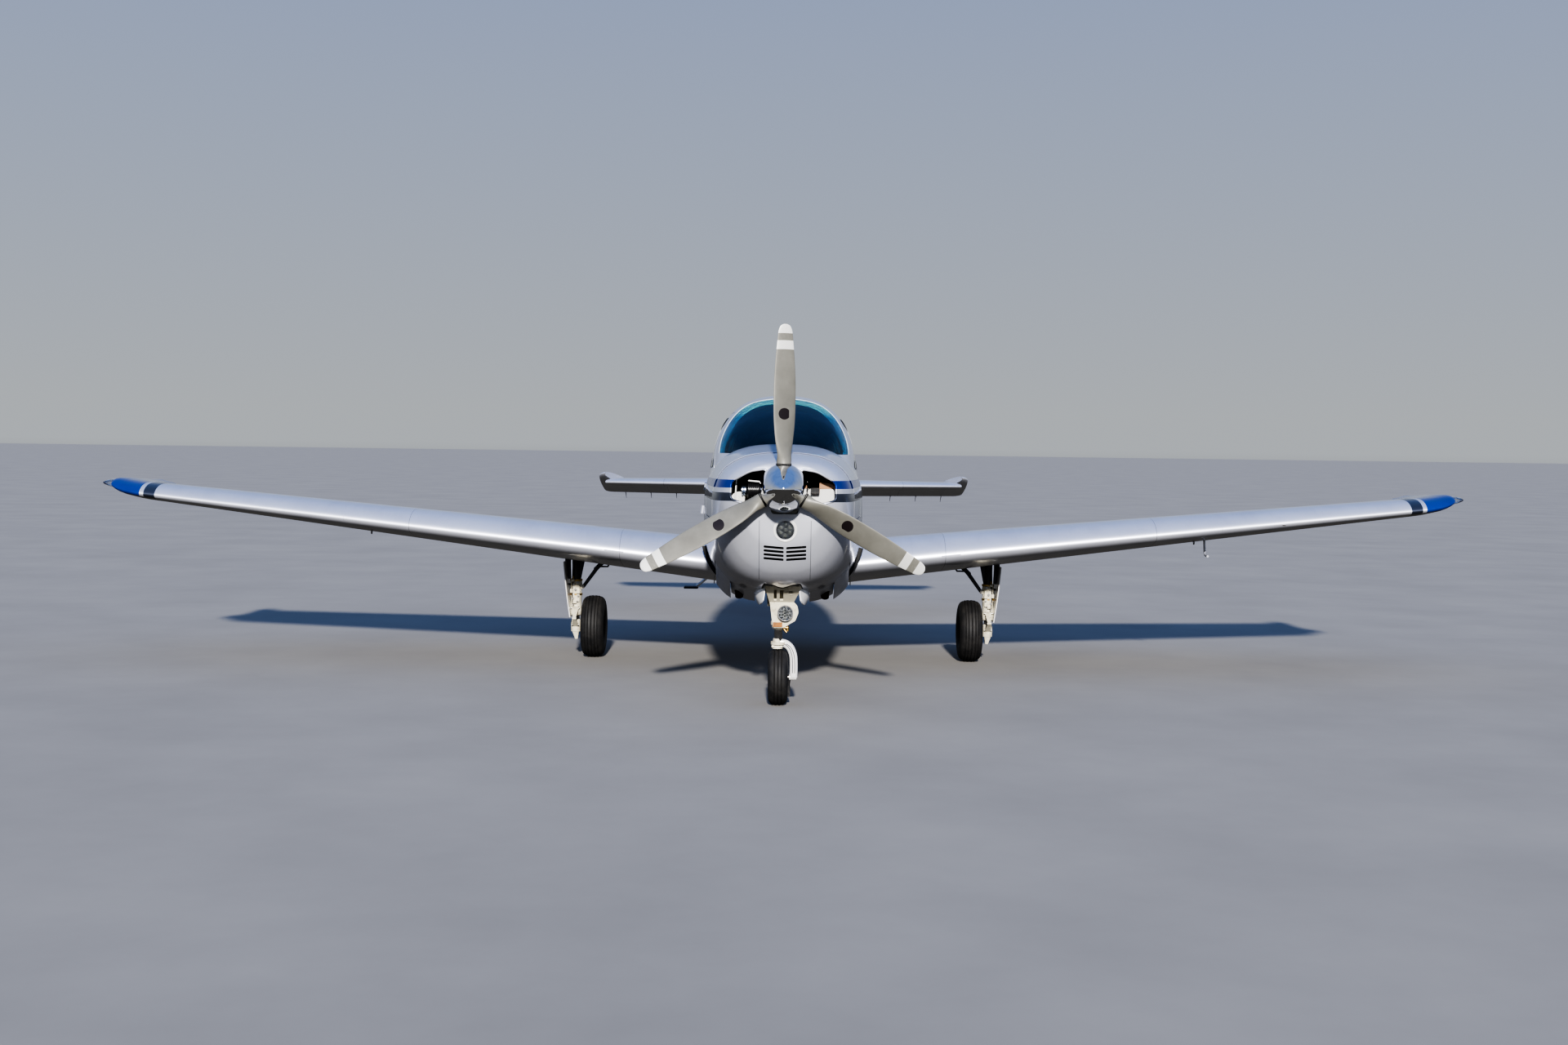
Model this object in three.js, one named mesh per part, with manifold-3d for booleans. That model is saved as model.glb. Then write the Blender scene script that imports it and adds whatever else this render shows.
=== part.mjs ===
// Light aircraft with one engine, a low wing, six seats, retractable gear and a conventional tail.
//
// Millimetres. +X is the aircraft's left, +Y is aft, +Z is up, and the ground is at Z = 0.
// A station is a distance aft of the spinner's tip, so Y = station - LENGTH / 2.

import * as THREE from 'three';
import { mergeVertices } from 'three/addons/utils/BufferGeometryUtils.js';
import Module from 'manifold-3d';

const wasm = await Module();
wasm.setup();

// Driving dimensions of the whole aircraft.
const LENGTH = 8380;
const SPAN = 10210;
const HEIGHT = 2620;
const SEAT_GAP = 0.3; // between pieces that touch
const RUNNING_GAP = 7; // between a moving surface and its bay

// Heights and stations that several pieces share.
const PROP_AXIS_Z = 1399;
const PROP_PLANE = 330;
const FIREWALL = 1500;
const REAR_BULKHEAD = 4950;
const TAIL_END = 7780;
const CABIN_SPLIT_Z = 1420;
const FLOOR_Z = 800;

// Thickness of each kind of wall.
const COWL_WALL = 12;
const CABIN_WALL = 38;
const TAIL_WALL = 10;
const GLASS = 6;
const GLASS_SET_BACK = 2;

// Paint and bare materials: colour, roughness, metalness.
const PAINTS = {
  white: [0xe4e6ee, 0.32, 0.1],
  blue: [0x1c3f8f, 0.3, 0.1],
  cream: [0xd9d4c4, 0.45, 0.0],
  engine: [0x4c4e52, 0.6, 0.5],
  chrome: [0xd5d8dc, 0.08, 1.0],
  blade: [0x8b8c88, 0.5, 0.1],
  rubber: [0x1a1a1b, 0.85, 0.0],
  alloy: [0xa9adb2, 0.4, 0.8],
  glass: [0x9fc6cf, 0.06, 0.0],
  lamp: [0xf2f2ea, 0.1, 0.0],
  panel: [0x2b2c30, 0.7, 0.0],
  leather: [0x8d8478, 0.6, 0.0],
};

const X_AXIS = new THREE.Vector3(1, 0, 0);
const Y_AXIS = new THREE.Vector3(0, 1, 0);
const Z_AXIS = new THREE.Vector3(0, 0, 1);

const toY = (station) => station - LENGTH / 2;
const at = (x, station, z) => new THREE.Vector3(x, toY(station), z);
const degrees = (angle) => THREE.MathUtils.degToRad(angle);

// Turns a table's rows into objects with named columns.
function table(names, rows) {
  return rows.map((row) => Object.fromEntries(names.map((name, i) => [name, row[i]])));
}

// Solids

function signedVolume(geometry) {
  const p = geometry.getAttribute('position');
  const index = geometry.getIndex().array;
  const a = new THREE.Vector3();
  const b = new THREE.Vector3();
  const c = new THREE.Vector3();
  let sum = 0;
  for (let i = 0; i < index.length; i += 3) {
    a.fromBufferAttribute(p, index[i]);
    b.fromBufferAttribute(p, index[i + 1]);
    c.fromBufferAttribute(p, index[i + 2]);
    sum += a.dot(b.cross(c)) / 6;
  }
  return sum;
}

// A closed geometry, in either winding, becomes a solid that can be cut and joined.
function solid(geometry) {
  geometry.deleteAttribute('normal');
  geometry.deleteAttribute('uv');
  const merged = mergeVertices(geometry, 1e-3);
  const triVerts = new Uint32Array(merged.getIndex().array);
  if (signedVolume(merged) < 0) {
    triVerts.reverse();
  }
  const vertProperties = new Float32Array(merged.getAttribute('position').array);
  return new wasm.Manifold(new wasm.Mesh({ numProp: 3, vertProperties, triVerts }));
}

function toGeometry(piece) {
  const { numProp, vertProperties, triVerts } = piece.getMesh();
  const geometry = new THREE.BufferGeometry();
  const points = new Float32Array((vertProperties.length / numProp) * 3);
  for (let i = 0; i < points.length / 3; i += 1) {
    points.set(vertProperties.subarray(i * numProp, i * numProp + 3), i * 3);
  }
  geometry.setAttribute('position', new THREE.BufferAttribute(points, 3));
  geometry.setIndex(new THREE.BufferAttribute(new Uint32Array(triVerts), 1));
  geometry.computeVertexNormals();
  return geometry;
}

const join = (...pieces) => pieces.reduce((whole, piece) => whole.add(piece));
const cut = (whole, ...tools) => tools.reduce((rest, tool) => rest.subtract(tool), whole);

function moved(geometry, matrix) {
  geometry.applyMatrix4(matrix);
  return solid(geometry);
}

function block(x0, x1, station0, station1, z0, z1) {
  const box = new THREE.BoxGeometry(x1 - x0, station1 - station0, z1 - z0);
  const centre = at((x0 + x1) / 2, (station0 + station1) / 2, (z0 + z1) / 2);
  return moved(box, new THREE.Matrix4().setPosition(centre));
}

// A round bar or cone frustum between two points.
function rod(from, to, radius, endRadius = radius, sides = 10, phase = 0) {
  const along = to.clone().sub(from);
  const bar = new THREE.CylinderGeometry(endRadius, radius, along.length(), sides, 1, false, phase);
  const turn = new THREE.Quaternion().setFromUnitVectors(Y_AXIS, along.clone().normalize());
  const middle = from.clone().add(to).multiplyScalar(0.5);
  return moved(bar, new THREE.Matrix4().compose(middle, turn, new THREE.Vector3(1, 1, 1)));
}

// A hole's polygon is turned by half a side, so that its flats clear the pin's corners by SEAT_GAP.
function bore(from, to, pinRadius, sides = 10) {
  const radius = (pinRadius + SEAT_GAP) / Math.cos(Math.PI / sides);
  return rod(from, to, radius, radius, sides, Math.PI / sides);
}

// A skin of quads through rings of equal length, closed at both ends by a fan.
function loft(rings) {
  const count = rings[0].length;
  const points = rings.flat();
  const triangles = [];
  for (let r = 0; r + 1 < rings.length; r += 1) {
    for (let i = 0; i < count; i += 1) {
      const j = (i + 1) % count;
      const a = r * count + i;
      const b = r * count + j;
      triangles.push(a, b, b + count, a, b + count, a + count);
    }
  }
  for (const [r, flip] of [[0, true], [rings.length - 1, false]]) {
    const middle = rings[r].reduce((sum, p) => sum.add(p), new THREE.Vector3()).divideScalar(count);
    const hub = points.length;
    points.push(middle);
    for (let i = 0; i < count; i += 1) {
      const a = r * count + i;
      const b = r * count + ((i + 1) % count);
      triangles.push(...(flip ? [hub, b, a] : [hub, a, b]));
    }
  }
  const geometry = new THREE.BufferGeometry().setFromPoints(points);
  geometry.setIndex(triangles);
  return solid(geometry);
}

// A shape whose corners are rounded by one radius.
function roundedShape(corners, radius) {
  const shape = new THREE.Shape();
  corners.forEach(([x, y], i) => {
    const corner = new THREE.Vector2(x, y);
    const before = new THREE.Vector2(...corners.at(i - 1));
    const after = new THREE.Vector2(...corners[(i + 1) % corners.length]);
    const enter = before.sub(corner).setLength(radius).add(corner);
    const leave = after.sub(corner).setLength(radius).add(corner);
    shape[i ? 'lineTo' : 'moveTo'](enter.x, enter.y);
    shape.quadraticCurveTo(corner.x, corner.y, leave.x, leave.y);
  });
  shape.closePath();
  return shape;
}

function plainShape(corners) {
  return new THREE.Shape(corners.map(([x, y]) => new THREE.Vector2(x, y)));
}

function extrude(shape, depth, curveSegments = 2) {
  return new THREE.ExtrudeGeometry(shape, { depth, bevelEnabled: false, curveSegments });
}

// A shape drawn as (station, Z), from x0 to x1 along X.
function sideProfile(shape, x0, x1) {
  const geometry = extrude(shape, x1 - x0);
  const turn = new THREE.Matrix4().makeBasis(Y_AXIS, Z_AXIS, X_AXIS);
  return moved(geometry, turn.setPosition(x0, -LENGTH / 2, 0));
}

// A shape drawn as (X, Z), from one station aft to another.
function frontProfile(shape, station0, station1) {
  const geometry = extrude(shape, station1 - station0);
  const turn = new THREE.Matrix4().makeBasis(X_AXIS, Z_AXIS, Y_AXIS.clone().negate());
  return moved(geometry, turn.setPosition(0, toY(station1), 0));
}

// A turned shape: profile points are (radius, distance), and the axis runs from a point along a direction.
function turned(profile, origin, direction, sides) {
  const lathe = new THREE.LatheGeometry(profile.map(([r, d]) => new THREE.Vector2(r, d)), sides);
  const turn = new THREE.Quaternion().setFromUnitVectors(Y_AXIS, direction);
  return moved(lathe, new THREE.Matrix4().compose(origin, turn, new THREE.Vector3(1, 1, 1)));
}

// Body sections

// The hull runs from the nose bowl to the tail's end. Each section is two half superellipses that
// meet at the widest height, with an exponent below it and one above it.
const HULL = table(
  ['station', 'bottom', 'widest', 'top', 'half', 'low', 'up'],
  [
    [405, 1238, 1399, 1547, 156, 2.0, 2.0],
    [425, 1030, 1375, 1558, 280, 2.2, 2.2],
    [480, 870, 1340, 1578, 372, 2.4, 2.4],
    [600, 792, 1310, 1602, 424, 2.6, 2.5],
    [900, 726, 1285, 1631, 466, 2.8, 2.6],
    [1500, 660, 1255, 1667, 520, 3.0, 2.7],
    [2100, 625, 1230, 1640, 560, 3.0, 2.7],
    [2900, 600, 1220, 1560, 580, 3.0, 2.7],
    [4000, 612, 1220, 1540, 570, 3.0, 2.7],
    [4700, 670, 1225, 1530, 520, 2.9, 2.6],
    [5900, 862, 1240, 1510, 350, 2.6, 2.4],
    [7000, 1032, 1270, 1490, 200, 2.4, 2.2],
    [TAIL_END, 1130, 1300, 1462, 98, 2.2, 2.2],
  ],
);

// The cabin top stands on the hull: windscreen, roof and the fairing down to the tail.
const CABIN_TOP = table(
  ['station', 'bottom', 'widest', 'top', 'half', 'up'],
  [
    [1640, 1450, 1500, 1655, 60, 2.2],
    [1700, 1450, 1500, 1690, 185, 2.2],
    [1800, 1450, 1500, 1747, 295, 2.2],
    [1900, 1450, 1500, 1800, 368, 2.3],
    [2090, 1420, 1470, 1893, 475, 2.4],
    [2375, 1200, 1320, 1998, 530, 2.6],
    [2900, 1200, 1300, 2030, 548, 2.6],
    [3300, 1200, 1300, 2028, 548, 2.6],
    [4100, 1200, 1300, 1965, 525, 2.6],
    [5000, 1200, 1300, 1810, 440, 2.5],
    [5900, 1220, 1300, 1640, 315, 2.3],
    [6900, 1250, 1320, 1480, 160, 2.2],
  ],
);

const HULL_STATIONS = [
  405, 425, 452, 500, 600, 800, 1100, FIREWALL, 2100, 2700, 3400, 4100, REAR_BULKHEAD, 5900, 7000,
  TAIL_END,
];
const TOP_STATIONS = [
  1640, 1700, 1800, 1950, 2140, 2375, 2750, 3300, 3900, 4450, REAR_BULKHEAD, 5900, 6900,
];
const HULL_POINTS = 20;
const TOP_POINTS = 12;

// Value of one column at a station, along a cubic that never overshoots the rows.
function along(rows, column, station) {
  const x = rows.map((row) => row.station);
  const y = rows.map((row) => row[column]);
  const steps = x.slice(1).map((value, i) => value - x[i]);
  const rises = steps.map((step, i) => (y[i + 1] - y[i]) / step);
  const slope = (i) => {
    if (i === 0) return rises[0];
    if (i === rises.length) return rises.at(-1);
    if (rises[i - 1] * rises[i] <= 0) return 0;
    const w1 = 2 * steps[i] + steps[i - 1];
    const w2 = steps[i] + 2 * steps[i - 1];
    return (w1 + w2) / (w1 / rises[i - 1] + w2 / rises[i]);
  };
  const last = steps.length - 1;
  const i = Math.min(last, Math.max(0, x.findLastIndex((value) => value <= station)));
  const t = THREE.MathUtils.clamp((station - x[i]) / steps[i], 0, 1);
  const h00 = (1 + 2 * t) * (1 - t) ** 2;
  const h10 = t * (1 - t) ** 2;
  const h01 = t * t * (3 - 2 * t);
  const h11 = t * t * (t - 1);
  return h00 * y[i] + h10 * steps[i] * slope(i) + h01 * y[i + 1] + h11 * steps[i] * slope(i + 1);
}

const bent = (value, exponent) => Math.sign(value) * Math.abs(value) ** (2 / exponent);

function hullRing(station, inset) {
  const get = (column) => along(HULL, column, station);
  const [bottom, widest, top, half] = ['bottom', 'widest', 'top', 'half'].map(get);
  return Array.from({ length: HULL_POINTS }, (_, i) => {
    const angle = (2 * Math.PI * i) / HULL_POINTS;
    const above = Math.sin(angle) >= 0;
    const exponent = get(above ? 'up' : 'low');
    const rise = (above ? top - widest : widest - bottom) - inset;
    const x = (half - inset) * bent(Math.cos(angle), exponent);
    return at(x, station, widest + rise * bent(Math.sin(angle), exponent));
  });
}

function topRing(station, inset) {
  const get = (column) => along(CABIN_TOP, column, station);
  const [bottom, widest, top, half, up] = ['bottom', 'widest', 'top', 'half', 'up'].map(get);
  const width = Math.max(half - inset, 10);
  const rise = Math.max(top - widest - inset, 10);
  const arch = Array.from({ length: TOP_POINTS + 1 }, (_, i) => {
    const angle = (Math.PI * i) / TOP_POINTS;
    return at(width * bent(Math.cos(angle), up), station, widest + rise * bent(Math.sin(angle), up));
  });
  return [...arch, at(-width, station, bottom), at(width, station, bottom)];
}

function between(stations, from, to) {
  return [from, ...stations.filter((s) => s > from + 5 && s < to - 5), to];
}

// The body's outside, moved in by an inset, between two stations.
function bodySolid(inset, from, to) {
  const hull = loft(between(HULL_STATIONS, from, to).map((s) => hullRing(s, inset)));
  const topFrom = Math.max(from, TOP_STATIONS[0]);
  const topTo = Math.min(to, TOP_STATIONS.at(-1));
  if (topFrom >= topTo) return hull;
  return hull.add(loft(between(TOP_STATIONS, topFrom, topTo).map((s) => topRing(s, inset))));
}

function topSolid(inset, from, to) {
  return loft(between(TOP_STATIONS, from, to).map((s) => topRing(s, inset)));
}

const BODY_SEAT = bodySolid(-SEAT_GAP, HULL_STATIONS[0], TAIL_END);

// Lifting surfaces

// Section outlines run from the trailing edge over the top to the nose and back below.
const SECTION_POINTS = 10;
const CAMBER_PEAK = 0.2025; // the wing section's camber line is a cubic up to here, then straight
const CAMBER_SLOPE = 15.957;

function halfThickness(x, ratio) {
  const shape = 0.2969 * Math.sqrt(x) - 0.126 * x - 0.3516 * x ** 2 + 0.2843 * x ** 3 - 0.1015 * x ** 4;
  return 5 * ratio * shape;
}

function camber(x) {
  const m = CAMBER_PEAK;
  const front = x ** 3 - 3 * m * x ** 2 + m ** 2 * (3 - m) * x;
  return (CAMBER_SLOPE / 6) * (x < m ? front : m ** 3 * (1 - x));
}

// section: lead point, chord, thickness ratio, twist in degrees, cambered or not, thickness direction
function sectionPoint(section, x, y) {
  const { lead, chord, twist = 0, across } = section;
  const angle = degrees(twist);
  const aft = (x * Math.cos(angle) + y * Math.sin(angle)) * chord;
  const off = (y * Math.cos(angle) - x * Math.sin(angle)) * chord;
  return lead.clone().addScaledVector(Y_AXIS, aft).addScaledVector(across, off);
}

function sectionRing(section) {
  const line = (x) => (section.cambered ? camber(x) : 0);
  const spread = (i) => (1 - Math.cos((Math.PI * i) / SECTION_POINTS)) / 2;
  const ring = [];
  for (let i = SECTION_POINTS; i >= 0; i -= 1) {
    const x = spread(i);
    ring.push(sectionPoint(section, x, line(x) + halfThickness(x, section.thickness)));
  }
  for (let i = 1; i <= SECTION_POINTS; i += 1) {
    const x = spread(i);
    ring.push(sectionPoint(section, x, line(x) - halfThickness(x, section.thickness)));
  }
  return ring;
}

// The hinge point of a section lies half way through its thickness.
function hingePoint(section, x) {
  return sectionPoint(section, x, section.cambered ? camber(x) : 0);
}

// Splits a skin at a hinge line into the surface that turns and what stays fixed around it.
const PIN_RADIUS = 8;
const PIN_REACH = 10;

function splitAtHinge(skin, from, to, radii, across, ends = [true, true]) {
  const hinge = to.clone().sub(from).normalize();
  const aft = Y_AXIS.clone().addScaledVector(hinge, -Y_AXIS.dot(hinge)).normalize();
  const up = across.clone().addScaledVector(hinge, -across.dot(hinge)).normalize();
  const deep = 260;
  const back = 900;
  const behind = (a, b) => loft([a, b].map((point) => [
    point.clone().addScaledVector(up, -deep),
    point.clone().addScaledVector(aft, back).addScaledVector(up, -deep),
    point.clone().addScaledVector(aft, back).addScaledVector(up, deep),
    point.clone().addScaledVector(up, deep),
  ]));
  const inFrom = from.clone().addScaledVector(hinge, RUNNING_GAP);
  const inTo = to.clone().addScaledVector(hinge, -RUNNING_GAP);
  const [r0, r1] = radii.map((r) => r - 1);
  let moving = skin.intersect(behind(inFrom, inTo)).add(rod(inFrom, inTo, r0, r1, 16));
  const bay = behind(from, to).add(rod(from, to, r0 + RUNNING_GAP, r1 + RUNNING_GAP, 16));
  let fixed = skin.subtract(bay);
  const reach = RUNNING_GAP + PIN_REACH;
  const pins = [[inFrom, -1], [inTo, 1]].filter((_, i) => ends[i]);
  for (const [end, sign] of pins) {
    const root = end.clone().addScaledVector(hinge, -sign * 20);
    const tip = end.clone().addScaledVector(hinge, sign * reach);
    const hole = tip.clone().addScaledVector(hinge, sign * SEAT_GAP);
    moving = moving.add(rod(root, tip, PIN_RADIUS));
    fixed = fixed.subtract(bore(root, hole, PIN_RADIUS));
  }
  return { moving, fixed, hinge };
}

// Scene graph

const aircraft = new THREE.Group();
aircraft.name = 'light_aircraft';

function addMesh(name, piece, paint, parent = aircraft) {
  const [color, roughness, metalness] = PAINTS[paint];
  const material = new THREE.MeshStandardMaterial({ color, roughness, metalness });
  if (paint === 'glass') {
    material.transparent = true;
    material.opacity = 0.4;
  }
  const mesh = new THREE.Mesh(toGeometry(piece), material);
  mesh.name = name;
  mesh.geometry.translate(-parent.position.x, -parent.position.y, -parent.position.z);
  parent.add(mesh);
}

// A group that holds one moving body: its position is a point on the joint's axis.
function addJoint(name, pivot, axis) {
  const group = new THREE.Group();
  group.name = name;
  group.position.copy(pivot);
  group.userData.axis = axis.toArray();
  aircraft.add(group);
  return group;
}

const SIDES = [['left', 1], ['right', -1]];

// Engine cowl

const BOWL_END = 700;
const SHAFT_RADIUS = 42;
const INLET = [[118, 1330], [118, 1500], [215, 1492], [322, 1436], [326, 1325], [235, 1300]];
const GRILLE = { half: 130, centreBar: 8, low: 958, pitch: 24, slot: 15, count: 4 };
const LANDING_LIGHT = { z: 1142, radius: 56, front: 404, depth: 44 };
const COWL_DOOR = { front: 730, rear: 1470, low: 1190, spine: 20, hingeRise: 2, gap: 5, hingeGap: 9 };
const NOSE_BAY = { half: 128, front: 800, rear: 1470 };

function noseBowl() {
  const shell = cut(bodySolid(0, 405, BOWL_END - SEAT_GAP), bodySolid(COWL_WALL, 417, BOWL_END + 20));
  const tools = [rod(at(0, 380, PROP_AXIS_Z), at(0, 450, PROP_AXIS_Z), SHAFT_RADIUS + 12)];
  for (const [, side] of SIDES) {
    const corners = INLET.map(([x, z]) => [side * x, z]);
    tools.push(frontProfile(roundedShape(corners, 30), 380, 640));
    for (let i = 0; i < GRILLE.count; i += 1) {
      const low = GRILLE.low + i * GRILLE.pitch;
      const [x0, x1] = [GRILLE.centreBar, GRILLE.half].map((x) => side * x).sort((a, b) => a - b);
      tools.push(block(x0, x1, 400, 560, low, low + GRILLE.slot));
    }
  }
  const { z, radius, front, depth } = LANDING_LIGHT;
  tools.push(bore(at(0, front - 20, z), at(0, front + depth + 20, z), radius, 16));
  return cut(shell, ...tools);
}

function landingLight() {
  const { z, radius, front, depth } = LANDING_LIGHT;
  const profile = [[0, 0], [radius - 16, 1], [radius - 2, 5], [radius, 7], [radius, depth], [0, depth]];
  return turned(profile, at(0, front, z), Y_AXIS, 16);
}

// The upper cowl is two doors on a spine: each turns about a straight line along the spine's edge.
function cowlHinge(side) {
  const { front, rear, spine, hingeRise } = COWL_DOOR;
  return [front, rear].map((station) => at(side * spine, station, along(HULL, 'top', station) + hingeRise));
}

function cowlDoorCutter(side, gap, hingeGap) {
  const { spine, low, front, rear } = COWL_DOOR;
  const [x0, x1] = [side * (spine + hingeGap), side * 700].sort((a, b) => a - b);
  return block(x0, x1, front + gap, rear - gap, low + gap, 1800);
}

const COWL_KNUCKLES = [0.12, 0.5, 0.88];
const COWL_KNUCKLE = { radius: 7, half: 30 };

function cowlKnuckles(side, grow) {
  const [front, rear] = cowlHinge(side);
  const direction = rear.clone().sub(front).normalize();
  return COWL_KNUCKLES.map((share) => {
    const middle = front.clone().lerp(rear, share);
    const reach = COWL_KNUCKLE.half + grow;
    const from = middle.clone().addScaledVector(direction, -reach);
    const to = middle.clone().addScaledVector(direction, reach);
    return grow ? bore(from, to, COWL_KNUCKLE.radius) : rod(from, to, COWL_KNUCKLE.radius);
  });
}

function cowlShell() {
  return cut(bodySolid(0, BOWL_END, FIREWALL - SEAT_GAP), bodySolid(COWL_WALL, BOWL_END - 20, FIREWALL + 20));
}

const COWL_FLAP = { opening: 240, inner: 335, outer: 445, hinge: 1160, rear: 1420, hang: 105 };

function engineCowl() {
  const { half, front, rear } = NOSE_BAY;
  const flap = COWL_FLAP;
  const tools = [block(-half, half, front, rear, 500, 900)];
  for (const [, side] of SIDES) {
    tools.push(cowlDoorCutter(side, 0, 0), ...cowlKnuckles(side, SEAT_GAP));
    const [x0, x1] = [side * flap.opening, side * flap.outer].sort((a, b) => a - b);
    tools.push(block(x0, x1, flap.hinge, flap.rear, 500, 960));
  }
  const pieces = SIDES.map(([, side]) => cowlFlap(side));
  const doors = SIDES.map(([, side]) => noseDoor(side));
  return join(cut(cowlShell(), ...tools), ...pieces, ...doors);
}

// An open cowl flap hangs from its front edge: it is the piece of skin it left, turned down.
function cowlFlap(side) {
  const { inner, outer, hinge, rear, hang } = COWL_FLAP;
  const [x0, x1] = [side * inner, side * outer].sort((a, b) => a - b);
  const skin = cut(bodySolid(0, hinge - 8, rear - 12), bodySolid(COWL_WALL, hinge - 40, rear + 20));
  const piece = skin.intersect(block(x0 + 6, x1 - 6, hinge - 20, rear, 500, 960));
  const geometry = toGeometry(piece);
  const pivot = at(0, hinge, 840);
  const turn = new THREE.Matrix4().makeTranslation(pivot.x, pivot.y, pivot.z)
    .multiply(new THREE.Matrix4().makeRotationX(-Math.asin(hang / (rear - hinge))))
    .multiply(new THREE.Matrix4().makeTranslation(-pivot.x, -pivot.y, -pivot.z));
  return moved(geometry, turn);
}

// Nose gear doors hang from the edges of the bay, curved like the skin they close.
function noseDoor(side) {
  const { half, front, rear } = NOSE_BAY;
  const outline = [
    [half - 6, 780], [half + 8, 780], [half + 26, 720], [half + 40, 634], [half + 30, 634], [half + 14, 720],
  ];
  return frontProfile(plainShape(outline.map(([x, z]) => [side * x, z])), front, rear);
}

function cowlDoor(side) {
  const { gap, hingeGap, spine } = COWL_DOOR;
  const skin = cowlShell().intersect(cowlDoorCutter(side, gap, hingeGap));
  const reach = cowlShell().intersect(cowlDoorCutter(side, gap, 0));
  const [front, rear] = cowlHinge(side);
  const tabs = COWL_KNUCKLES.map((share) => {
    const { y } = front.clone().lerp(rear, share);
    const station = y + LENGTH / 2;
    const [x0, x1] = [side * (spine + 4), side * (spine + 30)].sort((a, b) => a - b);
    const { half } = COWL_KNUCKLE;
    return reach.intersect(block(x0, x1, station - half, station + half, 1500, 1800));
  });
  return join(skin, ...tabs, ...cowlKnuckles(side, 0));
}

// Engine, with the crankshaft, its bearers and the two exhausts: closed in, so it is one plain block.
const ENGINE = { half: 355, front: 612, rear: 1400, low: 1005, high: 1455 };
const BEARER = { x: 150, half: 25, low: 928, front: 790 };
const EXHAUST = { x: 285, z: 655, station: 1330, radius: 27, knee: 130 };

function engine() {
  const { half, front, rear, low, high } = ENGINE;
  const pieces = [
    block(-half, half, front, rear, low, high),
    rod(at(0, SPINNER.length + SEAT_GAP, PROP_AXIS_Z), at(0, front + 10, PROP_AXIS_Z), SHAFT_RADIUS),
  ];
  for (const [, side] of SIDES) {
    const [x0, x1] = [side * (BEARER.x - BEARER.half), side * (BEARER.x + BEARER.half)].sort((a, b) => a - b);
    pieces.push(block(x0, x1, BEARER.front, FIREWALL - SEAT_GAP, BEARER.low, low + 40));
    const { x, z, station, radius, knee } = EXHAUST;
    pieces.push(rod(at(side * x, station - knee, low + 20), at(side * x, station - knee, 860), radius));
    pieces.push(rod(at(side * x, station - knee, 868), at(side * x, station, z), radius));
  }
  return join(...pieces);
}

// Cabin

// Side windows, drawn from the side as (station, Z). The first and the last two of the right side
// belong to its doors.
const WINDOWS = [
  [[2205, 1500], [2785, 1480], [2785, 1845], [2465, 1852]],
  [[2875, 1480], [3430, 1480], [3430, 1835], [2875, 1845]],
  [[3680, 1480], [4130, 1480], [4120, 1762], [3745, 1785]],
  [[4225, 1480], [4640, 1490], [4560, 1690], [4225, 1738]],
];
const WINDOW_CORNER = 55;
const WINDSCREEN = [[1560, 1600], [2070, 1600], [2100, 1640], [2345, 1945], [2372, 2100], [1560, 2100]];

// A hinge-side frame for each door: the axis leans in at its top by LEAN and touches the body's side.
// Outlines are (aft of the hinge, up the axis), and the free edge is bevelled so that it swings clear.
const LEAN = 8;
const DOOR_BASE_Z = 1020;
const DOORS = {
  cabin_door: { hinge: 2135, x: 596, sense: 1, bevel: 10,
    outline: [[-4, 0], [700, 0], [700, 885], [270, 900], [10, 520], [-4, 490]] },
  cargo_door_front: { hinge: 3620, x: 608, sense: 1, bevel: 15,
    outline: [[-4, 0], [560, 0], [560, 800], [78, 830], [-4, 560]] },
  cargo_door_rear: { hinge: 4760, x: 548, sense: -1, bevel: 12,
    outline: [[-4, 0], [566, 0], [566, 796], [110, 745], [-4, 500]] },
};

// Right side: +X is inboard there.
function doorFrame({ hinge, x, sense }) {
  const lean = degrees(LEAN);
  return {
    origin: at(-x, hinge, DOOR_BASE_Z),
    axis: new THREE.Vector3(Math.sin(lean), 0, Math.cos(lean)),
    out: new THREE.Vector3(-Math.cos(lean), 0, Math.sin(lean)),
    away: new THREE.Vector3(0, sense, 0),
  };
}

function doorCutter(door, gap) {
  const { origin, axis, out, away } = doorFrame(door);
  const free = Math.max(...door.outline.map(([u]) => u));
  const top = Math.max(...door.outline.map(([, v]) => v));
  const ring = (depth) => door.outline.map(([u, v]) => {
    const bevel = u === free ? depth * Math.tan(degrees(door.bevel)) - gap : 0;
    const inFront = u < 40 ? gap : 0;
    const rise = v === 0 ? gap : -gap * (v / top);
    return origin.clone()
      .addScaledVector(away, u + bevel + inFront)
      .addScaledVector(axis, v + rise)
      .addScaledVector(out, depth);
  });
  return loft([ring(-260), ring(120)]);
}

const KNUCKLE = { radius: 14, half: 28, heights: [180, 345] };

function doorKnuckles(door, grow) {
  const { origin, axis } = doorFrame(door);
  return KNUCKLE.heights.map((height) => {
    const from = origin.clone().addScaledVector(axis, height - KNUCKLE.half - grow);
    const to = origin.clone().addScaledVector(axis, height + KNUCKLE.half + grow);
    return grow ? bore(from, to, KNUCKLE.radius) : rod(from, to, KNUCKLE.radius);
  });
}

// A leaf ties each knuckle to the door's edge, which lies a little inboard of the axis.
function doorLeaves(door) {
  const { origin, axis, out, away } = doorFrame(door);
  return KNUCKLE.heights.map((height) => loft([-KNUCKLE.half, KNUCKLE.half].map((rise) => (
    [[4, 4], [52, 4], [52, -58], [4, -58]].map(([u, depth]) => origin.clone()
      .addScaledVector(axis, height + rise)
      .addScaledVector(away, u)
      .addScaledVector(out, depth))))));
}

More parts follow.
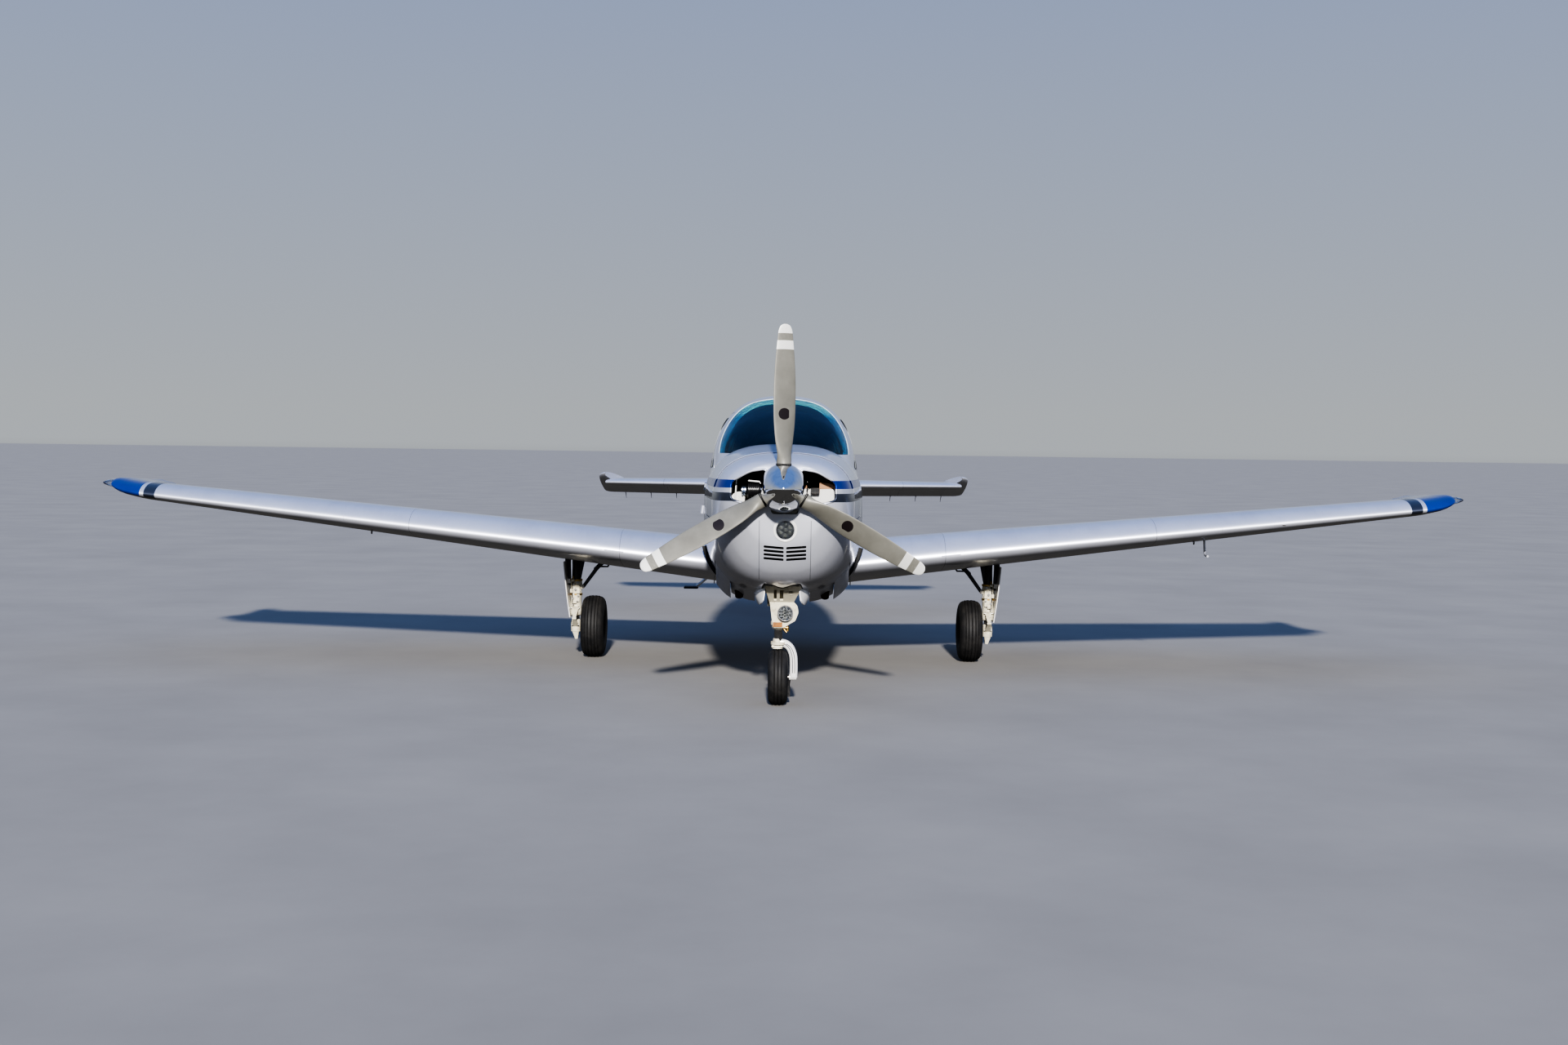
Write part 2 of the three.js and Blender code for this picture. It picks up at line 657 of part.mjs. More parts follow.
const CABIN_WALLS = (() => {
  const inner = bodySolid(CABIN_WALL, FIREWALL + 12, REAR_BULKHEAD - 12);
  const room = cut(inner, block(-700, 700, FIREWALL, REAR_BULKHEAD, 400, FLOOR_Z));
  return bodySolid(0, FIREWALL + SEAT_GAP, REAR_BULKHEAD).subtract(room);
})();

function windowCutter(corners, side, shrink) {
  const mean = (k) => corners.reduce((sum, corner) => sum + corner[k], 0) / corners.length;
  const middle = [mean(0), mean(1)];
  const drawn = corners.map((corner) => corner.map((v, k) => v - Math.sign(v - middle[k]) * shrink));
  const [x0, x1] = [side * 200, side * 700].sort((a, b) => a - b);
  return sideProfile(roundedShape(drawn, WINDOW_CORNER), x0, x1);
}

const PANE_SKIN = topSolid(GLASS_SET_BACK, TOP_STATIONS[0] + 2, REAR_BULKHEAD)
  .subtract(topSolid(GLASS_SET_BACK + GLASS, TOP_STATIONS[0] + 2 + GLASS, REAR_BULKHEAD + 20));

function pane(corners, side) {
  return PANE_SKIN.intersect(windowCutter(corners, side, SEAT_GAP));
}

// The deck is the hull alone, where the cabin top rises out of it.
const deckSolid = (grow) => loft(between(HULL_STATIONS, 1560, 2400).map((s) => hullRing(s, -grow)));

function screenSolid(shrink) {
  return sideProfile(plainShape(WINDSCREEN.map(([s, z]) => [s - shrink, z])), -620, 620);
}

function windscreen() {
  return PANE_SKIN.intersect(screenSolid(SEAT_GAP)).subtract(deckSolid(SEAT_GAP));
}

function cabinShell() {
  const tools = [];
  for (const door of Object.values(DOORS)) {
    tools.push(doorCutter(door, 0), ...doorKnuckles(door, SEAT_GAP));
  }
  WINDOWS.forEach((corners, i) => {
    tools.push(windowCutter(corners, 1, 0));
    if (i === 1) tools.push(windowCutter(corners, -1, 0));
  });
  tools.push(screenSolid(0).subtract(deckSolid(0)));
  return cut(CABIN_WALLS, ...tools);
}

const CABIN = cabinShell();

function doorPiece(name) {
  const door = DOORS[name];
  const windowIndex = { cabin_door: 0, cargo_door_front: 2, cargo_door_rear: 3 }[name];
  const leaf = CABIN_WALLS.intersect(doorCutter(door, RUNNING_GAP - 1))
    .subtract(windowCutter(WINDOWS[windowIndex], -1, 0));
  const tabs = join(...doorLeaves(door)).subtract(bodySolid(CABIN_WALL / 2, FIREWALL, REAR_BULKHEAD));
  return { leaf: join(leaf, tabs, ...doorKnuckles(door, 0)), pane: pane(WINDOWS[windowIndex], -1) };
}

// Furniture: two seats a row on one floor pan, and the instrument panel with both control wheels.
const SEAT_ROWS = table(
  ['name', 'front', 'x', 'half', 'back'],
  [
    ['front_seats', 2500, 228, 200, 860],
    ['middle_seats', 3220, 228, 200, 860],
    ['rear_seats', 3930, 205, 180, 780],
  ],
);
const SEAT_CUSHION = 330; // above the floor
const SEAT_BASE = 110;

function seatRow({ front, x, half, back }) {
  const floor = FLOOR_Z + SEAT_GAP;
  const profile = [
    [0, 190], [20, SEAT_CUSHION - 20], [60, SEAT_CUSHION], [430, SEAT_CUSHION - 35], [560, back - 170],
    [575, back], [640, back], [665, back - 60], [655, back - 170], [540, 160], [500, SEAT_BASE],
    [60, SEAT_BASE],
  ];
  const seats = SIDES.map(([, side]) => {
    const shape = plainShape(profile.map(([u, v]) => [front + u, floor + v]));
    const middle = side * x;
    const top = floor + SEAT_BASE + 20;
    const pedestal = block(middle - 120, middle + 120, front + 110, front + 450, floor, top);
    return join(sideProfile(shape, side * x - half, side * x + half), pedestal);
  });
  const pan = block(-x - 120, x + 120, front + 80, front + 480, floor, floor + 14);
  return join(pan, ...seats);
}

function instrumentPanel() {
  const profile = [
    [1780, 1560], [1900, 1612], [2110, 1612], [2120, 1600],
    [2090, 1590], [2060, 1290], [1985, 1290], [1960, 1560],
  ];
  const room = bodySolid(CABIN_WALL + SEAT_GAP, FIREWALL + 13, REAR_BULKHEAD - 13);
  const slab = sideProfile(plainShape(profile), -600, 600).intersect(room);
  const controls = SIDES.map(([, side]) => {
    const hub = at(side * 250, 2190, 1395);
    const shaft = rod(at(side * 250, 2040, 1395), hub, 13, 13, 8);
    const horns = [-1, 1].map((turn) => {
      const reach = hub.clone().add(new THREE.Vector3(turn * 130, 0, 15));
      const grip = reach.clone().add(new THREE.Vector3(turn * 12, 10, 120));
      return join(rod(hub, reach, 12, 12, 8), rod(reach, grip, 13, 13, 8));
    });
    return join(shaft, rod(at(side * 250, 2178, 1395), at(side * 250, 2204, 1395), 42), ...horns);
  });
  return join(slab, ...controls);
}

// Tail cone: a thin shell, open to the cabin's rear bulkhead.
const RUDDER_AXIS = { station: 7830, low: 1150, high: 2600 };
const ELEVATOR_AXIS = { station: 7500, z: 1275 };
const TORQUE_TUBE = 20;

function tailCone() {
  const outer = bodySolid(0, REAR_BULKHEAD + SEAT_GAP, TAIL_END);
  const inner = bodySolid(TAIL_WALL, REAR_BULKHEAD - 20, TAIL_END - 90);
  const { station: post, low } = RUDDER_AXIS;
  const foot = low - RUNNING_GAP;
  const heel = block(-22, 22, TAIL_END - 120, post + 30, low - 26, foot);
  const { station, z } = ELEVATOR_AXIS;
  const tube = bore(at(-300, station, z), at(300, station, z), TORQUE_TUBE);
  const reach = RUDDER_NOSE[0] + RUNNING_GAP;
  const cove = rod(at(0, post, foot), at(0, post, 1700), reach, reach, 20);
  const pin = bore(at(0, post, 1000), at(0, post, low + 1), PIN_RADIUS);
  return cut(join(cut(outer, inner), heel), tube, cove, pin);
}

// Wing

const WING = {
  rootChord: 2134, tipChord: 1067, tipAt: 5000, quarterLine: 2933, rootTwist: 4, tipTwist: 1,
  rootThickness: 0.165, tipThickness: 0.12, leadZ: 742, dihedral: 6, panelEnd: 4763,
  rootEnd: 300, rootFull: 480, rootLift: 110, rootThin: 0.75,
};
const WING_HINGE = 0.78;
const FLAP = { from: 640, to: 2725 };
const AILERON = { from: 2765, to: 4640 };

function wingSection(side, x) {
  const share = x / WING.tipAt;
  const mix = THREE.MathUtils.lerp;
  const chord = mix(WING.rootChord, WING.tipChord, share);
  return {
    lead: at(side * x, WING.quarterLine - chord / 4, WING.leadZ + x * Math.tan(degrees(WING.dihedral))),
    chord,
    thickness: mix(WING.rootThickness, WING.tipThickness, share),
    twist: mix(WING.rootTwist, WING.tipTwist, share),
    cambered: true,
    across: Z_AXIS,
  };
}

// The panel is straight from its root to its end, and so is every hinge line on it.
function wingHinge(side, x) {
  const stations = [WING.rootFull, WING.panelEnd];
  const share = (x - stations[0]) / (stations[1] - stations[0]);
  const sections = stations.map((end) => wingSection(side, end));
  const [root, end] = sections.map((section) => hingePoint(section, WING_HINGE));
  const depths = sections.map(({ chord, thickness }) => halfThickness(WING_HINGE, thickness) * chord);
  return { point: root.lerp(end, share), radius: THREE.MathUtils.lerp(...depths, share) };
}

const LEG = { x: 1600, station: 3285, trunnionZ: 872, radius: 44 };
const LEG_SLOT = { inner: 1290, outer: 1712, half: 130, high: 925 };

function wing(side) {
  const root = wingSection(side, WING.rootEnd);
  root.lead.z += WING.rootLift;
  root.thickness *= WING.rootThin;
  const plain = [WING.rootFull, WING.panelEnd - SEAT_GAP].map((x) => wingSection(side, x));
  const skin = loft([root, ...plain].map(sectionRing));
  let rest = skin.subtract(BODY_SEAT);
  const parts = {};
  for (const [name, bay] of [['flap', FLAP], ['aileron', AILERON]]) {
    const [a, b] = [bay.from, bay.to].map((x) => wingHinge(side, x));
    const split = splitAtHinge(skin, a.point, b.point, [a.radius, b.radius], Z_AXIS);
    const kept = splitAtHinge(rest, a.point, b.point, [a.radius, b.radius], Z_AXIS);
    parts[name] = { piece: split.moving, pivot: a.point.clone().lerp(b.point, 0.5), hinge: split.hinge };
    rest = kept.fixed;
  }
  const { inner, outer, half, high } = LEG_SLOT;
  const [x0, x1] = [side * inner, side * outer].sort((a, b) => a - b);
  rest = rest.subtract(block(x0, x1, LEG.station - half, LEG.station + half, 400, high));
  return { panel: rest, ...parts };
}

// The tip fairing closes the panel and turns up at its outer end; a clear lens caps its front corner.
const TIP = { end: 4993, lensEnd: SPAN / 2, lensChord: 330, lift: 42 };
const TIP_RINGS = table(
  ['x', 'length', 'depth', 'lift'],
  [[WING.panelEnd, 1, 1, 0], [4880, 0.985, 0.97, 8], [4955, 0.95, 0.82, 26], [TIP.end, 0.86, 0.5, TIP.lift]],
);

function wingTip(side) {
  return loft(TIP_RINGS.map(({ x, length, depth, lift }) => {
    const section = wingSection(side, x);
    const chord = section.chord * length;
    section.lead.y += (section.chord - chord) * 0.35;
    section.lead.z += lift;
    return sectionRing({ ...section, chord, thickness: (section.thickness * depth) / length });
  }));
}

function tipLens(side) {
  const base = wingSection(side, TIP.end);
  const [x0, x1] = [TIP.end + SEAT_GAP, TIP.lensEnd];
  const ring = (x, front, length, thick, z) => Array.from({ length: 14 }, (_, i) => {
    const angle = (2 * Math.PI * i) / 14;
    const y = base.lead.y + front + (length * (1 - Math.cos(angle))) / 2;
    return new THREE.Vector3(side * x, y, z + thick * Math.sin(angle));
  });
  const z = base.lead.z + TIP.lift;
  return loft([
    ring(x0, 62, TIP.lensChord, 34, z + 4),
    ring(x0 + 55, 88, TIP.lensChord - 60, 27, z + 7),
    ring(x1 - 12, 150, TIP.lensChord - 170, 12, z + 10),
    ring(x1, 210, 40, 3, z + 11),
  ]);
}

// Pitot mast: a short foot below the left wing with a tube pointing forward.
const PITOT = { x: 3200, station: 2960, drop: 135, reach: 110, radius: 9 };

function pitot() {
  const section = wingSection(1, PITOT.x);
  const share = (PITOT.station - (WING.quarterLine - section.chord / 4)) / section.chord;
  const skin = sectionPoint(section, share, camber(share) - halfThickness(share, section.thickness));
  const root = skin.clone().add(new THREE.Vector3(0, 0, 25));
  const elbow = skin.clone().add(new THREE.Vector3(0, 0, -PITOT.drop));
  const nose = elbow.clone().add(new THREE.Vector3(0, -PITOT.reach, 0));
  const heel = elbow.clone().add(new THREE.Vector3(0, 10, 0));
  return join(rod(root, elbow, PITOT.radius, PITOT.radius, 8), rod(heel, nose, PITOT.radius, 6, 8));
}

// Tail surfaces

const TAILPLANE = {
  z: ELEVATOR_AXIS.z, halfSpan: 1855, hornAt: 1620,
  rootLead: 6830, tipLead: 7160, rootTrail: 8050, tipTrail: 7955,
};
const ELEVATOR_INNER = 190;
const ELEVATOR_DROOP = 15;

function tailSection(side, x, shrink = 0) {
  const share = x / TAILPLANE.halfSpan;
  const mix = THREE.MathUtils.lerp;
  const lead = mix(TAILPLANE.rootLead, TAILPLANE.tipLead, share) + shrink;
  const trail = mix(TAILPLANE.rootTrail, TAILPLANE.tipTrail, share) - shrink * 0.6;
  const chord = trail - lead;
  return { lead: at(side * x, lead, TAILPLANE.z), chord, thickness: mix(0.1, 0.085, share), across: Z_AXIS };
}

function elevatorNose(x) {
  const section = tailSection(1, x);
  const share = (toY(ELEVATOR_AXIS.station) - section.lead.y) / section.chord;
  return halfThickness(share, section.thickness) * section.chord;
}

function tailplane(side) {
  const { halfSpan, hornAt } = TAILPLANE;
  const rings = [[40, 0], [halfSpan - 90, 0], [halfSpan - 30, 35], [halfSpan, 120]];
  const skin = loft(rings.map(([x, shrink]) => sectionRing(tailSection(side, x, shrink))));
  const point = (x) => at(side * x, ELEVATOR_AXIS.station, ELEVATOR_AXIS.z);
  const split = splitAtHinge(skin, point(ELEVATOR_INNER - RUNNING_GAP), point(hornAt + 40),
    [elevatorNose(ELEVATOR_INNER), elevatorNose(hornAt)], Z_AXIS, [false, false]);
  const hornCut = (gap) => {
    const [x0, x1] = [side * (hornAt + gap), side * (halfSpan + 50)].sort((a, b) => a - b);
    return block(x0, x1, 6900, 8200, 1100, 1500);
  };
  const inboard = (limit) => {
    const [x0, x1] = [0, side * limit].sort((a, b) => a - b);
    return block(x0, x1, ELEVATOR_AXIS.station - 60, 8200, 1100, 1500);
  };
  const fixed = cut(split.fixed, hornCut(0), inboard(ELEVATOR_INNER - RUNNING_GAP), BODY_SEAT);
  const moving = join(split.moving, skin.intersect(hornCut(RUNNING_GAP)));
  return { fixed, moving };
}

function turnedAbout(piece, point, axis, angle) {
  const matrix = new THREE.Matrix4().makeTranslation(point.x, point.y, point.z)
    .multiply(new THREE.Matrix4().makeRotationAxis(axis, angle))
    .multiply(new THREE.Matrix4().makeTranslation(-point.x, -point.y, -point.z));
  return moved(toGeometry(piece), matrix);
}

const FIN = {
  z0: 1100, lead0: 6360, trail0: 8385.5, thick0: 0.075,
  z1: HEIGHT, lead1: 7520, trail1: 8215, thick1: 0.085,
  hornZ: 2400,
};
const DORSAL = [[5880, 1560], [5960, 1640], [6940, 1800], [7150, 1500]];
const RUDDER_NOSE = [RUDDER_AXIS.low, FIN.hornZ].map((z) => {
  const { lead, chord, thickness } = finSection(z);
  return halfThickness((toY(RUDDER_AXIS.station) - lead.y) / chord, thickness) * chord;
});

function finSection(z, shrink = 0) {
  const share = (z - FIN.z0) / (FIN.z1 - FIN.z0);
  const mix = THREE.MathUtils.lerp;
  const lead = mix(FIN.lead0, FIN.lead1, share) + shrink;
  const trail = mix(FIN.trail0, FIN.trail1, share) - shrink * 0.5;
  const thickness = mix(FIN.thick0, FIN.thick1, share);
  return { lead: at(0, lead, z), chord: trail - lead, thickness, across: X_AXIS };
}

function finAndRudder() {
  const rings = [[RUDDER_AXIS.low, 0], [FIN.z1 - 60, 0], [FIN.z1 - 15, 30], [FIN.z1, 90]];
  const skin = loft(rings.map(([z, shrink]) => sectionRing(finSection(z, shrink))));
  const point = (z) => at(0, RUDDER_AXIS.station, z);
  const [foot, head] = [point(RUDDER_AXIS.low - RUNNING_GAP), point(FIN.hornZ + 40)];
  const split = splitAtHinge(skin, foot, head, RUDDER_NOSE, X_AXIS, [true, false]);
  const horn = (gap) => block(-200, 200, 7000, 8500, FIN.hornZ + gap, HEIGHT + 50);
  const dorsal = sideProfile(plainShape(DORSAL), -17, 17);
  const below = block(-200, 200, TAIL_END - 100, 8500, 1000, 1440);
  const fixed = cut(split.fixed.add(dorsal), horn(0), BODY_SEAT, below);
  const tidy = block(-200, 200, 7000, 8500, RUDDER_AXIS.low - 60, HEIGHT + 50);
  const moving = join(split.moving, skin.intersect(horn(RUNNING_GAP))).intersect(tidy);
  return { fixed, moving };
}

// Landing gear

const MAIN_WHEEL = { x: 1460, station: LEG.station, radius: 238, half: 88, bead: 86 };
const NOSE_WHEEL = { x: -20, station: 890, radius: 177.5, half: 63, bead: 68 };
const AXLE_RADIUS = 16;
const TYRE_SIDES = 20;
const HUB_SIDES = 12;

// Tyre section: (radius share of the wall height, half width share), from bead to bead.
const TYRE_PROFILE = table(
  ['rise', 'width'],
  [[0, 0.66], [0.42, 1], [0.78, 0.92], [0.95, 0.6], [1, 0.25]],
);

function tyre(wheel) {
  const { radius, half, bead } = wheel;
  const points = TYRE_PROFILE.map(({ rise, width }) => [bead + rise * (radius - bead), width * half]);
  const profile = [...points.map(([r, w]) => [r, -w]), ...points.toReversed()];
  profile.push(profile[0]);
  return turned(profile, at(wheel.x, wheel.station, radius), X_AXIS, TYRE_SIDES);
}

function hub(wheel) {
  const { half, bead } = wheel;
  const outer = bead * Math.cos(Math.PI / TYRE_SIDES) - SEAT_GAP;
  const hole = (AXLE_RADIUS + SEAT_GAP) / Math.cos(Math.PI / HUB_SIDES);
  const profile = [
    [hole, -0.5], [outer * 0.5, -0.5], [outer * 0.85, -0.34], [outer, -0.6],
    [outer, 0.6], [outer * 0.85, 0.34], [outer * 0.5, 0.5], [hole, 0.5], [hole, -0.5],
  ];
  return turned(profile.map(([r, w]) => [r, w * half]), at(wheel.x, wheel.station, wheel.radius), X_AXIS, HUB_SIDES);
}

function mainLeg(side) {
  const { x, station, trunnionZ, radius } = LEG;
  const axleZ = MAIN_WHEEL.radius;
  const half = LEG_SLOT.half - SEAT_GAP;
  const spot = (dx, ds, z) => at(side * (x + dx), station + ds, z);
  const axleEnd = MAIN_WHEEL.x - MAIN_WHEEL.half * 0.55 - 8;
  const pieces = [
    rod(spot(0, -half, trunnionZ), spot(0, half, trunnionZ), 32),
    rod(spot(0, 0, trunnionZ), spot(0, 0, 580), 34),
    rod(spot(0, 0, 600), spot(0, 0, 330), radius),
    rod(spot(0, 0, 340), spot(0, 0, axleZ + 10), 27),
    rod(spot(0, 0, axleZ + 42), spot(0, 0, axleZ - 42), 38),
    rod(spot(20, 0, axleZ), at(side * axleEnd, station, axleZ), AXLE_RADIUS),
    rod(spot(0, -38, 380), spot(0, -120, 305), 13, 9, 8),
    rod(spot(0, -120, 305), spot(0, -34, axleZ + 10), 9, 13, 8),
    rod(spot(-48, 0, 540), at(side * 1330, station, 800), 15, 21, 10),
    rod(spot(0, 0, 540), spot(-60, 0, 540), 20, 16, 10),
  ];
  const door = [[1652, 318], [1662, 318], [1712, 690], [1702, 690]];
  pieces.push(frontProfile(plainShape(door.map(([u, z]) => [side * u, z])), station - 150, station + 165));
  for (const z of [390, 560]) {
    pieces.push(rod(spot(0, 0, z), spot(52 + (z - 318) * 0.13, 0, z), 9, undefined, 8));
  }
  return join(...pieces);
}

const NOSE_LEG = { x: NOSE_WHEEL.x, station: NOSE_WHEEL.station, top: 899, foot: 487, piston: 26 };

function noseLeg() {
  const { x, station, top, foot, piston } = NOSE_LEG;
  const ring = (z, halfWide, halfDeep) => Array.from({ length: 16 }, (_, i) => {
    const angle = (2 * Math.PI * i) / 16;
    return at(x + halfWide * bent(Math.cos(angle), 3), station + halfDeep * bent(Math.sin(angle), 3), z);
  });
  const slot = (side) => {
    const corners = [[22, 560], [30, 770], [64, 770], [38, 560]];
    return frontProfile(plainShape(corners.map(([u, z]) => [x + side * u, z])), station - 120, station + 120);
  };
  const casting = loft([ring(foot, 38, 38), ring(foot + 60, 42, 44), ring(790, 92, 52), ring(860, 104, 50)]);
  const trunnion = rod(at(x - 175, station, top), at(x + 195, station, top), 28.7);
  const sleeve = rod(at(x, station, top), at(x, station, foot + 4), piston + 12);
  const well = bore(at(x, station, foot - 5), at(x, station, foot + 120), piston);
  const drag = SIDES.map(([, side]) => (
    rod(at(x + side * 60, station + 20, 640), at(x + side * 85, station + 330, 905), 14, 14, 8)));
  const light = TAXI_LIGHT;
  const seat = light.front + light.depth + SEAT_GAP;
  const bracket = rod(at(light.x, seat, light.z), at(light.x, station, light.z), 18);
  return cut(join(cut(casting, slot(1), slot(-1)), trunnion, sleeve, bracket, ...drag), well);
}

function noseFork() {
  const { x, station, foot, piston } = NOSE_LEG;
  const axleZ = NOSE_WHEEL.radius;
  const arm = x + NOSE_WHEEL.half + 36;
  const spot = (px, z) => at(px, station, z);
  return join(
    rod(spot(x, foot + 110), spot(x, 400), piston),
    rod(spot(x, 424), spot(x, 366), 44),
    rod(spot(x, 393), spot(arm - 30, 382), 30, 24),
    rod(spot(arm - 36, 385), spot(arm + 4, 308), 23, 21),
    rod(spot(arm + 3, 314), spot(arm, axleZ), 21, 24),
    rod(spot(arm + 16, axleZ), spot(x + NOSE_WHEEL.half * 0.55 + 8, axleZ), 27),
    rod(spot(arm + 10, axleZ), spot(x - NOSE_WHEEL.half * 0.55 - 8, axleZ), AXLE_RADIUS),
  );
}

const TAXI_LIGHT = { x: 22, z: 596, radius: 46, front: 795, depth: 28 };

function taxiLight() {
  const { x, z, radius, front, depth } = TAXI_LIGHT;
  const profile = [[0, 0], [radius - 14, 3], [radius - 2, 10], [radius, 16], [radius, depth], [0, depth]];
  return turned(profile, at(x, front, z), Y_AXIS, 16);
}

// Boarding step behind the right wing: a tube bends out of the belly and carries a small tread.
const STEP = {
  station: 4700, radius: 13, z: 432,
  path: [[-380, 860], [-620, 540], [-735, 442]],
  tread: [-842, -722],
};

function step() {
  const { station, radius, path, tread, z } = STEP;
  const [belly, knee, end] = path.map(([x, height]) => at(x, station, height));
  const plate = block(tread[0], tread[1], station - 60, station + 60, z - 8, z + 8);
  const tube = [[belly, knee], [knee, end]].map(([from, to]) => rod(from, to, radius, radius, 10));
  return join(...tube, plate).subtract(BODY_SEAT);
}

// Propeller

const SPINNER = { length: 390, radius: 150, socket: 46, socketFloor: 60 };
const SPINNER_PROFILE = table(
  ['radius', 'distance'],
  [[0, 0], [28, 10], [58, 40], [92, 105], [122, 190], [143, 290], [150, 370], [150, 390], [0, 390]],
);

// Blade stations: radius from the axis, chord, thickness, pitch in degrees.
const BLADE = table(
  ['radius', 'chord', 'thick', 'pitch'],
  [
    [60.3, 90, 90, 0], [150, 90, 88, 0], [205, 112, 62, 46], [300, 142, 34, 40], [440, 155, 24, 33],
    [600, 148, 18, 27], [760, 128, 13, 22.5], [880, 104, 10, 20], [950, 84, 8, 18.5], [980, 56, 6, 18],
    [990, 24, 4, 18],
  ],
);

function spinner() {
  const profile = SPINNER_PROFILE.map(({ radius, distance }) => [radius, distance]);
  const body = turned(profile, at(0, 0, PROP_AXIS_Z), Y_AXIS, 24);
  const centre = at(0, PROP_PLANE, PROP_AXIS_Z);
  const sockets = BLADE_ANGLES.map((angle) => {
    const out = new THREE.Vector3(Math.sin(angle), 0, Math.cos(angle));
    const floor = centre.clone().addScaledVector(out, SPINNER.socketFloor);
    return bore(floor, centre.clone().addScaledVector(out, 200), SPINNER.socket, 12);
  });
  return cut(body, ...sockets);
}

const BLADE_ANGLES = [0, 120, -120].map(degrees);

// One blade, standing up along +Z from the propeller's centre. Its leading edge is on the -X side.
function blade() {
  const sides = 12;
  const rings = BLADE.map(({ radius, chord, thick, pitch }) => Array.from({ length: sides }, (_, i) => {
    const angle = (2 * Math.PI * i) / sides;
    const u = (-Math.cos(angle) * chord) / 2;
    const flat = Math.sin(angle) > 0 || pitch === 0 ? 1 : 0.35;
    const v = (-Math.sin(angle) * flat * thick) / 2;
    const turn = degrees(pitch);
    const [c, s] = [Math.cos(turn), Math.sin(turn)];
    return new THREE.Vector3(u * c - v * s, u * s + v * c, radius);
  }));
  return loft(rings);
}

// Assembly

addMesh('nose_bowl', noseBowl(), 'white');
addMesh('landing_light', landingLight(), 'lamp');
addMesh('engine_cowl', engineCowl(), 'white');
addMesh('engine', engine(), 'engine');
const lowerHalf = block(-800, 800, 1400, 5100, 300, CABIN_SPLIT_Z);
const upperHalf = block(-800, 800, 1400, 5100, CABIN_SPLIT_Z + SEAT_GAP, 2300);
addMesh('cabin_lower', CABIN.intersect(lowerHalf), 'white');
addMesh('cabin_upper', CABIN.intersect(upperHalf), 'white');
addMesh('windscreen', windscreen(), 'glass');
WINDOWS.forEach((corners, i) => addMesh(`left_window_${i + 1}`, pane(corners, 1), 'glass'));
addMesh('right_window_2', pane(WINDOWS[1], -1), 'glass');
addMesh('instrument_panel', instrumentPanel(), 'panel');
SEAT_ROWS.forEach((row) => addMesh(row.name, seatRow(row), 'leather'));
addMesh('tail_cone', tailCone(), 'white');

for (const [name, side] of SIDES) {
  const { panel, flap, aileron } = wing(side);
  addMesh(`wing_${name}`, side > 0 ? panel.add(pitot()) : panel, 'white');
  addMesh(`wing_tip_${name}`, wingTip(side), 'blue');
  addMesh(`tip_lens_${name}`, tipLens(side), 'glass');
  for (const [kind, surface] of [['flap', flap], ['aileron', aileron]]) {
    const body = addJoint(`${kind}_${name}_body`, surface.pivot, surface.hinge);
    addMesh(`${kind}_${name}`, surface.piece, 'white', body);
  }
}

const elevatorPivot = at(0, ELEVATOR_AXIS.station, ELEVATOR_AXIS.z);
const elevatorBody = addJoint('elevator_body', elevatorPivot, X_AXIS);
const tailHalves = SIDES.map(([name, side]) => {
  const half = tailplane(side);
  addMesh(`tailplane_${name}`, half.fixed, 'white');
  return half.moving;
});
const [tubeRight, tubeLeft] = [-260, 260].map((x) => at(x, ELEVATOR_AXIS.station, ELEVATOR_AXIS.z));
const level = join(...tailHalves, rod(tubeRight, tubeLeft, TORQUE_TUBE));
const drooped = turnedAbout(level, elevatorPivot, X_AXIS, -degrees(ELEVATOR_DROOP));
addMesh('elevator', drooped, 'white', elevatorBody);

const { fixed: finPiece, moving: rudderPiece } = finAndRudder();
addMesh('fin', finPiece, 'white');
addMesh('rudder', rudderPiece, 'white', addJoint('rudder_body', at(0, RUDDER_AXIS.station, 1800), Z_AXIS));

for (const [name, side] of SIDES) {
  addMesh(`main_gear_leg_${name}`, mainLeg(side), 'cream');
  const wheel = { ...MAIN_WHEEL, x: side * MAIN_WHEEL.x };
  const body = addJoint(`main_wheel_${name}`, at(wheel.x, wheel.station, wheel.radius), X_AXIS);
  addMesh(`main_tyre_${name}`, tyre(wheel), 'rubber', body);
  addMesh(`main_hub_${name}`, hub(wheel), 'alloy', body);
}

addMesh('nose_gear_leg', noseLeg(), 'cream');
addMesh('taxi_light', taxiLight(), 'lamp');
const steering = addJoint('nose_steering', at(NOSE_LEG.x, NOSE_LEG.station, 500), Z_AXIS);
addMesh('nose_fork', noseFork(), 'white', steering);
const noseAxle = at(NOSE_WHEEL.x, NOSE_WHEEL.station, NOSE_WHEEL.radius);
const noseWheelBody = addJoint('nose_wheel', noseAxle, X_AXIS);
addMesh('nose_tyre', tyre(NOSE_WHEEL), 'rubber', noseWheelBody);
addMesh('nose_hub', hub(NOSE_WHEEL), 'alloy', noseWheelBody);
addMesh('boarding_step', step(), 'panel');

for (const [name, door] of Object.entries(DOORS)) {
  const { leaf, pane: glass } = doorPiece(name);
  const { origin, axis } = doorFrame(door);
  const body = addJoint(`${name}_body`, origin, axis);
  addMesh(name, leaf, 'white', body);
  addMesh(`${name}_window`, glass, 'glass', body);
}

for (const [name, side] of SIDES) {
  const [front, rear] = cowlHinge(side);
  const body = addJoint(`cowl_door_${name}_body`, front, rear.clone().sub(front).normalize());
  addMesh(`cowl_door_${name}`, cowlDoor(side), 'white', body);
}

const propeller = addJoint('propeller', at(0, PROP_PLANE, PROP_AXIS_Z), Y_AXIS);
addMesh('spinner', spinner(), 'chrome', propeller);
BLADE_ANGLES.forEach((angle, i) => {
  const mount = new THREE.Group();
  mount.rotation.y = angle;
  propeller.add(mount);
  addMesh(`blade_${i + 1}`, blade(), 'blade', mount);
});

export default aircraft;
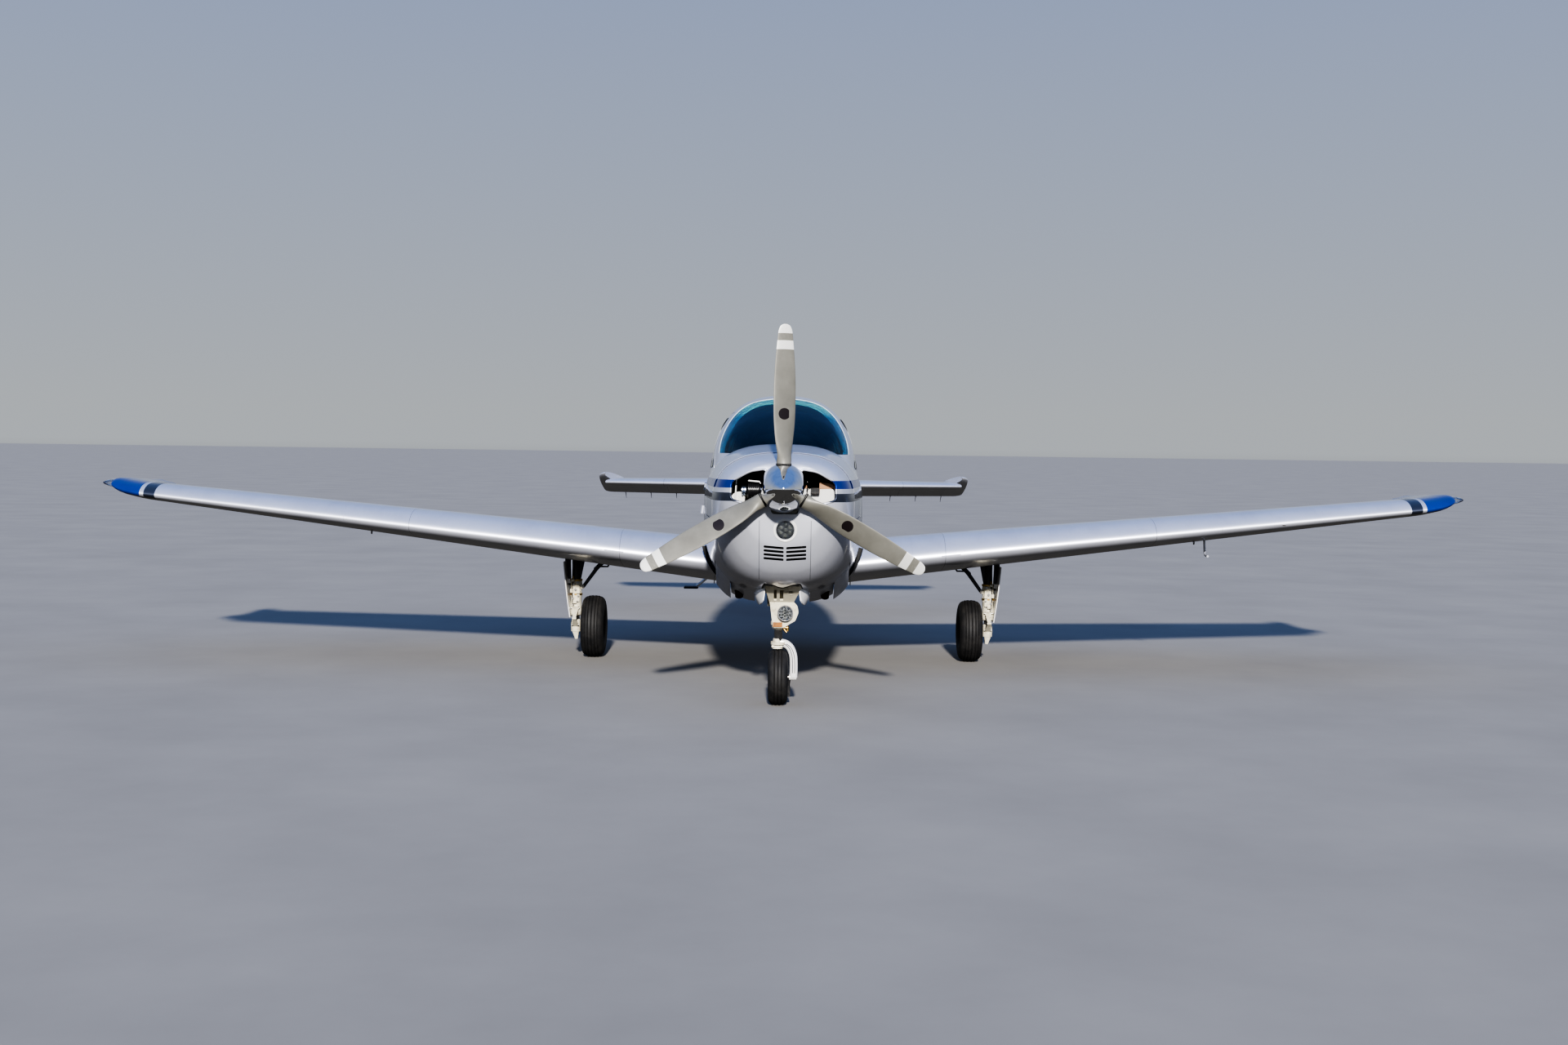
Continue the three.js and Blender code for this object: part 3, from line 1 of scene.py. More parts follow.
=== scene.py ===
# %% [markdown]
# # A low-wing light aircraft, parked on its wheels
# Everything that is seen of the aircraft is made here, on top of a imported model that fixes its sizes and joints.
# Each step first says what the piece is on the real aircraft, and then how its surface is worked out.

# %% Load the fixed frame
import math
from functools import reduce

import bpy
import numpy as np
from mathutils import Matrix, Vector


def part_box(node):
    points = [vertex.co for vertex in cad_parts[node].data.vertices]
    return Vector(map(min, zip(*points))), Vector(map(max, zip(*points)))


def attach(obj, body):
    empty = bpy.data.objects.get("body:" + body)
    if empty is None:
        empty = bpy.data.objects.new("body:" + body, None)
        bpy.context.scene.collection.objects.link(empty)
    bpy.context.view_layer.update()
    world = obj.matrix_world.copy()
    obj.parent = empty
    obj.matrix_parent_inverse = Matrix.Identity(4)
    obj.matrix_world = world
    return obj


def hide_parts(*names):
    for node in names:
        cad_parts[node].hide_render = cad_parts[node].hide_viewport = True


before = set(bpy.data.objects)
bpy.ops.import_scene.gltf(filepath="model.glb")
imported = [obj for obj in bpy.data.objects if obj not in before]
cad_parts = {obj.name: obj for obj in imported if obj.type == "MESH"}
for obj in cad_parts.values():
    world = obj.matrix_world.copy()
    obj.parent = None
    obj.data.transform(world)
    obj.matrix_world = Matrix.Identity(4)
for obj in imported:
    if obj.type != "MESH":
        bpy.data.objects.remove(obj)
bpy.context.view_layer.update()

SIDES = (("left", 1), ("right", -1))

# %% [markdown]
# ## Where things are
# All shapes are worked out in millimetres as (x, station, z): x is towards the aircraft's left wing tip,
# station is the distance aft of the spinner's tip, and z is the height above the ground.
# Only when a mesh is made do they become metres, with the middle of the length at y = 0.

# %% From stations to metres
LENGTH = 8380


def to_metres(points):
    """x and z are divided by a thousand; y is the station less half the aircraft's length."""
    return (np.asarray(points, float) - (0, LENGTH / 2, 0)) / 1000


def mm(x, station, z):
    """Three columns of any equal shape, put together as points."""
    return np.stack(np.broadcast_arrays(x, station, z), axis=-1).astype(float)


# %% [markdown]
# ## Shapes
# A shape is a set of points with its faces: the quads of a grid, and the polygons that close its ends.
# Grids of quads suit skins, rods and turned parts alike, because all are a ring carried along a path.
# The sign of the volume inside a closed shape tells which way its faces look, so it is tested once here.

# %% Grids, lofts and joined shapes
def grid_quads(rows, cols, close_rows=False, close_cols=True):
    """Each quad joins point (i, j) to its neighbours in the next row and the next column."""
    i = np.arange(rows if close_rows else rows - 1)[:, None]
    j = np.arange(cols if close_cols else cols - 1)[None, :]
    after, beside = (i + 1) % rows, (j + 1) % cols
    corners = (i * cols + j, i * cols + beside, after * cols + beside, after * cols + j)
    return np.stack(np.broadcast_arrays(*corners), axis=-1).reshape(-1, 4)


def outwards(points, quads, ends=()):
    """The volume is a sixth of the sum of a . (b x c) over the triangles; where it is negative all faces turn."""
    fans = [(poly[0], poly[k], poly[k + 1]) for poly in ends for k in range(1, len(poly) - 1)]
    triangles = np.vstack([quads[:, :3], quads[:, [0, 2, 3]], np.array(fans, int).reshape(-1, 3)])
    a, b, c = (points[triangles[:, k]] for k in range(3))
    if np.einsum("ij,ij->", a, np.cross(b, c)) < 0:
        quads, ends = quads[:, ::-1], [poly[::-1] for poly in ends]
    return points, quads, [list(map(int, poly)) for poly in ends]


def loft(rings):
    """A skin through rings of equal length, each of its two ends closed by one polygon."""
    rings = np.asarray(rings, float)
    rows, cols = rings.shape[:2]
    last = (rows - 1) * cols
    ends = [np.arange(cols)[::-1], last + np.arange(cols)]
    return outwards(rings.reshape(-1, 3), grid_quads(rows, cols), ends)


def hoop(rings):
    """A skin through rings whose last one joins the first, like a tyre or a shell with two faces."""
    rings = np.asarray(rings, float)
    rows, cols = rings.shape[:2]
    return outwards(rings.reshape(-1, 3), grid_quads(rows, cols, close_rows=True))


def together(*shapes):
    """Several shapes as one: each one's face numbers move on past the points that come before it."""
    starts = np.cumsum([0] + [len(points) for points, _, _ in shapes])
    points = np.vstack([s[0] for s in shapes])
    quads = np.vstack([s[1] + start for s, start in zip(shapes, starts)])
    ends = [[v + int(start) for v in poly] for s, start in zip(shapes, starts) for poly in s[2]]
    return points, quads, ends


# %% [markdown]
# ## Rods, turned parts and cut sheets
# Most of an undercarriage is round bar. A bar is a circle carried along a path, standing square to it.
# Wheels, lamps and the spinner are turned on a lathe: a profile of (radius, distance) spun about an axis.
# A flat outline pushed through a distance gives plates, doors' edges and the tools that cut windows.

# %% Ways to make a shape
def unit(v):
    """The same direction, one long."""
    v = np.asarray(v, float)
    return v / np.linalg.norm(v, axis=-1, keepdims=True)


def circle(count):
    """Angles spread evenly over one turn."""
    return np.linspace(0, 2 * np.pi, count, endpoint=False)


def power(v, n):
    """A superellipse's coordinate from a sine or a cosine: sgn v . |v|^(2/n)."""
    return np.sign(v) * np.abs(v) ** (2 / n)


def square_frame(direction):
    """Two directions square to the first: it is crossed with the axis it leans on least, and then again."""
    direction = unit(direction)
    helper = np.eye(3)[np.argmin(np.abs(direction).reshape(-1, 3).max(axis=0))]
    side = unit(np.cross(direction, helper))
    return side, np.cross(direction, side)


def round_rings(path, direction, radius, sides):
    """A circle at each point of a path: centre + r (cos a . side + sin a . up)."""
    side, up = square_frame(direction)
    a = circle(sides)[None, :, None]
    return path[:, None] + radius * (np.cos(a) * side[:, None] + np.sin(a) * up[:, None])


def rod(path, radius, sides=20):
    """A round bar along an open path, with one radius or one for each point."""
    path = np.asarray(path, float)
    radius = np.broadcast_to(radius, len(path))[:, None, None]
    return loft(round_rings(path, np.gradient(path, axis=0), radius, sides))


def closed_rod(path, radius, sides=12):
    """A round bar along a closed path: its direction at a point is the line between the points beside it."""
    path = np.asarray(path, float)
    return hoop(round_rings(path, np.roll(path, -1, axis=0) - np.roll(path, 1, axis=0), radius, sides))


def bend(corners, radius, steps=6):
    """A path whose corners are rounded: each is replaced by a quadratic curve between two points near it."""
    p = np.asarray(corners, float)
    t = np.linspace(0, 1, steps)[None, :, None]
    before, here, after = p[:-2, None], p[1:-1, None], p[2:, None]
    reach = np.minimum(radius, np.linalg.norm(np.diff(p, axis=0), axis=1).min() * 0.49)
    enter, leave = here + unit(before - here) * reach, here + unit(after - here) * reach
    curve = (1 - t) ** 2 * enter + 2 * t * (1 - t) * here + t ** 2 * leave
    return np.vstack([p[:1], curve.reshape(-1, p.shape[1]), p[-1:]])


def rounded(corners, radius, steps=6):
    """A closed outline with rounded corners: the same curve at every corner, with the last joined to the first."""
    p = np.asarray(corners, float)
    return bend(np.vstack([p[-1:], p, p[:1]]), radius, steps)[1:-1]


def turned(profile, origin, axis=(0, 1, 0), sides=48, closed=False):
    """A profile of (radius, distance) spun about an axis: origin + d . axis + r (cos a . side + sin a . up)."""
    axis = unit(axis)
    side, up = square_frame(axis)
    r, d = np.asarray(profile, float).T[:, :, None, None]
    a = circle(sides)[None, :, None]
    rings = np.asarray(origin, float) + d * axis + r * (np.cos(a) * side + np.sin(a) * up)
    return hoop(rings) if closed else loft(rings)


def prism(outline, low, high, along="y"):
    """A flat outline pushed along one axis: its two columns fill the other two axes in order."""
    level = np.array(sorted((low, high)), float)[:, None]
    u, v = np.asarray(outline, float).T[:, None]
    return loft(mm(*{"x": (level, u, v), "y": (u, level, v), "z": (u, v, level)}[along]))


def slab(corners, radius, steps, low, high, along="y"):
    """A prism whose outline has its corners rounded first."""
    return prism(rounded(corners, radius, steps), low, high, along)


def plate(x0, x1, s0, s1, z0, z1, corner=3.0):
    """A box whose edges along the station axis are rounded. Its two x may come in either order."""
    x0, x1 = sorted((x0, x1))
    return slab([(x0, z0), (x1, z0), (x1, z1), (x0, z1)], corner, 3, s0, s1)


# %% [markdown]
# ## From shapes to pieces
# Each piece rides on the body that carries it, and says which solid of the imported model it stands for.
# Holes are cut with the Boolean modifier. Its result is kept as a plain mesh, so nothing is left live.

# %% Meshes, cuts and riding
def to_mesh(name, shape):
    """A shape, or several in a list, as an object with its place in its mesh."""
    points, quads, ends = together(*shape) if isinstance(shape, list) else shape
    mesh = bpy.data.meshes.new(name)
    mesh.from_pydata(to_metres(points).tolist(), [], quads.tolist() + ends)
    obj = bpy.data.objects.new(name, mesh)
    bpy.context.scene.collection.objects.link(obj)
    return obj


def modified(obj, kind, **settings):
    step = obj.modifiers.new(kind.lower(), kind)
    for key, value in settings.items():
        setattr(step, key, value)
    return step


def settled(obj):
    """What the modifiers make of the mesh becomes the mesh, and they are taken off."""
    outcome = bpy.data.meshes.new_from_object(obj.evaluated_get(bpy.context.evaluated_depsgraph_get()))
    obj.modifiers.clear()
    obj.data = outcome
    return outcome


def cut(obj, tools, mode="DIFFERENCE"):
    """Each tool is taken away from the piece, kept in common with it or joined to it, as the mode says."""
    helpers = [tool if isinstance(tool, bpy.types.Object) else to_mesh("tool", tool) for tool in tools]
    for helper in helpers:
        modified(obj, "BOOLEAN", operation=mode, object=helper, solver="MANIFOLD")
    bpy.context.view_layer.update()
    settled(obj)
    for helper in helpers:
        bpy.data.objects.remove(helper)
    return obj


def common(shape, tools):
    """A new object with what the shape and the tools share."""
    return cut(to_mesh("common", shape), tools, "INTERSECT")


def piece(name, shape, finish, body="airframe", nodes="", slot=None, sharp=32, tools=(), keep=(), zones=None):
    """Makes the mesh, cuts it, gives it its finishes and smooth shading up to an angle, and seats it on its body."""
    obj = shape if isinstance(shape, bpy.types.Object) else to_mesh(name, shape)
    obj.data.materials.clear()
    for material in finish if isinstance(finish, list) else [finish]:
        obj.data.materials.append(material)
    zones = np.zeros(len(obj.data.polygons)) if zones is None else zones
    obj.data.polygons.foreach_set("material_index", np.asarray(zones, np.int32))
    if keep:
        cut(obj, keep, "INTERSECT")
    if tools:
        cut(obj, tools)
    obj.name = obj.data.name = name
    obj.data.shade_smooth()
    obj.data.set_sharp_from_angle(angle=math.radians(sharp))
    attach(obj, body)
    if nodes:
        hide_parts(*nodes.split())
    return obj


# %% [markdown]
# ## A way to write finishes
# Every paint, metal and rubber here is a node material. Its patterns are sums on the position of a point,
# read from Object coordinates, so they stay on the piece when it moves. Writing such sums node by node is
# long, so a small class lets Python's own signs add the Math nodes.

# %% Numbers on a surface
def fill(tree, plug, value):
    """A socket takes a plain value, or a link from what other nodes work out."""
    value = value.socket if isinstance(value, Field) else value
    if isinstance(value, bpy.types.NodeSocket):
        tree.links.new(value, plug)
    else:
        plug.default_value = value


def mix(tree, share, first, second):
    """A colour between two others; either may be a plain colour or the outcome of an earlier mix."""
    node = tree.nodes.new("ShaderNodeMix")
    node.data_type = "RGBA"
    fill(tree, node.inputs[0], share)
    for plug, colour in zip(node.inputs[6:8], (first, second)):
        fill(tree, plug, (*colour, 1.0) if isinstance(colour, tuple) else colour)
    return node.outputs[2]


class Field:
    """A number that the shader works out at every point of a surface."""

    def __init__(self, tree, socket):
        self.tree, self.socket = tree, socket

    def do(self, operation, *others):
        node = self.tree.nodes.new("ShaderNodeMath")
        node.operation = operation
        for plug, value in zip(node.inputs, (self, *others)):
            fill(self.tree, plug, value)
        return Field(self.tree, node.outputs[0])

    def __add__(self, other): return self.do("ADD", other)
    def __sub__(self, other): return self.do("SUBTRACT", other)
    def __mul__(self, other): return self.do("MULTIPLY", other)
    def __truediv__(self, other): return self.do("DIVIDE", other)
    def __pow__(self, other): return self.do("POWER", other)
    def __lt__(self, other): return self.do("LESS_THAN", other)
    def __gt__(self, other): return self.do("GREATER_THAN", other)
    def __abs__(self): return self.do("ABSOLUTE")
    def most(self, other): return self.do("MAXIMUM", other)
    def between(self, low, high): return (self > low) * (self < high)

    def ramp(self, low, high):
        """0 below the first value, 1 above the second, and a straight climb between."""
        node = self.tree.nodes.new("ShaderNodeMapRange")
        for socket, value in (("Value", self), ("From Min", low), ("From Max", high)):
            fill(self.tree, node.inputs[socket], value)
        return Field(self.tree, node.outputs["Result"])

    def spaced(self, pitch):
        """Distance to the nearest of a row of marks that lie one pitch apart."""
        return abs((self / pitch).do("FRACT") - 0.5) * pitch


def distance(*parts):
    """The root of the sum of squares."""
    return reduce(Field.__add__, [part ** 2.0 for part in parts]).do("SQRT")


def either(fields):
    """1 where any of the fields is 1, or nothing where there are none."""
    return reduce(Field.most, fields) if fields else None


class Finish:
    """A material with one Principled shader, and short ways to fill its sockets."""

    def __init__(self, name, colour, roughness, metallic=0.0, **sockets):
        self.material = bpy.data.materials.new(name)
        self.material.use_nodes = True
        self.tree = self.material.node_tree
        self.shader = self.tree.nodes["Principled BSDF"]
        colour = (*colour, 1.0)
        for socket, value in dict(Base_Color=colour, Roughness=roughness, Metallic=metallic, **sockets).items():
            self.set(socket.replace("_", " "), value)
        self.material.diffuse_color = colour
        source, split = self.tree.nodes.new("ShaderNodeTexCoord"), self.tree.nodes.new("ShaderNodeSeparateXYZ")
        self.point = source.outputs["Object"]
        self.tree.links.new(self.point, split.inputs[0])
        self.x, self.y, self.z = (Field(self.tree, plug) for plug in split.outputs)

    def set(self, socket, value):
        fill(self.tree, self.shader.inputs[socket], value)

    def noise(self, scale, detail=3.0, rough=0.55, stretch=(1, 1, 1)):
        """Smooth random values about 0.5; the stretch makes streaks along the axes with small numbers."""
        mapping, node = self.tree.nodes.new("ShaderNodeMapping"), self.tree.nodes.new("ShaderNodeTexNoise")
        mapping.inputs["Scale"].default_value = stretch
        self.tree.links.new(self.point, mapping.inputs["Vector"])
        settings = {"Vector": mapping.outputs[0], "Scale": scale, "Detail": detail, "Roughness": rough}
        for socket, value in settings.items():
            fill(self.tree, node.inputs[socket], value)
        return Field(self.tree, node.outputs[0])

    def mix(self, share, first, second):
        return mix(self.tree, share, first, second)

    def done(self, colour, roughness=None, height=None, depth=0.0, strength=1.0):
        """Fills the sockets that most finishes vary, with the height as bump, and hands over the material."""
        self.set("Base Color", colour)
        if roughness is not None:
            self.set("Roughness", roughness)
        if height is not None:
            node = self.tree.nodes.new("ShaderNodeBump")
            for socket, value in (("Distance", depth), ("Strength", strength), ("Height", height)):
                fill(self.tree, node.inputs[socket], value)
            self.set("Normal", node.outputs[0])
        return self.material


# %% [markdown]
# ## The paint
# The aircraft wears a pearl white: a white base with fine metallic flake under clear lacquer, so it looks
# silver where it mirrors the ground and faintly lavender under the sky. The flake is a very fine noise in
# the normal and the lacquer is the shader's coat. Streaks of dirt run aft with the air.
# Stripes are bands between two heights along the body, and between two distances out on the wings.

# %% Pearl white with stripes
PEARL, PEARL_SHADE = (0.74, 0.76, 0.84), (0.60, 0.62, 0.71)
ROYAL, SLATE = (0.012, 0.045, 0.30), (0.045, 0.055, 0.085)
GAP_DARK, RIVET_GREY = (0.06, 0.065, 0.08), (0.25, 0.26, 0.3)
STRIPE_BLUE, STRIPE_SLATE, STRIPE_SLOPE = (1.395, 1.445), (1.314, 1.366), 0.006
MID = 14


def pearl(name):
    """The paint before its marks: the base colour waits in .base, and the dirt's streaks in .streak."""
    f = Finish(name, PEARL, 0.26, 0.64, Coat_Weight=0.7, Coat_Roughness=0.06, Specular_IOR_Level=0.5)
    f.streak = f.noise(7, 4, 0.6, stretch=(1, 0.12, 1))
    f.base = f.mix((f.noise(2.2, 4) * 0.5 + f.streak * 0.5).ramp(0.42, 0.72), PEARL, PEARL_SHADE)
    return f


def painted(f, marks=None, rows=None):
    """Marks are dark thin gaps between sheets; rows are rivet heads. Both are also in the bump."""
    colour, height = f.base, f.noise(420, 1) * 0.03
    if marks is not None:
        colour, height = f.mix(marks * 0.75, colour, GAP_DARK), height - marks
    if rows is not None:
        colour, height = f.mix(rows * 0.16, colour, RIVET_GREY), height + rows * 0.35
    return f.done(colour, f.streak.ramp(0.2, 0.9) * 0.14 + 0.33, height, 0.0012, 0.8)


def gap_lines(field, places, width=0.0022):
    """1 within half a width of any of the places, else 0."""
    return either([field.do("COMPARE", place, width / 2) for place in places])


def rivets(across, along, pitch=0.032, radius=0.0026):
    """Small discs: the distance from the row and from the nearest mark along it, taken together."""
    return distance(across, along.spaced(pitch)) < radius


def station(value):
    return (value - LENGTH / 2) / 1000


def striped_body(name, joints=(), rivet_rows=(), seams=False):
    """Two stripes along the body: blue above and slate below, with a white line between them."""
    f = pearl(name)
    height = f.z + (f.y + 3.6) * STRIPE_SLOPE
    f.base = f.mix(height.between(*STRIPE_SLATE), f.mix(height.between(*STRIPE_BLUE), f.base, ROYAL), SLATE)
    marks = gap_lines(f.y, [station(s) for s in joints])
    if seams:
        marks = gap_lines(abs(f.x - MID / 1000), [0.158], 0.003) * f.z.between(0.83, 1.2)
    rows = either([rivets(abs(f.y - station(s)), f.z + abs(f.x) * 0.7) for s in rivet_rows])
    return painted(f, marks, rows)


BOWL_PAINT = striped_body("bowl_paint", (), (692,), True)
COWL_PAINT = striped_body("cowl_paint", (1490,), (712, 1484))
CABIN_PAINT = striped_body("cabin_paint", (1520, 4320), (1512, 1900, 2460, 3100, 3560, 4330, 4930))
TAIL_PAINT = striped_body("tail_paint", (5630, 6640), (4965, 5620, 5642, 6100, 6630, 6652, 7200, 7700))
DOOR_PAINT = striped_body("door_paint")
print("body paints made")

# %% [markdown]
# ## The body's skin
# The body is riveted sheet over frames. Its sections are superellipses: rounder than a box, squarer than an
# ellipse. A table gives each section's heights and width, and a smooth curve through the rows fills in between.
# The hull runs the whole length and the cabin's top stands on it. Seen from the hull's middle, every ray meets
# each of them once, so the skin is simply the longer of the two distances, with the corner rounded off.

# %% Sections of the body
def table(names, rows):
    return dict(zip(names.split(), np.array(rows, float).T))


HULL = table("station bottom widest top half low up", [
    [405, 1238, 1399, 1547, 156, 2.0, 2.0], [425, 1030, 1375, 1558, 280, 2.2, 2.2],
    [480, 870, 1340, 1578, 372, 2.4, 2.4], [600, 792, 1310, 1602, 424, 2.6, 2.5],
    [900, 726, 1285, 1631, 466, 2.8, 2.6], [1500, 660, 1255, 1667, 520, 3.0, 2.7],
    [2100, 625, 1230, 1640, 560, 3.0, 2.7], [2900, 600, 1220, 1560, 580, 3.0, 2.7],
    [4000, 612, 1220, 1540, 570, 3.0, 2.7], [4700, 670, 1225, 1530, 520, 2.9, 2.6],
    [5900, 862, 1240, 1510, 350, 2.6, 2.4], [7000, 1032, 1270, 1490, 200, 2.4, 2.2],
    [7780, 1130, 1300, 1462, 98, 2.2, 2.2]])
CABIN_TOP = table("station bottom widest top half up", [
    [1640, 1450, 1500, 1655, 60, 2.2], [1700, 1450, 1500, 1690, 185, 2.2], [1800, 1450, 1500, 1747, 295, 2.2],
    [1900, 1450, 1500, 1800, 368, 2.3], [2090, 1420, 1470, 1893, 475, 2.4], [2375, 1200, 1320, 1998, 530, 2.6],
    [2900, 1200, 1300, 2030, 548, 2.6], [3300, 1200, 1300, 2028, 548, 2.6], [4100, 1200, 1300, 1965, 525, 2.6],
    [5000, 1200, 1300, 1810, 440, 2.5], [5900, 1220, 1300, 1640, 315, 2.3], [6900, 1250, 1320, 1480, 160, 2.2]])
FILLET = 30


def column(rows, name, s):
    """A cubic through the rows. Its slope at a row is the weighted harmonic mean of the slopes beside it."""
    x, y = rows["station"], rows[name]
    step, rise = np.diff(x), np.diff(y) / np.diff(x)
    w1, w2 = 2 * step[1:] + step[:-1], step[1:] + 2 * step[:-1]
    with np.errstate(divide="ignore", invalid="ignore"):
        inner = np.where(rise[1:] * rise[:-1] > 0, (w1 + w2) / (w1 / rise[:-1] + w2 / rise[1:]), 0)
    slope = np.concatenate([rise[:1], inner, rise[-1:]])
    s = np.asarray(s, float)
    i = np.clip(np.searchsorted(x, s, side="right") - 1, 0, len(step) - 1)
    t = np.clip((s - x[i]) / step[i], 0, 1)
    return ((1 + 2 * t) * (1 - t) ** 2 * y[i] + t * (1 - t) ** 2 * step[i] * slope[i]
            + t * t * (3 - 2 * t) * y[i + 1] + t * t * (t - 1) * step[i] * slope[i + 1])


def columns(rows, names, s):
    return [column(rows, name, s) for name in names.split()]


def through(points, count):
    """A smooth curve through points: the same cubic for each coordinate, over the points' numbers."""
    points = np.array(points, float)
    order, t = np.arange(len(points), dtype=float), np.linspace(0, len(points) - 1, count)
    return np.stack([column(dict(station=order, v=values), "v", t) for values in points.T], axis=1)


def hull_reach(s, a, inset):
    """From the widest height's middle: r = ((|cos a| / half)^n + (|sin a| / rise)^n)^(-1 / n)."""
    bottom, widest, top, half, low, up = columns(HULL, "bottom widest top half low up", s)
    above = np.sin(a) >= 0
    n = np.where(above, up, low)
    rise = np.where(above, top - widest, widest - bottom) - inset
    return ((np.abs(np.cos(a)) / (half - inset)) ** n + (np.abs(np.sin(a)) / rise) ** n) ** (-1 / n)


def top_reach(s, a, inset):
    """Where a ray from the hull's middle leaves the cabin's top: halved down to the point, row by row."""
    bottom, widest, top, half, up = columns(CABIN_TOP, "bottom widest top half up", s)
    half, rise = np.maximum(half - inset, 10), np.maximum(top - widest - inset, 10)
    middle, c, sn = column(HULL, "widest", s), np.abs(np.cos(a)), np.sin(a)
    side = half / np.maximum(c, 1e-9)
    level = middle + side * sn
    straight = np.where((level >= bottom) & (level <= widest), side, 0)
    start = (widest - middle) / np.maximum(sn, 1e-9)
    low, high = np.broadcast_arrays(start, start + 1500)
    for _ in range(40):
        r = (low + high) / 2
        inside = (r * c / half) ** up + (np.maximum(middle + r * sn - widest, 0) / rise) ** up < 1
        low, high = np.where(inside, r, low), np.where(inside, high, r)
    reach = np.where((sn > 0) & (start * c < half), low, straight)
    first, last = CABIN_TOP["station"][[0, -1]]
    return np.where((s >= first) & (s <= last), reach, 0)


def body_rings(stations, inset=0.0, turns=216, hull_only=False):
    """Rings of the skin: the longer reach, plus (k - |difference|)^2 / 4k where the two lie within k."""
    s, a = np.asarray(stations, float)[:, None], circle(turns)[None, :]
    r = hull_reach(s, a, inset)
    if not hull_only:
        other = top_reach(s, a, inset)
        near = np.maximum(FILLET - np.abs(r - other), 0)
        r = np.maximum(r, other) + near ** 2 / (4 * FILLET)
    return mm(r * np.cos(a), s, column(HULL, "widest", s) + r * np.sin(a))


def side_x(s, z):
    """How far out the skin is at a station and a height: the wider of the hull and the cabin's top."""
    bottom, widest, top, half, low, up = columns(HULL, "bottom widest top half low up", s)
    n, rise = np.where(z > widest, up, low), np.where(z > widest, top - widest, widest - bottom)
    hull = half * np.maximum(1 - np.abs((z - widest) / rise) ** n, 0) ** (1 / n)
    widest, top, half, up = columns(CABIN_TOP, "widest top half up", s)
    roof = half * np.maximum(1 - (np.maximum(z - widest, 0) / (top - widest)) ** up, 0) ** (1 / up)
    return np.maximum(hull, roof)


def skin(stations, wall, turns=216):
    """A wall of sheet: rings of the outside going aft, then rings of the inside coming back."""
    outer, inner = body_rings(stations, 0, turns), body_rings(stations, wall, turns)
    shape = hoop(np.concatenate([outer, inner[::-1]]))
    zones = np.zeros(len(shape[1]), int)
    zones[len(stations) * turns:-turns] = 1
    return shape, zones


def steps(start, end, size):
    """Even steps from start to end, each about as long as the size."""
    return np.linspace(start, end, max(2, int(round((end - start) / size)) + 1))


# %% [markdown]
# ## Finishes
# Inside the cowl the sheet is grey primer with oil haze. The cabin is lined in cream cloth with a fine weave.
# Rubber is almost black with a dusty bloom. Castings of the landing gear are brushed with cream epoxy that holds
# grime in patches. Pistons and the spinner are bright chrome, fittings are cadmium-gold or brass, and brake
# discs are bare steel. Each finish passes from its colour into a second one where a noise is high.

# %% Primer, lining, rubber, gear paint, metals
def primer_finish():
    f = Finish("zinc_primer", (0.30, 0.31, 0.29), 0.6, 0.1)
    colour = f.mix(f.noise(9, 4).ramp(0.4, 0.7), (0.33, 0.34, 0.31), (0.15, 0.14, 0.12))
    return f.done(colour, None, f.noise(90, 2), 0.0008, 0.5)


def lining_finish():
    f = Finish("cabin_lining", (0.55, 0.52, 0.46), 0.85)
    weave = (f.y.spaced(0.0016) + f.z.spaced(0.0016) + f.x.spaced(0.0016)) * 600
    colour = f.mix(f.noise(6, 3).ramp(0.35, 0.7), (0.58, 0.55, 0.49), (0.45, 0.42, 0.37))
    return f.done(colour, None, weave, 0.0004, 0.6)


def rubber_finish(name, colour, dust):
    f = Finish(name, colour, 0.75)
    bloom = (f.noise(14, 5, 0.65) * 0.7 + f.noise(120, 2) * 0.3).ramp(0.45, 0.75)
    return f.done(f.mix(bloom, colour, dust), bloom * 0.2 + 0.62, f.noise(240, 3), 0.0006, 0.5)


def enamel(name, colour, grime, rough=0.4, amount=(0.5, 0.75)):
    f = Finish(name, colour, rough, 0.0, Coat_Weight=0.25, Coat_Roughness=0.2)
    dirt = (f.noise(16, 5, 0.65) * 0.6 + f.noise(70, 3) * 0.4).ramp(*amount)
    grain = f.noise(160, 2) + f.noise(1200, 1) * 0.3
    return f.done(f.mix(dirt, colour, grime), dirt * 0.3 + rough, grain, 0.0006, 0.35)


def metal(name, colour, rough, worn, scale=40, depth=0.0002):
    f = Finish(name, colour, rough, 1.0)
    wear = f.noise(scale, 4)
    return f.done(f.mix(wear.ramp(0.4, 0.75), colour, worn), wear * 0.18 + rough, f.noise(scale * 12, 2), depth, 0.4)


def cloth_finish(name, colour, other, pitch):
    f = Finish(name, colour, 0.95, Sheen_Weight=0.2)
    share = (f.noise(60, 4) * 0.6 + f.noise(500, 2) * 0.4).ramp(0.4, 0.65)
    pile = f.noise(900, 2) + (f.x.spaced(pitch) + f.y.spaced(pitch)) * (0.5 / pitch)
    return f.done(f.mix(share, colour, other), None, pile, 0.0012, 0.7)


def moulded(name, colour, other, rough):
    f = Finish(name, colour, rough)
    colour = f.mix(f.noise(12, 4).ramp(0.35, 0.75), colour, other)
    return f.done(colour, f.noise(40, 3) * 0.2 + (rough - 0.1), f.noise(700, 2), 0.0004, 0.6)


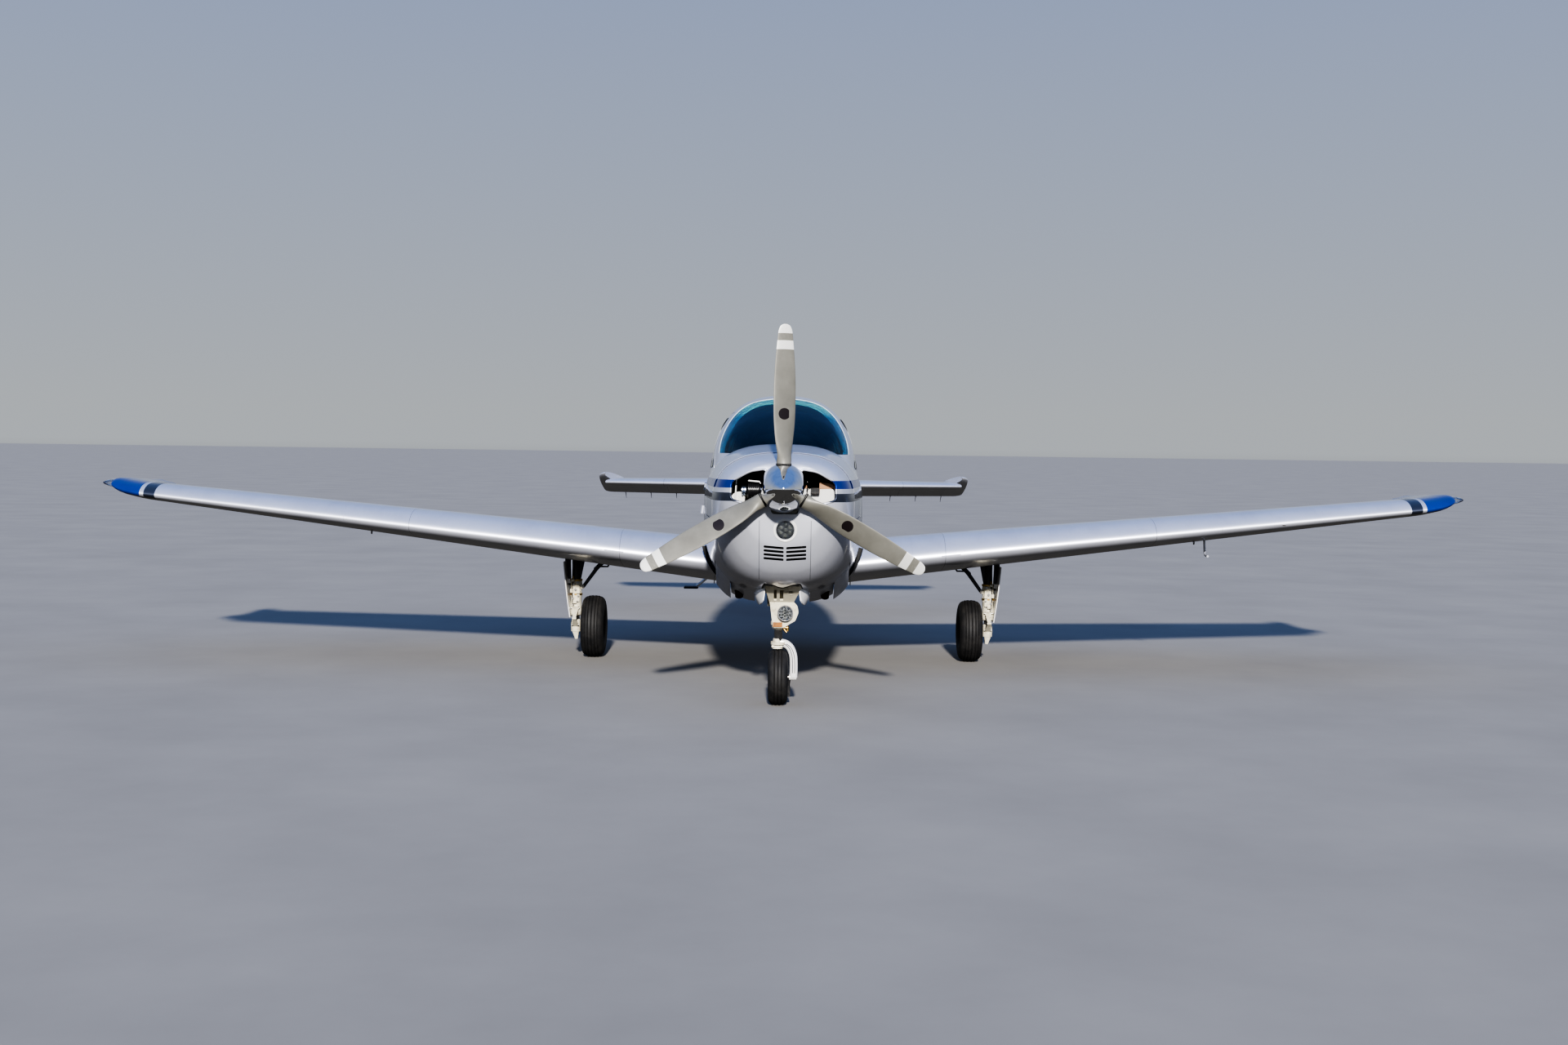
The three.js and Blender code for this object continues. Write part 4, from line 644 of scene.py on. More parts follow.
PRIMER, LINING = primer_finish(), lining_finish()
SEAL = rubber_finish("seal_rubber", (0.012, 0.012, 0.013), (0.05, 0.048, 0.045))
TYRE = rubber_finish("tyre_finish", (0.014, 0.014, 0.015), (0.042, 0.039, 0.036))
HOSE = rubber_finish("hose_finish", (0.02, 0.02, 0.022), (0.05, 0.05, 0.05))
GEAR_CREAM = enamel("gear_cream", (0.72, 0.68, 0.55), (0.26, 0.20, 0.12))
FORK_WHITE = enamel("fork_white", (0.80, 0.80, 0.80), (0.50, 0.48, 0.44), 0.18, (0.6, 0.85))
# Dark grey for the upper leg castings, the braces, the door stays and the fork's grooves: painted shade where the wing
# or the grooves shade them.
PAINTED_SHADE_GREY = enamel("leg_grey", (0.075, 0.078, 0.085), (0.03, 0.025, 0.02), 0.5)
AMBER = enamel("amber_plate", (0.40, 0.17, 0.045), (0.18, 0.09, 0.04))
BLACK_PART = enamel("black_part", (0.016, 0.016, 0.018), (0.05, 0.045, 0.04), 0.35)
CASE_GREY = enamel("engine_grey", (0.20, 0.21, 0.22), (0.05, 0.045, 0.04), 0.45)
BAFFLE = enamel("baffle_white", (0.78, 0.78, 0.76), (0.36, 0.33, 0.27), 0.35, (0.55, 0.8))
TAN_PART = enamel("tan_part", (0.42, 0.23, 0.12), (0.25, 0.14, 0.08))
PUTTY = enamel("putty_grey", (0.42, 0.40, 0.35), (0.22, 0.20, 0.17))
CHROME = metal("piston_chrome", (0.80, 0.80, 0.82), 0.03, (0.62, 0.62, 0.64), 30, 0.00004)
STEEL = metal("bare_steel", (0.42, 0.42, 0.42), 0.28, (0.22, 0.19, 0.16))
ALLOY = metal("wheel_alloy_finish", (0.55, 0.56, 0.57), 0.32, (0.30, 0.29, 0.27))
BRASS = metal("brass_fitting", (0.62, 0.44, 0.16), 0.3, (0.35, 0.22, 0.10))
FIN_METAL = metal("fin_metal", (0.34, 0.33, 0.31), 0.4, (0.16, 0.13, 0.10))
EXHAUST = metal("burnt_steel", (0.13, 0.10, 0.085), 0.45, (0.05, 0.04, 0.035), 20)
PULLEY = metal("pulley_metal", (0.62, 0.70, 0.86), 0.2, (0.45, 0.52, 0.66))
DISH = metal("lamp_dish", (0.16, 0.17, 0.19), 0.15, (0.07, 0.075, 0.085))
BRIGHT_DISH = metal("bright_dish", (0.62, 0.63, 0.65), 0.12, (0.4, 0.4, 0.42))
CARPET = cloth_finish("carpet", (0.09, 0.09, 0.10), (0.05, 0.05, 0.06), 0.004)
PANEL_BLACK = moulded("panel_black", (0.030, 0.032, 0.036), (0.05, 0.05, 0.055), 0.7)
PANEL_GREY = moulded("panel_grey", (0.16, 0.17, 0.18), (0.12, 0.125, 0.13), 0.55)
DIAL_FACE = moulded("dial_face", (0.012, 0.012, 0.013), (0.02, 0.02, 0.02), 0.3)
MARK = moulded("dial_mark", (0.75, 0.75, 0.70), (0.65, 0.65, 0.6), 0.5)
print(len(bpy.data.materials), "finishes made")

# %% [markdown]
# ## The nose bowl
# The bowl is one moulding round the front of the engine: two cooling inlets with rolled lips, a chin with a
# landing light and a slotted grille, and a dark recess below the spinner. It is the front of the same skin,
# closed to a flat ring round the shaft. The light and the grille lie 14 mm to the aircraft's left. The rolled
# lips are rods laid along the inlets' edges. To find where an edge lies, the station at which the growing
# section passes a point (x, z) is halved down to.

# %% Nose bowl
SHAFT_Z, LAMP_Z = 1399, 1142
BOWL_FRONT, BOWL_BACK, BOWL_WALL, SHAFT_HOLE = 405, 699.7, 12, 54
INLET = [(104, 1330), (104, 1516), (205, 1500), (322, 1436), (326, 1325), (235, 1300)]
LOUVRE, LOUVRE_LOW, LOUVRE_PITCH = np.array([(8, 0), (130, 9), (130, 23), (8, 14)]), 952, 24
RECESS = [(-92, 1296), (106, 1296), (88, 1240), (-66, 1240)]
BAY = prism(rounded([(-128, 1470), (-128, 800), (-116, 590), (-60, 610), (0, 690), (60, 610), (116, 590),
                     (128, 800), (128, 1470)], 18, 5), 500, 900, "z")


def bowl_station(x, z):
    """The station where the section's edge passes (x, z), found by halving between the bowl's two ends."""
    low, high = np.full(np.shape(x), float(BOWL_FRONT)), np.full(np.shape(x), BOWL_BACK)
    for _ in range(30):
        s = (low + high) / 2
        middle = column(HULL, "widest", s)
        inside = np.hypot(x, z - middle) < hull_reach(s, np.arctan2(z - middle, x), 0)
        low, high = np.where(inside, low, s), np.where(inside, s, high)
    return s


def bowl_shape(turns=288):
    """Stations crowd towards the front as t^2, because the section grows fastest there."""
    stations = BOWL_FRONT + (BOWL_BACK - BOWL_FRONT) * np.linspace(0, 1, 64) ** 2
    outer = body_rings(stations, 0, turns, hull_only=True)
    inner = body_rings(np.maximum(stations, BOWL_FRONT + BOWL_WALL), BOWL_WALL, turns, hull_only=True)
    a = circle(turns)
    hole = [mm(SHAFT_HOLE * np.cos(a), s, SHAFT_Z + SHAFT_HOLE * np.sin(a))[None]
            for s in (BOWL_FRONT, BOWL_FRONT + BOWL_WALL)]
    shape = hoop(np.concatenate([hole[0], outer, inner[::-1], hole[1]]))
    zones = np.zeros(len(shape[1]), int)
    zones[(1 + len(stations)) * turns:-turns] = 1
    return shape, zones


bowl, bowl_zones = bowl_shape()
bowl_tools, lips = [rod(mm(MID, [380, 450], LAMP_Z), 56.3, 64)], []
for _, side in SIDES:
    bowl_tools.append(slab(np.array(INLET) * (side, 1), 30, 8, 380, 640))
    edge = rounded(np.array(INLET) * (side, 1), 30, 14)
    lips.append(closed_rod(mm(edge[:, 0], bowl_station(*edge.T) + 4, edge[:, 1]), 8))
    for i in range(4):
        louvre = (LOUVRE + (0, LOUVRE_LOW + i * LOUVRE_PITCH)) * (side, 1) + (MID, 0)
        bowl_tools.append(slab(louvre, 4, 4, 400, 560))
bowl_tools += [slab(RECESS, 14, 5, 395, 470), BAY]
piece("nose_bowl_skin", bowl, [BOWL_PAINT, PRIMER], nodes="nose_bowl", slot="white_paint", tools=bowl_tools,
      zones=bowl_zones)
piece("inlet_lips", lips, BOWL_PAINT, slot="white_paint")
print("nose bowl", len(bowl_tools), "openings")

# %% [markdown]
# ## The cowl and its doors
# Behind the bowl the cowl opens upwards: two doors hinge along a narrow spine. Below are the nose wheel's bay
# and two flaps that let the air out. The doors are the same sheet, kept inside a box a little smaller than the
# opening, so the gap shows all round.

# %% Cowl, cowl doors
COWL_WALL, COWL_STATIONS = 12, steps(700, 1499.7, 20)
DOOR_FRONT, DOOR_BACK, SPINE = 730, 1470, 20


def door_box(side, gap, hinge_gap):
    return plate(side * (SPINE + hinge_gap), side * 700, DOOR_FRONT + gap, DOOR_BACK - gap, 1190 + gap, 1800, 0.5)


cowl, cowl_zones = skin(COWL_STATIONS, COWL_WALL)
cowl_tools = [BAY]
for _, side in SIDES:
    cowl_tools += [door_box(side, 0, 0), plate(side * 240, side * 445, 1160, 1420, 500, 960, 1)]
piece("engine_cowl_skin", cowl, [COWL_PAINT, PRIMER], nodes="engine_cowl", slot="white_paint", tools=cowl_tools,
      zones=cowl_zones)
for name, side in SIDES:
    piece(f"cowl_door_skin_{name}", cowl, [COWL_PAINT, PRIMER], f"cowl_door_{name}", f"cowl_door_{name}",
          "white_paint", keep=[door_box(side, 5, 9)], zones=cowl_zones)
    a, b = (np.array([side * SPINE, s, float(column(HULL, "top", s)) + 2], float) for s in (DOOR_FRONT, DOOR_BACK))
    barrels, tabs = [], []
    for share in (0.12, 0.5, 0.88):
        middle, along, s = a + (b - a) * share, unit(b - a), DOOR_FRONT + (DOOR_BACK - DOOR_FRONT) * share
        z = float(column(HULL, "top", s))
        barrels.append(rod([middle - along * 30, middle + along * 30], 7))
        tabs.append(plate(side * 22, side * 34, s - 30, s + 30, z - 6, z - 1, 2))
    piece(f"cowl_door_hinges_{name}", barrels + tabs, COWL_PAINT, f"cowl_door_{name}")

# %% [markdown]
# ## Cabin shell, windows and doors
# The cabin's wall is 38 mm deep with its frames and lining. Windows are outlines with rounded corners pushed
# through it from the side. Each door's edge leans in with its hinge, and its free edge is bevelled to swing clear.
# The panes follow the cabin's top, a little below its skin.

# %% Windows and door openings
CABIN_WALL, PANE_CORNER, DOOR_FOOT = 38, 55, 1020.0
WINDOWS = [[(2205, 1500), (2785, 1480), (2785, 1845), (2465, 1852)],
           [(2875, 1480), (3430, 1480), (3430, 1835), (2875, 1845)],
           [(3680, 1480), (4130, 1480), (4120, 1762), (3745, 1785)],
           [(4225, 1480), (4640, 1490), (4560, 1690), (4225, 1738)]]
WINDSCREEN = [(1560, 1600), (2070, 1600), (2100, 1640), (2345, 1945), (2372, 2100), (1560, 2100)]
DOORS = {
    "cabin_door": dict(hinge=2135, x=596, sense=1, bevel=10, window=0,
                       outline=[(-4, 0), (700, 0), (700, 885), (270, 900), (10, 520), (-4, 490)]),
    "cargo_door_front": dict(hinge=3620, x=608, sense=1, bevel=15, window=2,
                             outline=[(-4, 0), (560, 0), (560, 800), (78, 830), (-4, 560)]),
    "cargo_door_rear": dict(hinge=4760, x=548, sense=-1, bevel=12, window=3,
                            outline=[(-4, 0), (566, 0), (566, 796), (110, 745), (-4, 500)]),
}
LEAN = math.radians(8)
DOOR_AXIS, DOOR_OUT = np.array([math.sin(LEAN), 0, math.cos(LEAN)]), np.array([-math.cos(LEAN), 0, math.sin(LEAN)])


def window_tool(corners, side, shrink=0.0):
    corners = np.array(corners, float)
    drawn = corners - np.sign(corners - corners.mean(axis=0)) * shrink
    return slab(drawn, PANE_CORNER, 10, side * 200, side * 720, "x")


def door_tool(door, gap):
    """The door's outline at two depths, inside and outside; the free edge moves out by depth . tan(bevel)."""
    u, v = np.array(door["outline"], float).T
    rings = []
    for depth in (-260.0, 120.0):
        bevel = np.where(u == u.max(), depth * math.tan(math.radians(door["bevel"])) - gap, 0)
        across = u + bevel + np.where(u < 40, gap, 0)
        rise = v + np.where(v == 0, gap, -gap * v / v.max())
        edge = rounded(np.stack([across, rise], axis=1), 34, 6)
        origin = np.array([-door["x"], door["hinge"], DOOR_FOOT])
        rings.append(origin + edge[:, :1] * (0, door["sense"], 0) + edge[:, 1:] * DOOR_AXIS + depth * DOOR_OUT)
    return loft(rings)


def pane_band(from_s, to_s, shallow=2, deep=8):
    """A thin arch below the cabin top's skin: x = w |cos a|^(2/n), z = widest + h |sin a|^(2/n), out and back."""
    s = steps(from_s, to_s, 14)[:, None]
    widest, top, half, up = columns(CABIN_TOP, "widest top half up", s)
    a = np.linspace(0.001, np.pi - 0.001, 150)[None, :]
    arches = []
    for inset in (shallow, deep):
        w, h = np.maximum(half - inset, 10), np.maximum(top - widest - inset, 10)
        arches.append(mm(w * power(np.cos(a), up), s, widest + h * power(np.sin(a), up)))
    return loft(np.concatenate([arches[0], arches[1][:, ::-1]], axis=1))


def screen_tool(shrink=0.0):
    return prism(np.array(WINDSCREEN) - (shrink, 0), -640, 640, "x")


def deck(grow):
    """The hull below the windscreen, grown a little, so that the screen ends on it."""
    return loft(body_rings(steps(1560, 2420, 20), -grow, hull_only=True))


# %% [markdown]
# The shell is the cabin's skin without the outlines of the doors, the windows and the windscreen. The faces that
# the windscreen's tool leaves take a third finish, matt and pale: it brightens the edge of the glass before it.

# %% Cabin shell
def rim_finish():
    f = Finish("opening_rim", (0.8, 0.8, 0.8), 1.0, Specular_IOR_Level=0.0)
    return f.done(f.mix(f.noise(30).ramp(0.4, 0.7), (0.81, 0.81, 0.81), (0.79, 0.79, 0.79)))


cabin, cabin_zones = skin(steps(1500.3, 4950, 25), CABIN_WALL)
openings = [door_tool(door, 0) for door in DOORS.values()]
openings += [window_tool(corners, 1) for corners in WINDOWS] + [window_tool(WINDOWS[1], -1)]
screen_hole = cut(to_mesh("screen_hole", screen_tool()), [deck(0)])
screen_hole.data.polygons.foreach_set("material_index", np.full(len(screen_hole.data.polygons), 2, np.int32))
openings.append(screen_hole)
shell = piece("cabin_shell", cabin, [CABIN_PAINT, LINING, rim_finish()], nodes="cabin_lower cabin_upper",
              slot="white_paint", tools=openings, zones=cabin_zones)
print("cabin", len(shell.data.polygons), "faces")


# %% [markdown]
# ## Glass
# Acrylic panes tinted against the sun: the windscreen is deep blue-green with a lighter band along its top edge.
# A real pane is thin and clear with colour in it. Here transmission with a coloured base does the same, and the
# dark cabin behind gives it depth. Rubber strips close the panes' edges.

# %% Panes and strips
def glass_finish(name, colour, band=None):
    f = Finish(name, colour, 0.02, 0.0, Transmission_Weight=1.0, IOR=1.35, Coat_Weight=0.3, Coat_Roughness=0.02)
    haze = f.noise(5, 4)
    tint = f.mix(haze.ramp(0.4, 0.8), colour, tuple(min(1, c * 1.25) for c in colour))
    if band:
        tint = f.mix((f.z + abs(f.x) ** 2.0 * 0.32).ramp(1.885, 1.935), tint, band)
    return f.done(tint, haze.ramp(0.3, 0.9) * 0.03 + 0.01)


SCREEN_GLASS = glass_finish("screen_glass", (0.10, 0.34, 0.50), (0.35, 0.72, 0.70))
WINDOW_GLASS = glass_finish("window_glass", (0.30, 0.42, 0.46))
LENS_GLASS = glass_finish("lens_glass", (0.92, 0.93, 0.90))
piece("windscreen_pane", common(pane_band(1642, 2380), [screen_tool(0.3)]), SCREEN_GLASS, nodes="windscreen",
      slot="clear_glass", tools=[deck(0.3)])


def window_pane(name, corners, side, body, node):
    piece(name, pane_band(corners[0][0] - 60, max(c[0] for c in corners) + 60), WINDOW_GLASS, body, node,
          "clear_glass", keep=[window_tool(corners, side, 0.3)])
    s, z = rounded(np.array(corners, float), PANE_CORNER, 16).T
    piece(name + "_strip", closed_rod(mm(side * (side_x(s, z) - 1.5), s, z), 5.5, 10), SEAL, body)


for i, corners in enumerate(WINDOWS):
    window_pane(f"left_pane_{i + 1}", corners, 1, "airframe", f"left_window_{i + 1}")
window_pane("right_pane_2", WINDOWS[1], -1, "airframe", "right_window_2")
for name, door in DOORS.items():
    window = WINDOWS[door["window"]]
    s = [door["hinge"] + door["sense"] * u for u, _ in door["outline"]]
    shell, zones = skin(steps(min(s) - 40, max(s) + 60, 25), CABIN_WALL)
    piece(name + "_leaf", shell, [DOOR_PAINT, LINING], name, name, "white_paint", zones=zones,
          keep=[door_tool(door, 6)], tools=[window_tool(window, -1)])
    window_pane(name + "_pane", window, -1, name, name + "_window")
    origin = np.array([-door["x"], door["hinge"], DOOR_FOOT])
    piece(name + "_hinges", [rod([origin + DOOR_AXIS * (h - 28), origin + DOOR_AXIS * (h + 28)], 14, 24)
                             for h in (180, 345)], DOOR_PAINT, name)
print("panes and doors made")

# %% [markdown]
# ## Tail cone
# The cone is thin sheet that tapers to the tail. The rudder's foot turns in a round hollow at its end.

# %% Tail cone
RUDDER_S, RUDDER_FOOT = 7830, 1143
tail, tail_zones = skin(np.append(steps(4950.3, 7690, 30), [7735, 7780]), 10)
piece("tail_cone_skin", tail, [TAIL_PAINT, PRIMER], nodes="tail_cone", slot="white_paint", zones=tail_zones,
      tools=[rod(mm(0, RUDDER_S, [RUDDER_FOOT, 1700]), 58, 40)])
piece("tail_heel", plate(-22, 22, 7660, 7860, 1124, RUDDER_FOOT, 4), TAIL_PAINT)

# %% [markdown]
# ## Wing sections
# The wing uses one family of sections from root to tip: a thickness curve laid about a bent middle line.
# Each section is a loop from the trailing edge over the top to the nose and back below. Points crowd near the
# nose, where the curve is tight, because they follow (1 - cos) / 2. The panel is straight from root to end,
# so all sections between are straight mixes of the two, which also keeps every hinge line straight.

# %% Sections and the wing's loft
CHORD_SHARE = (1 - np.cos(np.linspace(0, np.pi, 37))) / 2
NOSE_POINT = len(CHORD_SHARE) - 1
HALF_SPAN, ROOT_CHORD, TIP_CHORD, QUARTER_LINE, WING_Z, DIHEDRAL = 5000, 2134, 1067, 2933, 742, math.radians(6)
WING_ROOT, WING_END = 480, 4763


def half_thick(x, ratio):
    """5 t (0.2969 sqrt x - 0.126 x - 0.3516 x^2 + 0.2843 x^3 - 0.1015 x^4)"""
    return 5 * ratio * (0.2969 * np.sqrt(x) - 0.126 * x - 0.3516 * x ** 2 + 0.2843 * x ** 3 - 0.1015 * x ** 4)


def camber(x, peak=0.2025, slope=15.957):
    """A cubic up to its peak, then a straight fall to the trailing edge."""
    front = x ** 3 - 3 * peak * x ** 2 + peak ** 2 * (3 - peak) * x
    return slope / 6 * np.where(x < peak, front, peak ** 3 * (1 - x))


def section_loop(ratio, bent=True):
    middle, thick = camber(CHORD_SHARE) * bent, half_thick(CHORD_SHARE, ratio)
    upper, lower = (np.stack([CHORD_SHARE, middle + sign * thick], axis=1) for sign in (1, -1))
    return np.vstack([upper[::-1], lower[1:]])


def placed(loop, x, lead, z, chord, twist=0.0):
    """A loop turned nose up by the twist, scaled by the chord and moved to its place."""
    angle = math.radians(twist)
    aft = loop[:, 0] * math.cos(angle) + loop[:, 1] * math.sin(angle)
    up = loop[:, 1] * math.cos(angle) - loop[:, 0] * math.sin(angle)
    return mm(x, lead + aft * chord, z + up * chord)


def wing_numbers(x):
    """Chord, thickness, twist, leading edge's station and height: straight mixes along the span."""
    share = abs(x) / HALF_SPAN
    chord = ROOT_CHORD + (TIP_CHORD - ROOT_CHORD) * share
    ratio, twist = 0.165 + (0.12 - 0.165) * share, 4 + (1 - 4) * share
    return chord, ratio, twist, QUARTER_LINE - chord / 4, WING_Z + abs(x) * math.tan(DIHEDRAL)


def wing_ring(x, side=1, lift=0.0, thin=1.0, length=1.0):
    """One section; a shorter one stays centred on 35 percent of the chord and as thick as the ratio says."""
    chord, ratio, twist, lead, z = wing_numbers(x)
    new = chord * length
    return placed(section_loop(ratio * thin / length), side * x, lead + (chord - new) * 0.35, z + lift, new, twist)


def wing_rings(side, xs):
    """Mixes of the sections at 480 and 4763 mm out; inboard of 480 they mix towards the thin one at the root."""
    root, full, end = wing_ring(300, side, 110, 0.75), wing_ring(WING_ROOT, side), wing_ring(WING_END, side)
    t = ((np.asarray(xs, float) - WING_ROOT) / (WING_END - WING_ROOT))[:, None, None]
    u = ((WING_ROOT - np.asarray(xs, float)) / 180)[:, None, None]
    return np.where(u > 0, full * (1 - u) + root * u, full * (1 - t) + end * t)


def hinge_at(side, x, share=0.78):
    """The middle of the section at a share of its chord, and half its thickness there, mixed between both ends."""
    points, depths = [], []
    for end in (WING_ROOT, WING_END):
        chord, ratio, twist, lead, z = wing_numbers(end)
        points.append(placed(np.array([[share, float(camber(share))]]), side * end, lead, z, chord, twist)[0])
        depths.append(float(half_thick(share, ratio)) * chord)
    t = (x - WING_ROOT) / (WING_END - WING_ROOT)
    return points[0] * (1 - t) + points[1] * t, depths[0] * (1 - t) + depths[1] * t


# %% [markdown]
# ## Cutting a surface free along its hinge
# An aileron, a flap, the elevator and the rudder are each the rear of a section with a round nose that turns in
# a hollow. So the skin is cut twice: the part behind a flat through the hinge gets a rod as its nose, and the
# fixed part loses the same region with a slightly larger rod.

# %% Hinge cuts
GAP = 7


def split_surface(skin_shape, a, b, radii, across):
    """Returns what turns as an object, and the tools that make room for it in the fixed part."""
    hinge = unit(b - a)
    aft = unit(np.array([0, 1.0, 0]) - hinge * hinge[1])
    up = unit(np.asarray(across, float) - hinge * np.dot(across, hinge))
    corner = [-260 * up, 900 * aft - 260 * up, 900 * aft + 260 * up, 260 * up]
    block = lambda p, q: loft([[end + c for c in corner] for end in (p, q)])
    p, q = a + hinge * GAP, b - hinge * GAP
    moving = common(skin_shape, [block(p, q)])
    cut(moving, [rod([p, q], np.array(radii) - 1, 48)], "UNION")
    return moving, [block(a, b), rod([a, b], np.array(radii) + GAP, 48)]


# %% [markdown]
# ## Wing paint
# White pearl with a slate stripe near the end, a white gap and the blue tip. Rib and spar rivets are small discs
# on a slanted grid: a spar line is straight, so its station is a plain function of the distance out.

# %% Wing finishes
def wing_finish(name):
    f = pearl(name)
    out = abs(f.x)
    f.base = f.mix(out.between(4.648, 4.732), f.base, SLATE)
    rows = []
    for share in (0.10, 0.17, 0.42, 0.60, 0.74):
        slope = (TIP_CHORD - ROOT_CHORD) * (share - 0.25) / HALF_SPAN
        start = QUARTER_LINE + ROOT_CHORD * (share - 0.25)
        rows.append(rivets(abs(f.y - (out * slope + station(start))), f.x))
    return painted(f, gap_lines(out, [1.19, 2.745]), either(rows + [rivets(out.spaced(0.38), f.y)]))


def plain_pearl(name):
    f = pearl(name)
    return painted(f, None, either([rivets(f.x.spaced(0.19), f.y), rivets(f.z.spaced(0.33), f.y)]))


def blue_finish():
    f = Finish("tip_blue", (0.008, 0.03, 0.22), 0.22, 0.2, Coat_Weight=0.8, Coat_Roughness=0.04)
    colour = f.mix(f.noise(6, 4).ramp(0.35, 0.7), (0.008, 0.03, 0.22), (0.012, 0.042, 0.28))
    return f.done(colour, f.noise(30, 3).ramp(0.3, 0.8) * 0.15 + 0.15, f.noise(420, 1), 0.0004, 0.4)


WING_PAINT, SURFACE_PAINT = wing_finish("wing_paint"), wing_finish("surface_paint")
TIP_BLUE, PLAIN_WHITE = blue_finish(), plain_pearl("plain_pearl")

# %% [markdown]
# ## The two wings
# Each wing loses the flap's and the aileron's room, the bay for the leg, and the part inside the body.

# %% Wings, flaps and ailerons
WING_X = np.concatenate([[300, 390], steps(WING_ROOT, 4762.7, 150)])
body_block = loft(body_rings(steps(1500, 4950, 50), -1))
for name, side in SIDES:
    skin_shape = loft(wing_rings(side, WING_X))
    tools = [body_block, plate(side * 1290, side * 1712, 3155, 3415, 400, 925, 1)]
    for kind, (x0, x1) in (("flap", (640, 2725)), ("aileron", (2765, 4640))):
        (a, ra), (b, rb) = hinge_at(side, x0), hinge_at(side, x1)
        moving, room = split_surface(skin_shape, a, b, (ra, rb), (0, 0, 1))
        piece(f"{kind}_{name}_skin", moving, SURFACE_PAINT, f"{kind}_{name}", f"{kind}_{name}", "white_paint")
        tools += room
    piece(f"wing_{name}_skin", skin_shape, WING_PAINT, nodes=f"wing_{name}", slot="white_paint", tools=tools)
print("wings span", round(2 * WING_X[-1]), "mm without their tips")

# %% [markdown]
# ## Wing tips
# A moulded fairing closes each wing. Its rings shorten and thin towards the end and its rear corner sweeps up.
# A clear lens caps its front corner, over the position lamp and the strobe.

# %% Tips and lenses
TIP_ROWS = [(4763.3, 1, 1, 0), (4800, 0.998, 0.998, 1), (4880, 0.985, 0.97, 8), (4925, 0.97, 0.91, 17),
            (4955, 0.95, 0.82, 26), (4978, 0.92, 0.68, 35), (4993, 0.86, 0.5, 42)]
LENS_ROWS = [(4993.3, 62, 330, 34, 4), (5020, 70, 306, 32, 5), (5048, 88, 270, 27, 7), (5075, 116, 222, 20, 8.6),
             (5093, 150, 160, 12, 10), (5102, 180, 100, 7, 10.6), (5105, 210, 40, 3, 11)]


def lens_ring(side, x, front, length, thick, rise):
    """y = front + length (1 - cos a) / 2, z = rise + thick sin a: an ellipse standing across the span."""
    *_, lead, z = wing_numbers(TIP_ROWS[-1][0])
    a = circle(40)
    return mm(side * x, lead + front + length * (1 - np.cos(a)) / 2, z + TIP_ROWS[-1][3] + rise + thick * np.sin(a))


def tip_ring(side, x, length, depth, lift):
    """A wing section whose rear end rises by 52 mm . share^3."""
    ring = wing_ring(x, side, lift, depth, length)
    share = np.clip((ring[:, 1] - ring[:, 1].min()) / 1040, 0, 1)
    ring[:, 2] += 52 * share ** 3 * np.clip((x - WING_END) / 90, 0, 1)
    return ring


for name, side in SIDES:
    piece(f"wing_tip_{name}_skin", loft([tip_ring(side, *row) for row in TIP_ROWS]), TIP_BLUE,
          nodes=f"wing_tip_{name}", slot="blue_paint")
    piece(f"tip_lens_{name}_glass", loft([lens_ring(side, *row) for row in LENS_ROWS]), LENS_GLASS,
          nodes=f"tip_lens_{name}", slot="clear_glass", sharp=50)

# %% [markdown]
# ## Tailplane and elevator
# The tailplane has plain symmetrical sections. The elevator hangs 15 degrees down on its stops when parked, so
# its horn, which reaches forward past the hinge at the tip, stands up above the fixed part.

# %% Tailplane and elevator
TAIL_Z, ELEVATOR_S, DROOP = 1275, 7500, math.radians(15)


def tail_edges(x):
    """Leading edge, trailing edge and thickness ratio at a distance out."""
    share = x / 1855
    return 6830 + 330 * share, 8050 - 95 * share, 0.1 - 0.015 * share


def fin_edges(z):
    """The same numbers at a height on the fin."""
    share = (z - 1100) / 1520
    return 6360 + 1160 * share, 8385.5 - 170.5 * share, 0.075 + 0.01 * share


def tail_ring(side, x, shrink):
    lead, trail, ratio = tail_edges(x)
    lead, trail = lead + shrink, trail - shrink * 0.6
    return placed(section_loop(ratio, False), side * x, lead, TAIL_Z, trail - lead)


def fin_ring(z, shrink):
    """The same loop lying flat: its thickness is across the body and its chord runs aft."""
    lead, trail, ratio = fin_edges(z)
    lead, trail = lead + shrink, trail - shrink * 0.5
    loop = section_loop(ratio, False) * (trail - lead)
    return mm(loop[:, 1], lead + loop[:, 0], z)


def nose_radius(edges, hinge):
    """Half the section's thickness at the hinge's station."""
    lead, trail, ratio = edges
    return float(half_thick((hinge - lead) / (trail - lead), ratio)) * (trail - lead)


def turn_mesh(obj, about, angle):
    """Turns a mesh's points about a line across the aircraft: p' = c + R (p - c)."""
    centre = Vector(to_metres(about))
    obj.data.transform(Matrix.Translation(centre) @ Matrix.Rotation(angle, 4, "X") @ Matrix.Translation(-centre))


def merge(objects):
    """Puts several meshes into the first one."""
    bpy.ops.object.select_all(action="DESELECT")
    for obj in objects:
        obj.select_set(True)
    bpy.context.view_layer.objects.active = objects[0]
    bpy.ops.object.join()
    return objects[0]


def horn_block(side, gap):
    """The slanted block that parts the elevator's horn from the fixed tip."""
    inner = [(1620, 8200), (1620, 7470), (1775, 7180), (1815, 6900)]
    outer = [(side * 1905, 6900), (side * 1905, 8200)]
    return prism([(side * (x + gap), s) for x, s in inner] + outer, 1100, 1500, "z")


